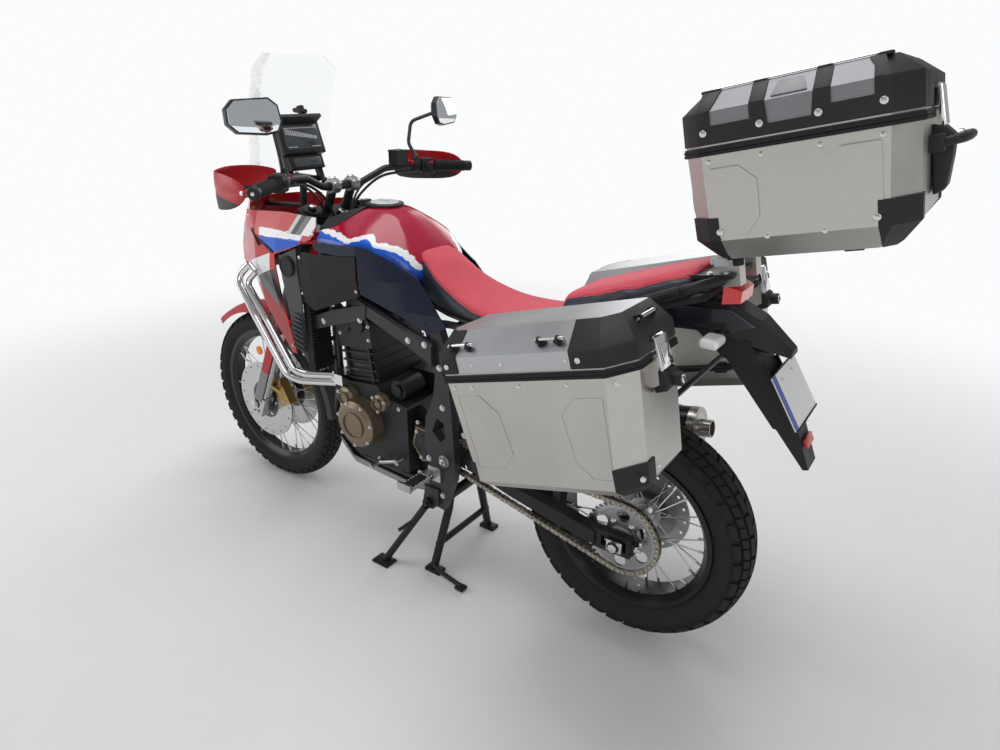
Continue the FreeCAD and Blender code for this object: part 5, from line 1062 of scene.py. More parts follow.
# %% Seats: the forms
# x, half width and height of the base, half width and height of the seam, front to rear.
RIDER_ROWS = [(746, 58, 1012, 50, 1060), (738, 68, 1000, 60, 1065), (704, 90, 950, 84, 1057),
              (650, 108, 914, 96, 1013), (590, 116, 902, 104, 969), (500, 130, 896, 120, 936),
              (400, 138, 896, 130, 926), (290, 138, 896, 126, 938), (236, 134, 900, 116, 960),
              (224, 122, 910, 104, 964)]
PILLION_ROWS = [(216, 118, 966, 98, 1014), (206, 130, 964, 108, 1021), (120, 138, 982, 119, 1052),
                (0, 130, 1038, 115, 1094), (-112, 114, 1078, 98, 1132), (-126, 102, 1086, 86, 1134)]


def at_rows(rows, x):
    """The row's numbers at any x, between the two nearest rows."""
    ordered = sorted(rows)
    if x <= ordered[0][0]:
        return ordered[0][1:]
    for low, high in zip(ordered, ordered[1:]):
        if x <= high[0]:
            share = (x - low[0]) / (high[0] - low[0])
            return tuple(a + (b - a) * share for a, b in zip(low[1:], high[1:]))
    return ordered[-1][1:]


def seat_ring(x, low_y, low_z, top_y, top_z):
    """One section of a seat, from the middle of its base round to the left and back."""
    middle = (low_z + top_z) / 2
    left = [(low_y * 0.6, low_z), (low_y - 5, low_z + 1), (low_y, low_z + 8), (low_y + 1, middle),
            (top_y + 3, top_z - 12), (top_y - 3, top_z - 3), (top_y * 0.72, top_z + 1),
            (top_y * 0.36, top_z + 2)]
    right = [(-y, z) for y, z in reversed(left)]
    return [(x, y, z) for y, z in [(0, low_z)] + left + [(0, top_z + 2)] + right]


def seam_share(rows, place):
    """How far inside the top's seam a point is, in millimetres; below zero on the sides."""
    x, y, z = place.x * 1000 + AXLE_BACK, abs(place.y) * 1000, place.z * 1000
    top_y, top_z = at_rows(rows, x)[2:]
    inside = top_y - 1 - y
    ahead = rows[0][0] - 3 - x
    behind = x - rows[-1][0] - 3
    rise = (z - top_z + 20) * 0.8
    return min(inside, ahead, behind, rise)


def cushion(name, rows):
    """Foam under its cover, with each corner's distance from the seam as an attribute."""
    form = skin([seat_ring(*row) for row in rows], closed=True, caps=True)
    rounder(form, 2)
    only(form)
    form.data.remesh_voxel_size = 0.006
    bpy.ops.object.voxel_remesh()
    swell(form, 0.0045)
    apply(form, "SMOOTH", factor=0.5, iterations=8)
    rounder(form, 1)
    share = form.data.attributes.new("seam", "FLOAT", "POINT")
    values = [seam_share(rows, corner.co) for corner in form.data.vertices]
    share.data.foreach_set("value", values)
    # The stitched seam pulls the cover in by a millimetre.
    inward = [corner.normal * -0.0014 for corner in form.data.vertices]
    for corner, value, way in zip(form.data.vertices, values, inward):
        corner.co += way * max(0.0, 1 - abs(value + 1.5) / 4.5)
    print(name, "corners:", len(form.data.vertices))
    return form


def swell(form, cap):
    """A Cloth run with pressure; no corner may move farther than cap."""
    start = [corner.co.copy() for corner in form.data.vertices]
    only(form)
    added = form.modifiers.new("cover", "CLOTH")
    settings = added.settings
    settings.quality = 4
    settings.mass = 0.15
    settings.tension_stiffness = 40
    settings.compression_stiffness = 40
    settings.bending_stiffness = 8
    settings.use_pressure = True
    settings.uniform_pressure_force = 4
    settings.effector_weights.gravity = 0
    added.point_cache.frame_start = 1
    added.point_cache.frame_end = 20
    for step in range(1, 21):
        scene.frame_set(step)
    bpy.ops.object.modifier_apply(modifier=added.name)
    for corner, before in zip(form.data.vertices, start):
        moved_by = corner.co - before
        if moved_by.length > cap:
            corner.co = before + moved_by.normalized() * cap
    scene.frame_set(1)


# %% [markdown]
# The cover's two cloths are one node tree. A point attribute says how far each place is from the
# seam, so the red ends in a clean line with a thread beside it, however the seat is turned.

# %% Seats: cover and build
def seat_cover():
    tree, surface = start_finish("seat_cover")
    share = node(tree, "ShaderNodeAttribute", attribute_name="seam").outputs["Fac"]
    nap = noise_at(tree, 700, detail=4.0)
    cloud = noise_at(tree, 16)
    red = mixed(tree, sums(tree, "MULTIPLY_ADD", nap, 0.6, sums(tree, "MULTIPLY", cloud, 0.4)),
                (0.42, 0.030, 0.052, 1), (0.72, 0.105, 0.140, 1))
    dark = mixed(tree, nap, (0.010, 0.013, 0.024, 1), (0.022, 0.028, 0.046, 1))
    on_top = node(tree, "ShaderNodeMapRange", Value=share, From_Min=-0.4, From_Max=0.4).outputs[0]
    from_seam = sums(tree, "ABSOLUTE", sums(tree, "SUBTRACT", share, 3.4))
    thread = node(tree, "ShaderNodeMapRange", Value=from_seam, From_Min=0.5, From_Max=0.9, To_Min=0.55,
                  To_Max=0.0).outputs[0]
    base = mixed(tree, on_top, dark, red)
    base = mixed(tree, thread, base, (0.20, 0.008, 0.014, 1))
    tree.links.new(base, surface.inputs["Base Color"])
    rough = node(tree, "ShaderNodeMapRange", Value=on_top, To_Min=0.42, To_Max=0.86).outputs[0]
    tree.links.new(rough, surface.inputs["Roughness"])
    grain = node(tree, "ShaderNodeBump", Height=noise_at(tree, 1100), Strength=0.35, Distance=0.0005)
    tree.links.new(grain.outputs[0], surface.inputs["Normal"])
    surface.inputs["Sheen Weight"].default_value = 0.12
    surface.inputs["Sheen Roughness"].default_value = 0.4


seat_cover()
for name, rows, replaced in (("rider_seat_padded", RIDER_ROWS, "rider_seat"),
                             ("passenger_seat_padded", PILLION_ROWS, "passenger_seat")):
    pad = cushion(name, rows)
    done(pad, name, "chassis", "seat_cover", "seat_red", 60, (replaced,))
# The seat's base shows as a dark edge below the cover.
trays = []
for rows in (RIDER_ROWS, PILLION_ROWS):
    outer = [[(x, y, low_z + 4), (x, y + 2, low_z - 3), (x, y - 3, low_z - 6),
              (x, -y + 3, low_z - 6), (x, -y - 2, low_z - 3), (x, -y, low_z + 4)]
             for x, y, low_z, top_y, top_z in rows[1:-1]]
    trays.append(skin(outer, closed=True, caps=True))
done(trays, "seat_trays", "chassis", "black_plastic", smooth=30)

# %% [markdown]
# The tank is pressed steel: flat on top with a crease along each side, full at the shoulders
# and narrow at the seat. The rings follow the CAD loft, with more corners near the creases, so
# that Subdivision keeps those crisp and lets the rest flow.

# %% Tank: form
# x, then z and y of the low edge, widest line, shoulder and crest, and the crown's z.
TANK_ROWS = [
    (1044, 955, 70, 1005, 180, 1078, 190, 1126, 124, 1132),
    (985, 930, 130, 1000, 196, 1080, 196, 1152, 88, 1160),
    (930, 905, 150, 1000, 202, 1084, 196, 1164, 64, 1171),
    (862, 900, 150, 990, 196, 1086, 188, 1166, 52, 1172),
    (800, 902, 145, 982, 182, 1082, 172, 1128, 68, 1134),
    (740, 908, 130, 970, 150, 1046, 138, 1074, 92, 1080),
    (690, 915, 100, 955, 122, 1004, 118, 1020, 80, 1024),
]


def tank_ring(x, low_z, low_y, wide_z, wide_y, side_z, side_y, crest_z, crest_y, crown):
    """One section of the tank; the panel between shoulder and crest bulges by sway."""
    sway = 4 if x > 700 else 1
    left = [(low_y, low_z), ((low_y + wide_y) / 2 + 4, (low_z + wide_z) / 2), (wide_y, wide_z),
            ((wide_y + side_y) / 2 + 2, (wide_z + side_z) / 2), (side_y, side_z - 4),
            (side_y - 5, side_z + 3), ((side_y * 2 + crest_y) / 3, (side_z * 2 + crest_z) / 3 + sway),
            ((side_y + crest_y * 2) / 3, (side_z + crest_z * 2) / 3 + sway), (crest_y + 5, crest_z - 2),
            (crest_y - 4, crest_z + 1), (crest_y / 2, (crest_z + crown) / 2)]
    right = [(-y, z) for y, z in reversed(left)]
    return [(x, y, z) for y, z in [(0, low_z)] + left + [(0, crown)] + right]


rows = [tank_ring(*row) for row in TANK_ROWS]
front = TANK_ROWS[0]
rows.insert(0, tank_ring(front[0] + 3, *[value * 0.97 + (0.03 * 1050 if place % 2 == 0 else 0)
                                         for place, value in enumerate(front[1:])]))
tank = skin(rows, closed=True, caps=True)
rounder(tank, 2)

# %% [markdown]
# The paint is deep crimson with a common kind of band low on each side: white over blue, with a
# ragged upper edge. The band is drawn by the shader from the Object coordinates: a curve gives
# its height at each x, noise roughens it, and the height above it picks the colour.

# %% Tank: paint
def height_above(tree, line, rough_by=0.0, rough_scale=40.0):
    """Millimetres above a line of (x, z) places; the line is the same on both sides."""
    place = node(tree, "ShaderNodeTexCoord").outputs["Object"]
    parts = node(tree, "ShaderNodeSeparateXYZ", Vector=place)
    line = sorted(line)
    low_x, high_x = line[0][0], line[-1][0]
    low_z = min(z for x, z in line)
    high_z = max(z for x, z in line) + 1
    share = node(tree, "ShaderNodeMapRange", Value=parts.outputs[0], From_Min=mm(low_x - AXLE_BACK),
                 From_Max=mm(high_x - AXLE_BACK)).outputs[0]
    curve = node(tree, "ShaderNodeFloatCurve", Value=share)
    points = curve.mapping.curves[0].points
    spots = [((x - low_x) / (high_x - low_x), (z - low_z) / (high_z - low_z)) for x, z in line]
    points[0].location = spots[0]
    points[1].location = spots[-1]
    for spot in spots[1:-1]:
        points.new(*spot)
    for point in points:
        point.handle_type = "VECTOR"
    curve.mapping.update()
    level = sums(tree, "MULTIPLY_ADD", curve.outputs[0], high_z - low_z, low_z)
    height = sums(tree, "MULTIPLY", parts.outputs[2], 1000)
    above = sums(tree, "SUBTRACT", height, level)
    if rough_by:
        spread = node(tree, "ShaderNodeMapping", Vector=place, Scale=(1, 0.02, 0.25)).outputs[0]
        jag = node(tree, "ShaderNodeTexNoise", Vector=spread, Scale=rough_scale, Detail=3.0).outputs["Fac"]
        above = sums(tree, "ADD", above, sums(tree, "MULTIPLY", sums(tree, "SUBTRACT", jag, 0.5), rough_by))
    return above


def step(tree, value, edge, soft=0.5):
    """One above the edge and zero below it."""
    ramp = node(tree, "ShaderNodeMapRange", Value=value, From_Min=edge - soft, From_Max=edge + soft)
    return ramp.outputs[0]


WHITE = (0.80, 0.81, 0.83, 1)
AZURE = (0.006, 0.10, 0.60, 1)
NAVY = (0.006, 0.014, 0.05, 1)
# The band's upper edge as (x, z), from the tank's front to the seat.
BAND_LINE = [(1060, 1114), (1041, 1112), (985, 1104), (930, 1098), (899, 1090), (875, 1099),
             (843, 1107), (808, 1090), (764, 1080), (720, 1046), (692, 1020), (670, 1000)]


def gloss(surface):
    surface.inputs["Roughness"].default_value = 0.2
    surface.inputs["Coat Weight"].default_value = 0.2
    surface.inputs["Specular IOR Level"].default_value = 0.4
    surface.inputs["Coat Roughness"].default_value = 0.05


def tank_paint():
    """Crimson over a ragged white line over blue."""
    tree, surface = start_finish("tank_paint")
    above = height_above(tree, BAND_LINE, 26.0, 34.0)
    cloud = noise_at(tree, 7)
    red = mixed(tree, cloud, (0.30, 0.001, 0.026, 1), (0.42, 0.003, 0.040, 1))
    blue = mixed(tree, step(tree, above, -34, 16), NAVY, AZURE)
    base = mixed(tree, step(tree, above, -13), blue, WHITE)
    base = mixed(tree, step(tree, above, 0), base, red)
    tree.links.new(base, surface.inputs["Base Color"])
    gloss(surface)
    waves = node(tree, "ShaderNodeBump", Height=noise_at(tree, 60), Strength=0.04, Distance=0.0006)
    tree.links.new(waves.outputs[0], surface.inputs["Normal"])


tank_paint()
done(tank, "tank_shell", "chassis", "tank_paint", "red_paint", 40, ("fuel_tank",))


def ring_point(rows_of, x, share):
    """A place on the tank's top at x; share runs from the left shoulder to the right one."""
    low_z, low_y, wide_z, wide_y, side_z, side_y, crest_z, crest_y, crown = at_rows(rows_of, x)
    line = [(side_y, side_z), (crest_y, crest_z), (0, crown), (-crest_y, crest_z), (-side_y, side_z)]
    spot = share * 4
    index = min(3, int(spot))
    (y0, z0), (y1, z1) = line[index], line[index + 1]
    return (x, y0 + (y1 - y0) * (spot - index), z0 + (z1 - z0) * (spot - index))


# %% [markdown]
# The tank's front is covered by a black moulding that carries the ignition, and the filler cap
# is a grey lid with a ring of screws, hinged at its front.

# %% Tank: front moulding and cap
shares = [0.10, 0.17, 0.25, 0.32, 0.41, 0.5, 0.59, 0.68, 0.75, 0.83, 0.90]
patch = []
for x, wide in ((1050, 0.0), (1020, 0.0), (992, 0.02), (966, 0.07), (944, 0.16)):
    places = [ring_point(TANK_ROWS, x, max(wide + 0.10, min(0.90 - wide, share))) for share in shares]
    patch.append([tuple(Vector(place) + Vector((0, 0, 3))) for place in places])
moulding = skin(patch)
apply(moulding, "SOLIDIFY", thickness=mm(4), offset=0)
soften(moulding, 1.5, 2)
key_block = drum((1006, 0, 1150), (1010, 0, 1176), 19, 32, 3, 3)
done([moulding, key_block], "tank_moulding", "chassis", "black_plastic", smooth=30)
key_face = drum((1009.6, 0, 1174), (1010, 0, 1178), 11, 24, 0.8)
done(key_face, "ignition_face", "chassis", "bright_bolt")
cap_place = (925, 0, 1169)
ring = turned([(46, -6), (58, -6), (60, 3), (56, 6), (46, 7)], cap_place, 56, (-0.01, 0, 1))
done(ring, "filler_ring", "chassis", "black_plastic", smooth=35)
lid = turned([(0.01, 0), (45, 0), (45, 7), (41, 10), (14, 11.5), (0.01, 12)], cap_place, 56, (-0.01, 0, 1))
flap = slab((911, -9, 1178), (945, 9, 1184), 2.5, 3)
done([lid, flap], "filler_cap", "chassis", "pale_grey", "aluminium", 35)
screws = [dome((cap_place[0] + 51 * math.cos(turn), 51 * math.sin(turn), 1175), (0, 0, 1), 3.4, 1.6, 12)
          for turn in (0.4, 1.2, 1.94, 2.74, 3.54, 4.34, 5.08, 5.88)]
done(screws, "filler_screws", "chassis", "bright_bolt")

# %% [markdown]
# The body panels are painted plastic, and the CAD holds their real curves. What is left for this
# script is their paint, with common stripes and plain colour fields, and the parts screwed to
# them. A colour field is drawn by the shader: a convex outline in the side view gives the depth
# inside it, and a step of that depth picks the colour, so both sides match.

# %% Panels: paint
def place_mm(tree):
    """Object coordinates as x, distance from the middle plane and z, in the bike's millimetres."""
    parts = node(tree, "ShaderNodeSeparateXYZ", Vector=node(tree, "ShaderNodeTexCoord").outputs["Object"])
    x = sums(tree, "MULTIPLY_ADD", parts.outputs[0], 1000, AXLE_BACK)
    y = sums(tree, "ABSOLUTE", sums(tree, "MULTIPLY", parts.outputs[1], 1000))
    z = sums(tree, "MULTIPLY", parts.outputs[2], 1000)
    return x, y, z


def inside(tree, x, z, corners):
    """Millimetres inside a convex outline of (x, z) corners, in either order."""
    area = sum(a[0] * b[1] - b[0] * a[1] for a, b in zip(corners, corners[1:] + corners[:1]))
    if area < 0:
        corners = corners[::-1]
    depth = None
    for (x0, z0), (x1, z1) in zip(corners, corners[1:] + corners[:1]):
        length = math.hypot(x1 - x0, z1 - z0)
        across = sums(tree, "MULTIPLY", sums(tree, "SUBTRACT", x, x0), (z0 - z1) / length)
        edge = sums(tree, "MULTIPLY_ADD", sums(tree, "SUBTRACT", z, z0), (x1 - x0) / length, across)
        depth = edge if depth is None else sums(tree, "MINIMUM", depth, edge)
    return depth


def painted(name, base, fields, rough=0.2, coat=0.3, bump=0.04, fine=60, matt=0, metal=0.0, shine=0.5):
    """A finish with colour fields: each is an outline, a colour and how ragged its edge is.
    Where matt is given, the last field has that roughness and the finish has no coat."""
    tree, surface = start_finish(name)
    x, y, z = place_mm(tree)
    colour = mixed(tree, noise_at(tree, 7), shade(base, 0.9), shade(base, 1.1))
    for corners, tint, ragged in fields:
        depth = inside(tree, x, z, corners)
        if ragged:
            jag = noise_at(tree, 36, (1, 0.02, 1))
            depth = sums(tree, "MULTIPLY_ADD", sums(tree, "SUBTRACT", jag, 0.5), ragged, depth)
        colour = mixed(tree, step(tree, depth, 0), colour, tint)
    tree.links.new(colour, surface.inputs["Base Color"])
    surface.inputs["Roughness"].default_value = rough
    if matt:
        dull = node(tree, "ShaderNodeMapRange", Value=step(tree, depth, 0), To_Min=rough, To_Max=matt)
        tree.links.new(dull.outputs[0], surface.inputs["Roughness"])
        coat = 0.0
    surface.inputs["Coat Weight"].default_value = coat
    surface.inputs["Metallic"].default_value = metal
    surface.inputs["Specular IOR Level"].default_value = shine
    relief = node(tree, "ShaderNodeBump", Height=noise_at(tree, fine), Strength=bump, Distance=0.0006)
    tree.links.new(relief.outputs[0], surface.inputs["Normal"])


GREY = (0.13, 0.135, 0.145, 1)
PALE = (0.55, 0.56, 0.58, 1)
COAL = (0.012, 0.012, 0.014, 1)
SLANT = -0.55


def slanted(x_from, x_to, low, high):
    """A stripe that leans back as it rises; its x is given at z 1085."""
    return [(x_from + (low - 1085) * SLANT, low), (x_to + (low - 1085) * SLANT, low),
            (x_to + (high - 1085) * SLANT, high), (x_from + (high - 1085) * SLANT, high)]


FAIRING_FIELDS = [
    ([(1300, 1078), (1098, 1078), (1110, 1050), (1222, 1014), (1292, 1030)], AZURE, 0),
    ([(1304, 1086), (1096, 1086), (1104, 1066), (1300, 1060)], WHITE, 16),
    ([(1412, 952), (1250, 1008), (1260, 948), (1372, 878)], WHITE, 0),
    ([(1356, 912), (1262, 950), (1240, 828)], GREY, 0),
    ([(1240, 828), (1262, 950), (1228, 960), (1214, 800)], COAL, 0),
    (slanted(1067, 1104, 1080, 1150), WHITE, 0),
    (slanted(1104, 1126, 1080, 1150), GREY, 0),
    (slanted(1126, 1146, 1080, 1150), COAL, 0),
    (slanted(1146, 1162, 1080, 1150), PALE, 0),
]
BODY_RED = (0.50, 0.010, 0.016)
PANEL_SHINE = 0.35
painted("fairing_paint", BODY_RED, FAIRING_FIELDS, shine=PANEL_SHINE)
painted("cover_paint", (0.006, 0.010, 0.026),
        [([(1122, 660), (1122, 1050), (1210, 1050), (1210, 660)], (0.055, 0.057, 0.062, 1), 0),
         ([(1119, 1012), (1090, 1034), (859.5, 1049), (855, 926), (1076, 837), (1121, 862)],
          (0.009, 0.006, 0.005, 1), 0)],
        0.22, 0.0, 0.06, matt=0.62, shine=PANEL_SHINE)
painted("cowl_paint", BODY_RED,
        [([(1440, 872), (1600, 872), (1600, 935), (1470, 925)], COAL, 0),
         ([(1478, 1000), (1620, 1000), (1620, 1070), (1478, 1070)], COAL, 0),
         ([(1394, 1000), (1470, 1000), (1462, 1086), (1392, 1100)], WHITE, 0)], shine=PANEL_SHINE)
dress("side_fairings", "fairing_paint")
dress("side_covers", "cover_paint")
dress("front_cowl", "cowl_paint")

# %% [markdown]
# The intake panel has a plain round boss and a block of cooling slats below it, and each panel
# is held by a few screws.

# %% Panels: boss, slats and screws
boss = turned([(10, -4), (34, -4), (34, 3), (30, 6), (26, 6), (24, 3.5), (0.01, 3.5), (0.01, -4)],
              (1166, 211, 976), 48)
pair([boss], "side_boss", ["chassis"], "black_plastic", smooth=30)
slats = []
for index in range(8):
    z = 690 + index * 17
    slats.append(outlined([(1134, 196.5, z), (1188, 190, z + 8), (1188, 190, z + 13), (1134, 196.5, z + 5)],
                          (0, 9, 0), 1.2))
pair(slats, "side_slats", ["chassis"], "grey_plastic", smooth=30)
slot_lip = outlined([(1347, 193, 1072), (1305, 203, 1024), (1301, 203.5, 1030), (1341, 194.5, 1078)],
                    (0, 6, 0), 1.2)
vent = outlined([(1330, 196, 1052), (1232, 207.5, 1010), (1228, 207.5, 1018), (1326, 196, 1060)],
                (0, 5.5, 0), 1.2)
pair([slot_lip, vent], "fairing_lips", ["chassis"], "black_plastic", smooth=30)
screws = [hex_bolt(place, (0, 1, 0), 4.2, 2.6) for place in
          ((1046, 196.5, 1090), (1214, 184.5, 690), (1400, 166.5, 960), (1390, 169, 1108),
           (1104, 208.5, 1014), (868, 200.5, 942), (1150, 194.2, 676))]
pair(screws, "panel_screws", ["chassis"], "bright_bolt")

# %% [markdown]
# Wheels, fork and guards change colour along their form: black rims with bright spokes, dark
# fork tubes with bright sliders, guards that are red above and grey below. Each is one CAD node,
# so its shader picks the finish from the distance to the axle, or from the height.

# %% Two-tone metal and plastic
def two_tone(name, low, high, edge, share_of, soft=0.6):
    """A finish that changes at an edge; low and high are (colour, roughness, metal)."""
    tree, surface = start_finish(name)
    share = step(tree, share_of(tree), edge, soft)
    grain = noise_at(tree, 900)
    tone = node(tree, "ShaderNodeMapRange", Value=grain, To_Min=0.85, To_Max=1.15).outputs[0]
    colour = mixed(tree, share, low[0] + (1,), high[0] + (1,))
    shaded = node(tree, "ShaderNodeVectorMath", operation="SCALE")
    tree.links.new(colour, shaded.inputs[0])
    tree.links.new(tone, shaded.inputs["Scale"])
    tree.links.new(shaded.outputs[0], surface.inputs["Base Color"])
    for socket, place in (("Roughness", 1), ("Metallic", 2)):
        value = node(tree, "ShaderNodeMapRange", Value=share, To_Min=low[place], To_Max=high[place])
        tree.links.new(value.outputs[0], surface.inputs[socket])
    relief = node(tree, "ShaderNodeBump", Height=grain, Strength=0.06, Distance=0.0004)
    tree.links.new(relief.outputs[0], surface.inputs["Normal"])


def radius_about(centre):
    """The distance to an axle, seen from the side."""
    def share_of(tree):
        x, y, z = place_mm(tree)
        flat = node(tree, "ShaderNodeCombineXYZ", X=sums(tree, "SUBTRACT", x, centre[0]),
                    Y=sums(tree, "SUBTRACT", z, centre[2]))
        far = node(tree, "ShaderNodeVectorMath", operation="LENGTH", Vector=flat.outputs[0])
        return far.outputs["Value"]
    return share_of


def height_of(lean=0.0, about=0.0):
    """The height, less lean times how far ahead of a place the point is."""
    def share_of(tree):
        x, y, z = place_mm(tree)
        return sums(tree, "MULTIPLY_ADD", sums(tree, "SUBTRACT", x, about), -lean, z)
    return share_of


SPOKE_STEEL = ((0.62, 0.62, 0.63), 0.22, 1.0)
RIM = ((0.012, 0.012, 0.013), 0.26, 0.3)
two_tone("front_wheel_metal", SPOKE_STEEL, RIM, 246, radius_about(FRONT_AXLE))
two_tone("rear_wheel_metal", SPOKE_STEEL, RIM, 208, radius_about(REAR_AXLE))
dress("front_rim", "front_wheel_metal")
dress("rear_rim", "rear_wheel_metal")
two_tone("sprocket_metal", ((0.30, 0.30, 0.31), 0.35, 0.9), ((0.42, 0.42, 0.43), 0.30, 1.0), 92,
         radius_about(REAR_AXLE))
dress("rear_sprocket_and_disc", "sprocket_metal")
two_tone("disc_metal", ((0.10, 0.10, 0.105), 0.4, 0.7), ((0.55, 0.55, 0.56), 0.28, 1.0), 76,
         radius_about(FRONT_AXLE))
dress("front_discs", "disc_metal")
RED = ((0.42, 0.010, 0.014), 0.34, 0.0)
DULL = ((0.030, 0.031, 0.033), 0.52, 0.0)
two_tone("guard_plastic", DULL, RED, 1232, height_of(0.16, 1100))
dress("hand_guards", "guard_plastic")
two_tone("fork_guard_plastic", ((0.20, 0.205, 0.21), 0.45, 0.0), RED, 512, height_of(0.5, 1480))
dress("fork_guards", "fork_guard_plastic")
two_tone("fork_metal", ((0.50, 0.50, 0.51), 0.2, 1.0), ((0.035, 0.036, 0.038), 0.34, 0.6), 664,
         height_of(-0.5, 1390))
dress("fork_legs", "fork_metal")
two_tone("mudguard_plastic", DULL, RED, 1500, lambda tree: place_mm(tree)[0])
dress("front_mudguard", "mudguard_plastic")
two_tone("skid_metal", ((0.34, 0.345, 0.35), 0.40, 0.95), ((0.46, 0.465, 0.47), 0.34, 0.95), 330,
         height_of())
dress("skid_plate", "skid_metal")
two_tone("indicator_plastic", DULL, ((0.80, 0.82, 0.84), 0.16, 0.0), 104, lambda tree: place_mm(tree)[1])
dress("indicators", "indicator_plastic")

# %% [markdown]
# The wheels carry many small parts. Nipples stand at the rim where the spokes end, and bolts
# hold the sprocket and the discs.

# %% Nipples, sprocket and disc bolts
def about_axle(centre, radius, degrees, y):
    """The place at this radius and angle round a centre, seen from the left side."""
    turn = math.radians(degrees)
    return centre[0] + radius * math.cos(turn), y, centre[2] + radius * math.sin(turn)


SPOKE_PAIRS = 16
for end, centre, flange, half in (("front", FRONT_AXLE, 279, 32), ("rear", REAR_AXLE, 241, 57)):
    nipples = []
    for side in LEFT_RIGHT:
        y = side * half * 0.45
        for index in range(SPOKE_PAIRS):
            lead = 0.75 if index % 2 else -0.75
            turn = 360 * (index + 0.25 * side + lead) / SPOKE_PAIRS
            nipples.append(drum(about_axle(centre, flange - 48, turn, y),
                                about_axle(centre, flange - 28, turn, y), 3.6, 8))
    done(nipples, end + "_nipples", end + "_wheel", "bright_bolt")
bolts = [hex_bolt(about_axle(REAR_AXLE, 54, 60 * index, 96), (0, 1, 0), 7, 7) for index in range(6)]
done(bolts, "sprocket_bolts", "rear_wheel", "bright_bolt")
hub_face = turned([(19, 0), (40, 0), (40, 3), (34, 6), (22, 6), (19, 3)], (0, 98, 362), 48)
done(hub_face, "sprocket_hub_face", "rear_wheel", "engine_grey", smooth=30)
bolts = [hex_bolt(about_axle(FRONT_AXLE, 62, 60 * index, 68), (0, 1, 0), 5.5, 4) for index in range(6)]
done(both(*bolts), "front_disc_bolts", "front_wheel", "bright_bolt")
bolts = [hex_bolt(about_axle(REAR_AXLE, 56, 72 * index, -86), (0, -1, 0), 5, 1.6) for index in range(5)]
done(bolts, "rear_disc_bolts", "rear_wheel", "bright_bolt")

# %% [markdown]
# A block with a screw behind it sets the chain's slack at each end of the rear axle, and the
# front axle ends in large hexagon heads over two pinch bolts.

# %% Axle ends
block = slab((-23, 139, 345), (23, 144, 379), 2, 3)
adjuster = drum((-44, 120, 362), (-70, 120, 362), 5, 16, 0.8)
lock_nut = drum((-52, 120, 362), (-60, 120, 362), 9, 6, 0.8)
axle_nut = hex_bolt((0, 144, 362), (0, 1, 0), 14, 11)
done(both(block, adjuster, lock_nut, axle_nut), "axle_blocks", "chassis", "bright_bolt")
end_cap = slab((-52, 110, 344), (-43, 130, 380), 2)
done(both(end_cap), "swingarm_end_caps", "chassis", "black_plastic")
axle_end = hex_bolt((1575, 122, 348), (0, 1, 0), 15, 7)
pinch = [hex_bolt((x, 121, 318), (0, 1, 0), 4.5, 5) for x in (1563, 1587)]
done(both(axle_end, *pinch), "front_axle_ends", "steering", "bright_bolt")

# %% [markdown]
# The engine's look comes from its castings: fins round the barrels, and round covers with a
# ring and a circle of bolts each.

# %% Engine covers and fins
bolts, rings, marks = [], [], []
for x, z, radius, face_y, count in ((940, 469, 76, 186, 7), (1000, 545, 33, 164, 4), (850, 560, 28, 160, 3),
                                    (872, 462, 88, -180, 8), (1000, 500, 37, -172, 4)):
    side = 1 if face_y > 0 else -1
    for index in range(count):
        turn = 2 * math.pi * (index + 0.3) / count
        place = (x + radius * math.cos(turn), face_y - side * 2, z + radius * math.sin(turn))
        bolts.append(hex_bolt(place, (0, side, 0), 4.6, 6))
    wide = radius * 0.55
    profile = [(wide, 0), (wide + 5, 0), (wide + 4, side * 6), (wide + 1, side * 6)]
    rings.append(turned(profile, (x, face_y + side * 3.4, z), 40))
done(bolts, "cover_bolts", "chassis", "bright_bolt")
done(rings, "cover_rings", "chassis", "bronze_cover", smooth=30)
fins = []
for index in range(7):
    rise = 604 + index * 17.5
    lean = (rise - 604) * 0.19
    fins.append(outlined([(874 + lean, -121, rise), (1006 + lean, -121, rise - 18),
                          (1007 + lean, -121, rise - 14), (875 + lean, -121, rise + 4)],
                         (0, 242, 0), 0.8, 1))
done(fins, "barrel_fins", "chassis", "engine_dark", smooth=30)

# %% [markdown]
# Bright bolt heads stand along the frame, a ring closes the swingarm's pivot, and the sprocket
# cover rises in two steps.

# %% Frame bolts, sprocket cover and case bolts
FRAME_BOLTS = [(905, 158.2, 834), (700, 164.2, 812), (1020, 162.2, 868), (1070, 162.2, 800),
               (636, 164.2, 812), (600, 142.2, 740), (592, 142.2, 612), (652, 142.2, 420),
               (600, 142.2, 300)]
frame_bolts = [hex_bolt(place, (0, 1, 0), 7.5, 6) for place in FRAME_BOLTS]
frame_bolts.append(drum((590, 146, 428), (590, 154, 428), 13, 6, 1))
done(both(*frame_bolts), "frame_bolts", "chassis", "bright_bolt")
pivot_ring = turned([(9, 0), (21, 0), (21, 4), (17, 7), (9, 7)], (590, 142, 428), 40)
done(both(pivot_ring), "pivot_rings", "chassis", "engine_grey", smooth=30)
ridge = side_cut([(632, 470), (646, 492), (714, 497), (729, 440), (696, 393), (648, 407)], 123, 127, 1.5)
inner = side_cut([(650, 462), (658, 478), (700, 482), (712, 442), (688, 410), (660, 420)], 126, 130, 1.5)
done([ridge, inner], "sprocket_cover_steps", "chassis", "engine_dark", smooth=30)
bolts = [hex_bolt((x, 126, z), (0, 1, 0), 4.6, 5)
         for x, z in ((640, 480), (716, 488), (700, 400), (646, 416))]
done(bolts, "sprocket_cover_bolts", "chassis", "bright_bolt")
CRANKCASE_BOLTS = [(700, 350), (800, 345), (880, 342), (990, 358), (1036, 420), (1036, 500),
                   (780, 552), (700, 530)]
HEAD_BOLTS = [(900, 760), (1030, 760), (960, 842), (1036, 806), (900, 806)]
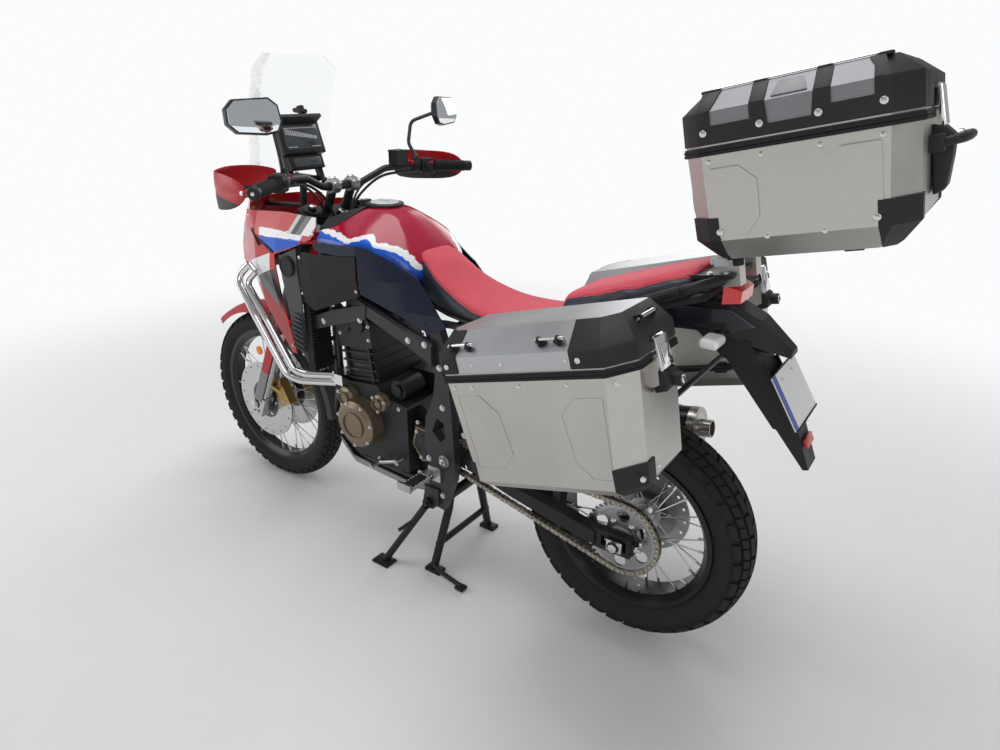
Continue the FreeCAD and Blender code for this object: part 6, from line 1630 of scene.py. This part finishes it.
bolts = [hex_bolt((x, 135.6, z), (0, 1, 0), 5, 6) for x, z in CRANKCASE_BOLTS]
bolts += [hex_bolt((x, 131.6, z), (0, 1, 0), 4.6, 6) for x, z in HEAD_BOLTS]
done(both(*bolts), "case_bolts", "chassis", "bright_bolt")

# %% [markdown]
# Each radiator is a block of thin bars in front of its core, and its hoses end in clips that
# are plain bent bands.

# %% Radiators and hoses
grille = [slab((1145, y - 1.2, 644), (1150.5, y + 1.2, 852)) for y in (112, 137, 162)]
for index in range(18):
    z = 648 + index * 11.6
    grille.append(slab((1144, 98, z), (1149.4, 177, z + 2.4)))
    grille.append(slab((1112, 98, z), (1119, 177, z + 2.4)))
done(both(*grille), "radiator_grille", "chassis", "radiator_black")
clips = []
for place, along, radius in (((1132, 132, 612), (0, 0, 1), 14.2), ((1046, 114, 556), (1, 0, 0), 14.2),
                             ((1120, 115, 870), (1, 0.1, 0.1), 13.2),
                             ((1036, 103, 828), (0.9, 0.1, 0.6), 13.2)):
    band = [(radius, -4), (radius + 1.6, -4), (radius + 1.6, 4), (radius, 4)]
    clips.append(turned(band, place, 24, along))
done(both(*clips), "hose_clips", "chassis", "bright_bolt")

# %% [markdown]
# Everything on the bar turns with the steering. Its places are counted along the steering head
# or along the bar's end, and the bar's direction there is a vector that all of its parts share.

# %% Places on the bar, and the grips
RAKE = math.radians(26.5)
STEER_UP = Vector((-math.sin(RAKE), 0, math.cos(RAKE)))
STEER_AHEAD = Vector((math.cos(RAKE), 0, math.sin(RAKE)))
HEAD = Vector((1132.5, 0, 1100))
BAR_MIDDLE = Vector((1109.7, 0, 1213))
BAR_BEND = Vector((1053.7, 262, 1259))
BAR_TIP = Vector((952, 446, 1249))
BAR_ALONG = (BAR_TIP - BAR_BEND).normalized()
BAR_BACK = Vector((0, 0, 1)).cross(BAR_ALONG).normalized()


def steered(ahead, across, up):
    """A place counted from the steering head, along and across its axis."""
    return HEAD + STEER_AHEAD * ahead + Vector((0, across, 0)) + STEER_UP * up


def on_bar(inward, back=0, up=0):
    """A place by the left grip: millimetres in from the bar's end, towards the rider and up."""
    return BAR_TIP - BAR_ALONG * inward + BAR_BACK * back + Vector((0, 0, up))


ridges = [(12, 4), (17.4, 4)]
for index in range(18):
    start = 8 + index * 6
    ridges += [(18.2, start), (18.2, start + 3.6), (17.0, start + 4.2), (17.0, start + 5.6)]
ridges += [(21.5, 116), (21.5, 122), (12, 122)]
grip = turned(ridges, BAR_TIP, 28, -BAR_ALONG)
done(both(grip), "grips", "steering", "soft_rubber", smooth=25)
weight = drum(on_bar(3), on_bar(-20), 17.5, 28, 4, 3)
screw = drum(on_bar(-19), on_bar(-22), 6, 6, 0.6)
done(both(weight), "bar_weights", "steering", "black_metal")
done(both(screw), "bar_weight_screws", "steering", "bright_bolt")


# %% [markdown]
# A switch box sits beside each grip. The left one has more buttons, the right one a red switch,
# and the brake's reservoir stands on the right with a screwed lid.

# %% Switch boxes and reservoir
def bar_block(inward_from, inward_to, back, down, up, edge=4):
    """A box round the bar, from one place along it to another."""
    corners = [on_bar(inward_from, -back, down), on_bar(inward_from, back, down),
               on_bar(inward_from, back, up), on_bar(inward_from, -back, up)]
    return outlined(corners, -BAR_ALONG * (inward_to - inward_from), edge, 3)


switch_box = [bar_block(126, 172, 21, -26, 24, 5), bar_block(176, 200, 15, -17, 17, 4),
              bar_block(140, 160, 29, -10, 12, 3)]
switch_box.append(drum(on_bar(188, -14, 0), on_bar(188, -46, 2), 9, 24, 2))
done(both(*switch_box), "switch_boxes", "steering", "black_plastic")
left_buttons = [bar_block(131, 141, 26, 6, 14, 1.5), bar_block(160, 170, 25, -16, -8, 1.5)]
left_buttons.append(dome(on_bar(150, 29, 2), BAR_BACK, 5, 4))
done(left_buttons, "left_buttons", "steering", "grey_plastic")
right_switch = crossed(bar_block(132, 146, 25, 8, 16, 1.5))
done(right_switch, "right_switch", "steering", "hand_red")
pot_lid = slab((1042, -246, 1305), (1090, -194, 1311), 2.5, 3)
pot_screws = [dome((x, y, 1311), (0, 0, 1), 3.5, 1.5, 12) for x in (1048, 1084) for y in (-240, -200)]
done(pot_lid, "reservoir_lid", "steering", "black_plastic")
done(pot_screws, "reservoir_screws", "steering", "bright_bolt")

# %% [markdown]
# Two clamps hold the bar with four bolts, hexagon heads close the fork and the steering head,
# and two looms run from each switch box to the middle.

# %% Bar clamps and looms
clamp_bolts = []
for y in (-51, -29, 29, 51):
    for ahead in (-15, 15):
        base = BAR_MIDDLE + STEER_AHEAD * ahead + Vector((0, y, 0)) + STEER_UP * 8
        clamp_bolts.append(drum(base, base + STEER_UP * 16, 5, 14, 1))
for y in (-98, 98):
    clamp_bolts.append(drum(steered(38, y, 36), steered(38, y, 43), 11, 6, 1))
clamp_bolts.append(drum(steered(0, 0, 28), steered(0, 0, 36), 16, 6, 1.2))
done(clamp_bolts, "clamp_bolts", "steering", "bright_bolt")
caps = []
for y in (-40, 40):
    base = BAR_MIDDLE + Vector((0, y, 0))
    caps.append(drum(base - Vector((0, 17, 0)), base + Vector((0, 17, 0)), 23, 36, 2, 3))
done(caps, "bar_clamps", "steering", "engine_grey")
thick_loom = pipe([on_bar(172, -6, -16), on_bar(212, -6, -22), (1064, 226, 1238), (1090, 160, 1232),
                   (1104, 96, 1196), (1118, 50, 1150), (1122, 34, 1108)], 4.6, 2)
thin_loom = pipe([on_bar(190, -40, 2), on_bar(214, -64, -2), (1120, 180, 1236), (1136, 100, 1200),
                  (1140, 60, 1140), (1138, 46, 1100)], 4.0, 2)
done(both(thick_loom, thin_loom), "bar_cables", "steering", "hose_black", "black_plastic")

# %% [markdown]
# The hand guards are one bent sheet each. Rows of corners follow the CAD guard, Subdivision
# rounds them and Solidify gives the wall.

# %% Hand guards and mirrors
# x, y, then the height of the lower and of the upper edge, from the bar's end round to the front.
GUARD_ROWS = [(978, 466, 1230, 1264), (1000, 471, 1212, 1278), (1040, 473, 1198, 1289),
              (1096, 466, 1192, 1292), (1136, 450, 1191, 1292), (1156, 412, 1193, 1296),
              (1163, 378, 1197, 1299), (1158, 330, 1206, 1298), (1149, 298, 1213, 1296),
              (1132, 268, 1228, 1290), (1118, 248, 1239, 1283)]
rows = []
for x, y, low, top in GUARD_ROWS:
    out = Vector((x - 1020, y - 250, 0)).normalized()
    row = []
    for share, bulge in ((0, -3), (0.18, -1), (0.42, -0.4), (0.5, -2.6), (0.58, -0.4), (0.82, -1), (1, -4)):
        place = Vector((x, y, low + (top - low) * share)) + out * bulge
        row.append(tuple(place))
    rows.append(row)
guard = skin(rows)
rounder(guard, 1)
apply(guard, "SOLIDIFY", thickness=mm(4), offset=-1)
soften(guard, 1.0, 2, 40)
foot = drum(on_bar(-2), (982, 463, 1247), 9, 20, 1.5)
stay = pipe([(1036, 262, 1268), (1086, 262, 1272), (1116, 252, 1264)], 7, 3)
guards = both(guard, foot, stay)
done(guards, "hand_guard_shells", "steering", "guard_plastic", "hand_red", 40, ("hand_guards",))
screws = [dome((1120, 247, 1262), (0.6, 0.8, 0), 6.5, 6), dome((979, 470, 1247), (0, 1, 0), 7, 3)]
done(both(*screws), "hand_guard_screws", "steering", "bright_bolt")

MIRROR_OUTLINE = [(-76, -18), (-62, -42), (-30, -48), (52, -40), (76, -16), (74, 22), (50, 44),
                  (-48, 46), (-72, 26)]
mirror_frame = (Matrix.Translation(at(995, 393, 1433)) @ Matrix.Rotation(math.radians(8), 4, "Y")
                @ Matrix.Rotation(math.radians(-12), 4, "Z") @ Matrix.Translation(-at(0, 0, 0)))
bezel = outlined([(1, y, z) for y, z in MIRROR_OUTLINE], (-4, 0, 0), 1.6, 3)
glass = outlined([(-2.6, y * 0.93, z * 0.90) for y, z in MIRROR_OUTLINE], (-1.2, 0, 0), 0.5, 2)
into(mirror_frame, [bezel, glass])
done(both(bezel), "mirror_rims", "steering", "mirror_black")
done(both(glass), "mirror_glasses", "steering", "mirror_glass", "mirror_black")
ball = drum((1012, 350, 1428), (1004, 366, 1430), 11, 24, 3)
nut = drum((1041, 276.6, 1276), (1041, 276.6, 1292), 10, 6, 1)
done(both(ball, nut), "mirror_joints", "steering", "mirror_black")

# %% [markdown]
# The displays are glossy panels in a plastic surround. They show only plain bars and fields,
# since the real ones are off or unreadable.

# %% Dash and screen mounts
DASH_FRAME = sloped_frame(1290, 1351, math.radians(19))
bezel_big = slab((-3, -84, -51), (4, 84, 49), 3, 3)
bezel_small = slab((5, -68, -99), (12, 68, -57), 3, 3)
big = slab((-4.4, -72, -38), (-2, 72, 40), 1, 2)
small = slab((3.4, -56, -92), (6, 56, -64), 1, 2)
keys = [slab((-4.6, y - 5, -48), (-2, y + 5, -43), 1) for y in (-40, -20, 0, 20, 40)]
lugs = [drum((26, y, z), (40, y, z), 6, 16, 1) for y in (-76, 76) for z in (-36, 38)]
surround = [bezel_big, bezel_small] + keys + lugs
done(into(DASH_FRAME, surround), "display_surround", "chassis", "black_plastic")
done(into(DASH_FRAME, [big, small]), "display_glass", "chassis", "display", "black_gloss", 30)
fields = [slab((-5.0, -66, 28), (-4, 66, 31)), slab((-5.0, -66, -32), (-4, -30, -30)),
          slab((-5.0, 30, -32), (-4, 66, -30))]
fields += [slab((-5.0, -60 + 9 * index, -8 + 1.3 * index), (-4, -54 + 9 * index, 2 + 2.0 * index))
           for index in range(14)]
done(into(DASH_FRAME, fields), "display_bars", "chassis", "pale_grey", "aluminium")
screen_bolts = [drum((1426, 80.6, 1216), (1436, 80.6, 1218), 8.5, 20, 1.5),
                drum((1388, 62, 1395), (1398, 62, 1398), 7.5, 20, 1.5),
                drum((1379, 62, 1430), (1389, 62, 1433), 7.5, 20, 1.5)]
done(both(*screen_bolts), "screen_bolts", "chassis", "black_plastic")
socket = drum((1262, -58, 1208), (1252, -58, 1204), 15, 32, 2)
done(socket, "power_socket", "chassis", "black_plastic")
BOWL = [(0.01, -16), (10, -14), (16, -4), (17, 2), (15, 2), (9, -11), (0.01, -13)]
bowls = [turned(BOWL, (1522 - y * 0.55, y, 1036), 32, (1, 0.3, 0.02)) for y in (40, 80)]
done(both(*bowls), "lamp_reflectors", "chassis", "polished_steel")

# %% [markdown]
# The rear end: a red lamp with its row of diodes, a blank plate with a plain blue band, the
# adaptor between rack and top case, rubbers on the foot rests, and the silencer's end.

# %% Tail, plate and rack
diodes = []
for index in range(7):
    y = -36 + index * 12
    diodes.append(slab((-213.5 + abs(y) * 0.10, y - 4, 1066), (-205, y + 4, 1083), 1.5))
done(diodes, "lamp_diodes", "chassis", "tail_glow", "tail_red")
PLATE_FRAME = sloped_frame(-340, 856, math.radians(32))
band = slab((-17.0, 72, -65), (-15.8, 94.5, 65))
corner_bolts = [dome((-16, y, 44), (-1, 0, 0), 5, 1.8) for y in (-40, 40)]
holder = [slab((-13.2, -97, -70), (-10, 97, 68), 1), slab((-17.5, -97, -71), (-11, 97, -66), 1),
          slab((-17.5, -97, 66), (-11, 97, 69), 1)]
done(into(PLATE_FRAME, [band]), "plate_band", "chassis", "plate_blue", "plate_white")
done(into(PLATE_FRAME, corner_bolts), "plate_bolts", "chassis", "bright_bolt")
done(into(PLATE_FRAME, holder), "plate_holder", "chassis", "black_plastic")
plate_lamp = side_cut([(-268, 978), (-292, 968), (-288, 950), (-262, 952)], -26, 26, 3, 3)
done(plate_lamp, "plate_lamp", "chassis", "black_plastic")
reflector = outlined([(-404, -30, 742), (-404, 30, 742), (-394, 30, 762), (-394, -30, 762)], (-6, 0, 3), 1.5)
done(reflector, "rear_reflector", "chassis", "red_reflector", "tail_red")
tail_side = outlined([(20, 66, 1000), (-90, 63, 1040), (-196, 52, 1046), (-258, 42, 1012),
                      (-200, 62, 990), (-60, 70, 990)], (0, 5, 0), 2.5, 3)
done(both(tail_side), "tail_panels", "chassis", "black_gloss", smooth=30)
rib = side_cut([(-292, 930), (-384, 792), (-378, 786), (-284, 922)], 46, 50, 1)
done(both(rib), "mudguard_ribs", "chassis", "black_plastic")
grab_handle = pipe([(110, 158, 978), (0, 160, 1050), (-110, 150, 1096)], 13.2, 4)
done(both(grab_handle), "grab_handles", "chassis", "black_plastic")
rack_bolts = [hex_bolt((x, y, z), (-0.12, 0, 1), 6, 5)
              for x, z in ((-152, 1128.6), (-188, 1135.2)) for y in (-92, 92)]
done(rack_bolts, "rack_bolts", "chassis", "bright_bolt")
adaptor = into(BOX_FRAME, [slab((x - 18, y - 18, -BOX_DEPTH - 14), (x + 18, y + 18, -BOX_DEPTH - 6), 2.5, 3)
                           for x in (-80, 150) for y in (-84, 84)])
knobs = into(BOX_FRAME, [drum((150, y, -243), (150, y, -258), 12, 24, 2) for y in (-84, 84)])
latch = into(BOX_FRAME, [slab((172, 36, -262), (206, 84, -236), 6, 3),
                         slab((204, 44, -256), (216, 76, -240), 4, 3)])
done(adaptor, "adaptor_blocks", "chassis", "black_plastic")
done(knobs, "adaptor_knobs", "chassis", "black_plastic")
done(latch, "adaptor_latch", "chassis", "pale_grey", "aluminium")

# %% [markdown]
# The top case's front carries a soft pad for the passenger's back: foam under a smooth cover,
# rounded at its edges and crowned in the middle.

# %% Backrest pad
pad_rows = []
for x, wide, low, high in ((206, 100, -150, -34), (212, 112, -158, -28), (224, 114, -160, -26),
                           (234, 100, -150, -34), (238, 60, -124, -58)):
    middle = (low + high) / 2
    pad_rows.append([(x, y, z) for y, z in ((-wide, low + 18), (-wide + 18, low), (0, low - 2),
                                            (wide - 18, low), (wide, low + 18), (wide, middle),
                                            (wide, high - 18), (wide - 18, high), (0, high + 2),
                                            (-wide + 18, high), (-wide, high - 18), (-wide, middle))])
pad = skin(pad_rows, closed=True, caps=True)
rounder(pad, 2)
pad = done(into(BOX_FRAME, [pad]), "backrest_pad", "chassis", "soft_rubber", smooth=60)

# %% [markdown]
# The rider's foot rests have steel teeth round a rubber, and the passenger's are ribbed rubber
# sleeves, turned from a section with ten ridges. The stands get their feet and the tread that
# the rider steps on.

# %% Foot rests and stands
peg_rubber = slab((614, 198, 387), (646, 278, 394), 2.5, 3)
ridges = [(9, 0), (13.4, 0)]
for start in range(0, 90, 9):
    ridges += [(14.2, 3 + start), (14.2, 8 + start), (13.2, 9 + start), (13.2, 11 + start)]
ridges += [(13.4, 94), (9, 94)]
sleeve = turned(ridges, (432, 146, 607), 28)
done(both(peg_rubber, sleeve), "peg_rubbers", "chassis", "soft_rubber", smooth=30)
teeth = [slab((x - 1.5, y - 3.4, 386), (x + 3, y + 3.4, 392), 0.8, 1)
         for y in range(182, 290, 12) for x in (608.5, 648.5)]
done(both(*teeth), "peg_teeth", "chassis", "bright_bolt")
foot = slab((604, 138, 11), (660, 170, 15), 1.5)
done(both(foot), "stand_feet", "centre_stand", "black_metal")
step_pad = slab((486, 170, 12), (514, 194, 17), 1.5)
done(step_pad, "stand_tread", "centre_stand", "soft_rubber")
sole = slab((772, 200, 7), (834, 242, 11), 2)
done(sole, "side_stand_sole", "side_stand", "black_metal")

# %% [markdown]
# The silencer is black over a bare metal end. Two bands clamp it, a ring closes its end, and a
# heat shield of bent sheet stands a little off its outer side.

# %% Silencer
SILENCER_FIELD = [(-60, 500), (410, 440), (420, 640), (-60, 700)]
painted("exhaust_metal", (0.40, 0.37, 0.34), [(SILENCER_FIELD, (0.030, 0.030, 0.032, 1), 0)],
        0.3, 0.0, 0.08, 500, metal=0.9)
dress("exhaust", "exhaust_metal")
can_start = Vector((410, -204, 520))
can_way = (Vector((-84, -210, 604)) - can_start).normalized()
bands = [turned([(59, -7), (62.5, -7), (62.5, 7), (59, 7)], can_start + can_way * run, 56, can_way)
         for run in (60, 430)]
cap_ring = turned([(24, 0), (58, -4), (60.5, -12), (61.5, -26), (56, -26), (24, -3)],
                  (-86, -210, 604.4), 56, can_way)
done(bands + [cap_ring], "silencer_bands", "chassis", "steel", smooth=30)
across = can_way.cross(Vector((0, 0, 1))).normalized()
upward = across.cross(can_way).normalized()
shield_rows = []
for run in (70, 110, 250, 380, 410):
    half = 46 if run in (70, 410) else 58
    row = []
    for degrees in (-half + 178, -half * 0.5 + 178, 178, half * 0.5 + 178, half + 178):
        turn = math.radians(degrees)
        outward = across * math.cos(turn) + upward * math.sin(turn)
        row.append(tuple(can_start + can_way * run + outward * 64))
    shield_rows.append(row)
shield = skin(shield_rows)
rounder(shield, 1)
apply(shield, "SOLIDIFY", thickness=mm(2), offset=0)
done(shield, "silencer_shield", "chassis", "steel", smooth=40)

# %% [markdown]
# The fork ends carry gold calipers with their pins, and an orange reflector sits on each fork
# guard. The drive chain gets the pins that join its plates.

# %% Front end and chain
two_tone("caliper_metal", ((0.42, 0.27, 0.09), 0.34, 0.9), ((0.020, 0.020, 0.021), 0.42, 0.1), 72,
         radius_about((1457, 0, 410)))
dress("front_axle_and_calipers", "caliper_metal")
CALIPER = (1457.6, 0, 410.4)
pins = []
for reach in (-32, 0, 32):
    x, y, z = about_axle(CALIPER, reach, 62, 82)
    pins.append(drum((x, y, z), (x, y + 5, z), 6, 6, 0.8))
done(both(*pins), "caliper_pins", "steering", "bright_bolt")
reflector = turned([(0.01, 0), (17, 0), (17, 3), (14, 5), (0.01, 5.4)], (1482, 131, 597), 32)
done(both(reflector), "fork_reflectors", "steering", "orange_reflector", "hand_red")


CHAIN_PITCH, CHAIN_LINKS = 15.875, 114
REAR_TEETH, FRONT_TEETH = 42, 16
REAR_SPROCKET, FRONT_SPROCKET = (0, 362), (662, 440)


def chain_pins():
    """Pin places of the chain's loop round both sprockets, as in the CAD."""
    reach, rise = FRONT_SPROCKET[0] - REAR_SPROCKET[0], FRONT_SPROCKET[1] - REAR_SPROCKET[1]
    big, small = (CHAIN_PITCH / (2 * math.sin(math.pi / teeth)) for teeth in (REAR_TEETH, FRONT_TEETH))
    span, lean = math.hypot(reach, rise), math.atan2(rise, reach)
    wrap = math.asin((big - small) / span)
    straight = math.sqrt(span ** 2 - (big - small) ** 2)
    runs = [straight, small * (math.pi - 2 * wrap), straight, big * (math.pi + 2 * wrap)]
    top, total = math.pi / 2 + lean - wrap, sum(runs)
    low = top - math.pi + 2 * wrap
    places = []
    for index in range(CHAIN_LINKS):
        run = total * index / CHAIN_LINKS
        centre, radius, turn, along = REAR_SPROCKET, big, top, run
        if run >= total - runs[3]:
            turn, along = low - (run - total + runs[3]) / big, 0
        elif run >= runs[0] + runs[1]:
            centre, radius, turn, along = FRONT_SPROCKET, small, low, run - runs[0] - runs[1]
        elif run >= runs[0]:
            centre, radius, turn, along = FRONT_SPROCKET, small, top - (run - runs[0]) / small, 0
        ahead = turn - math.pi / 2
        places.append((centre[0] + radius * math.cos(turn) + along * math.cos(ahead),
                       centre[1] + radius * math.sin(turn) + along * math.sin(ahead)))
    return places


rivets = [drum((x, 82.6, z), (x, 101.4, z), 2.6, 8) for x, z in chain_pins()]
done(rivets, "chain_rivets", "chassis", "bright_bolt")
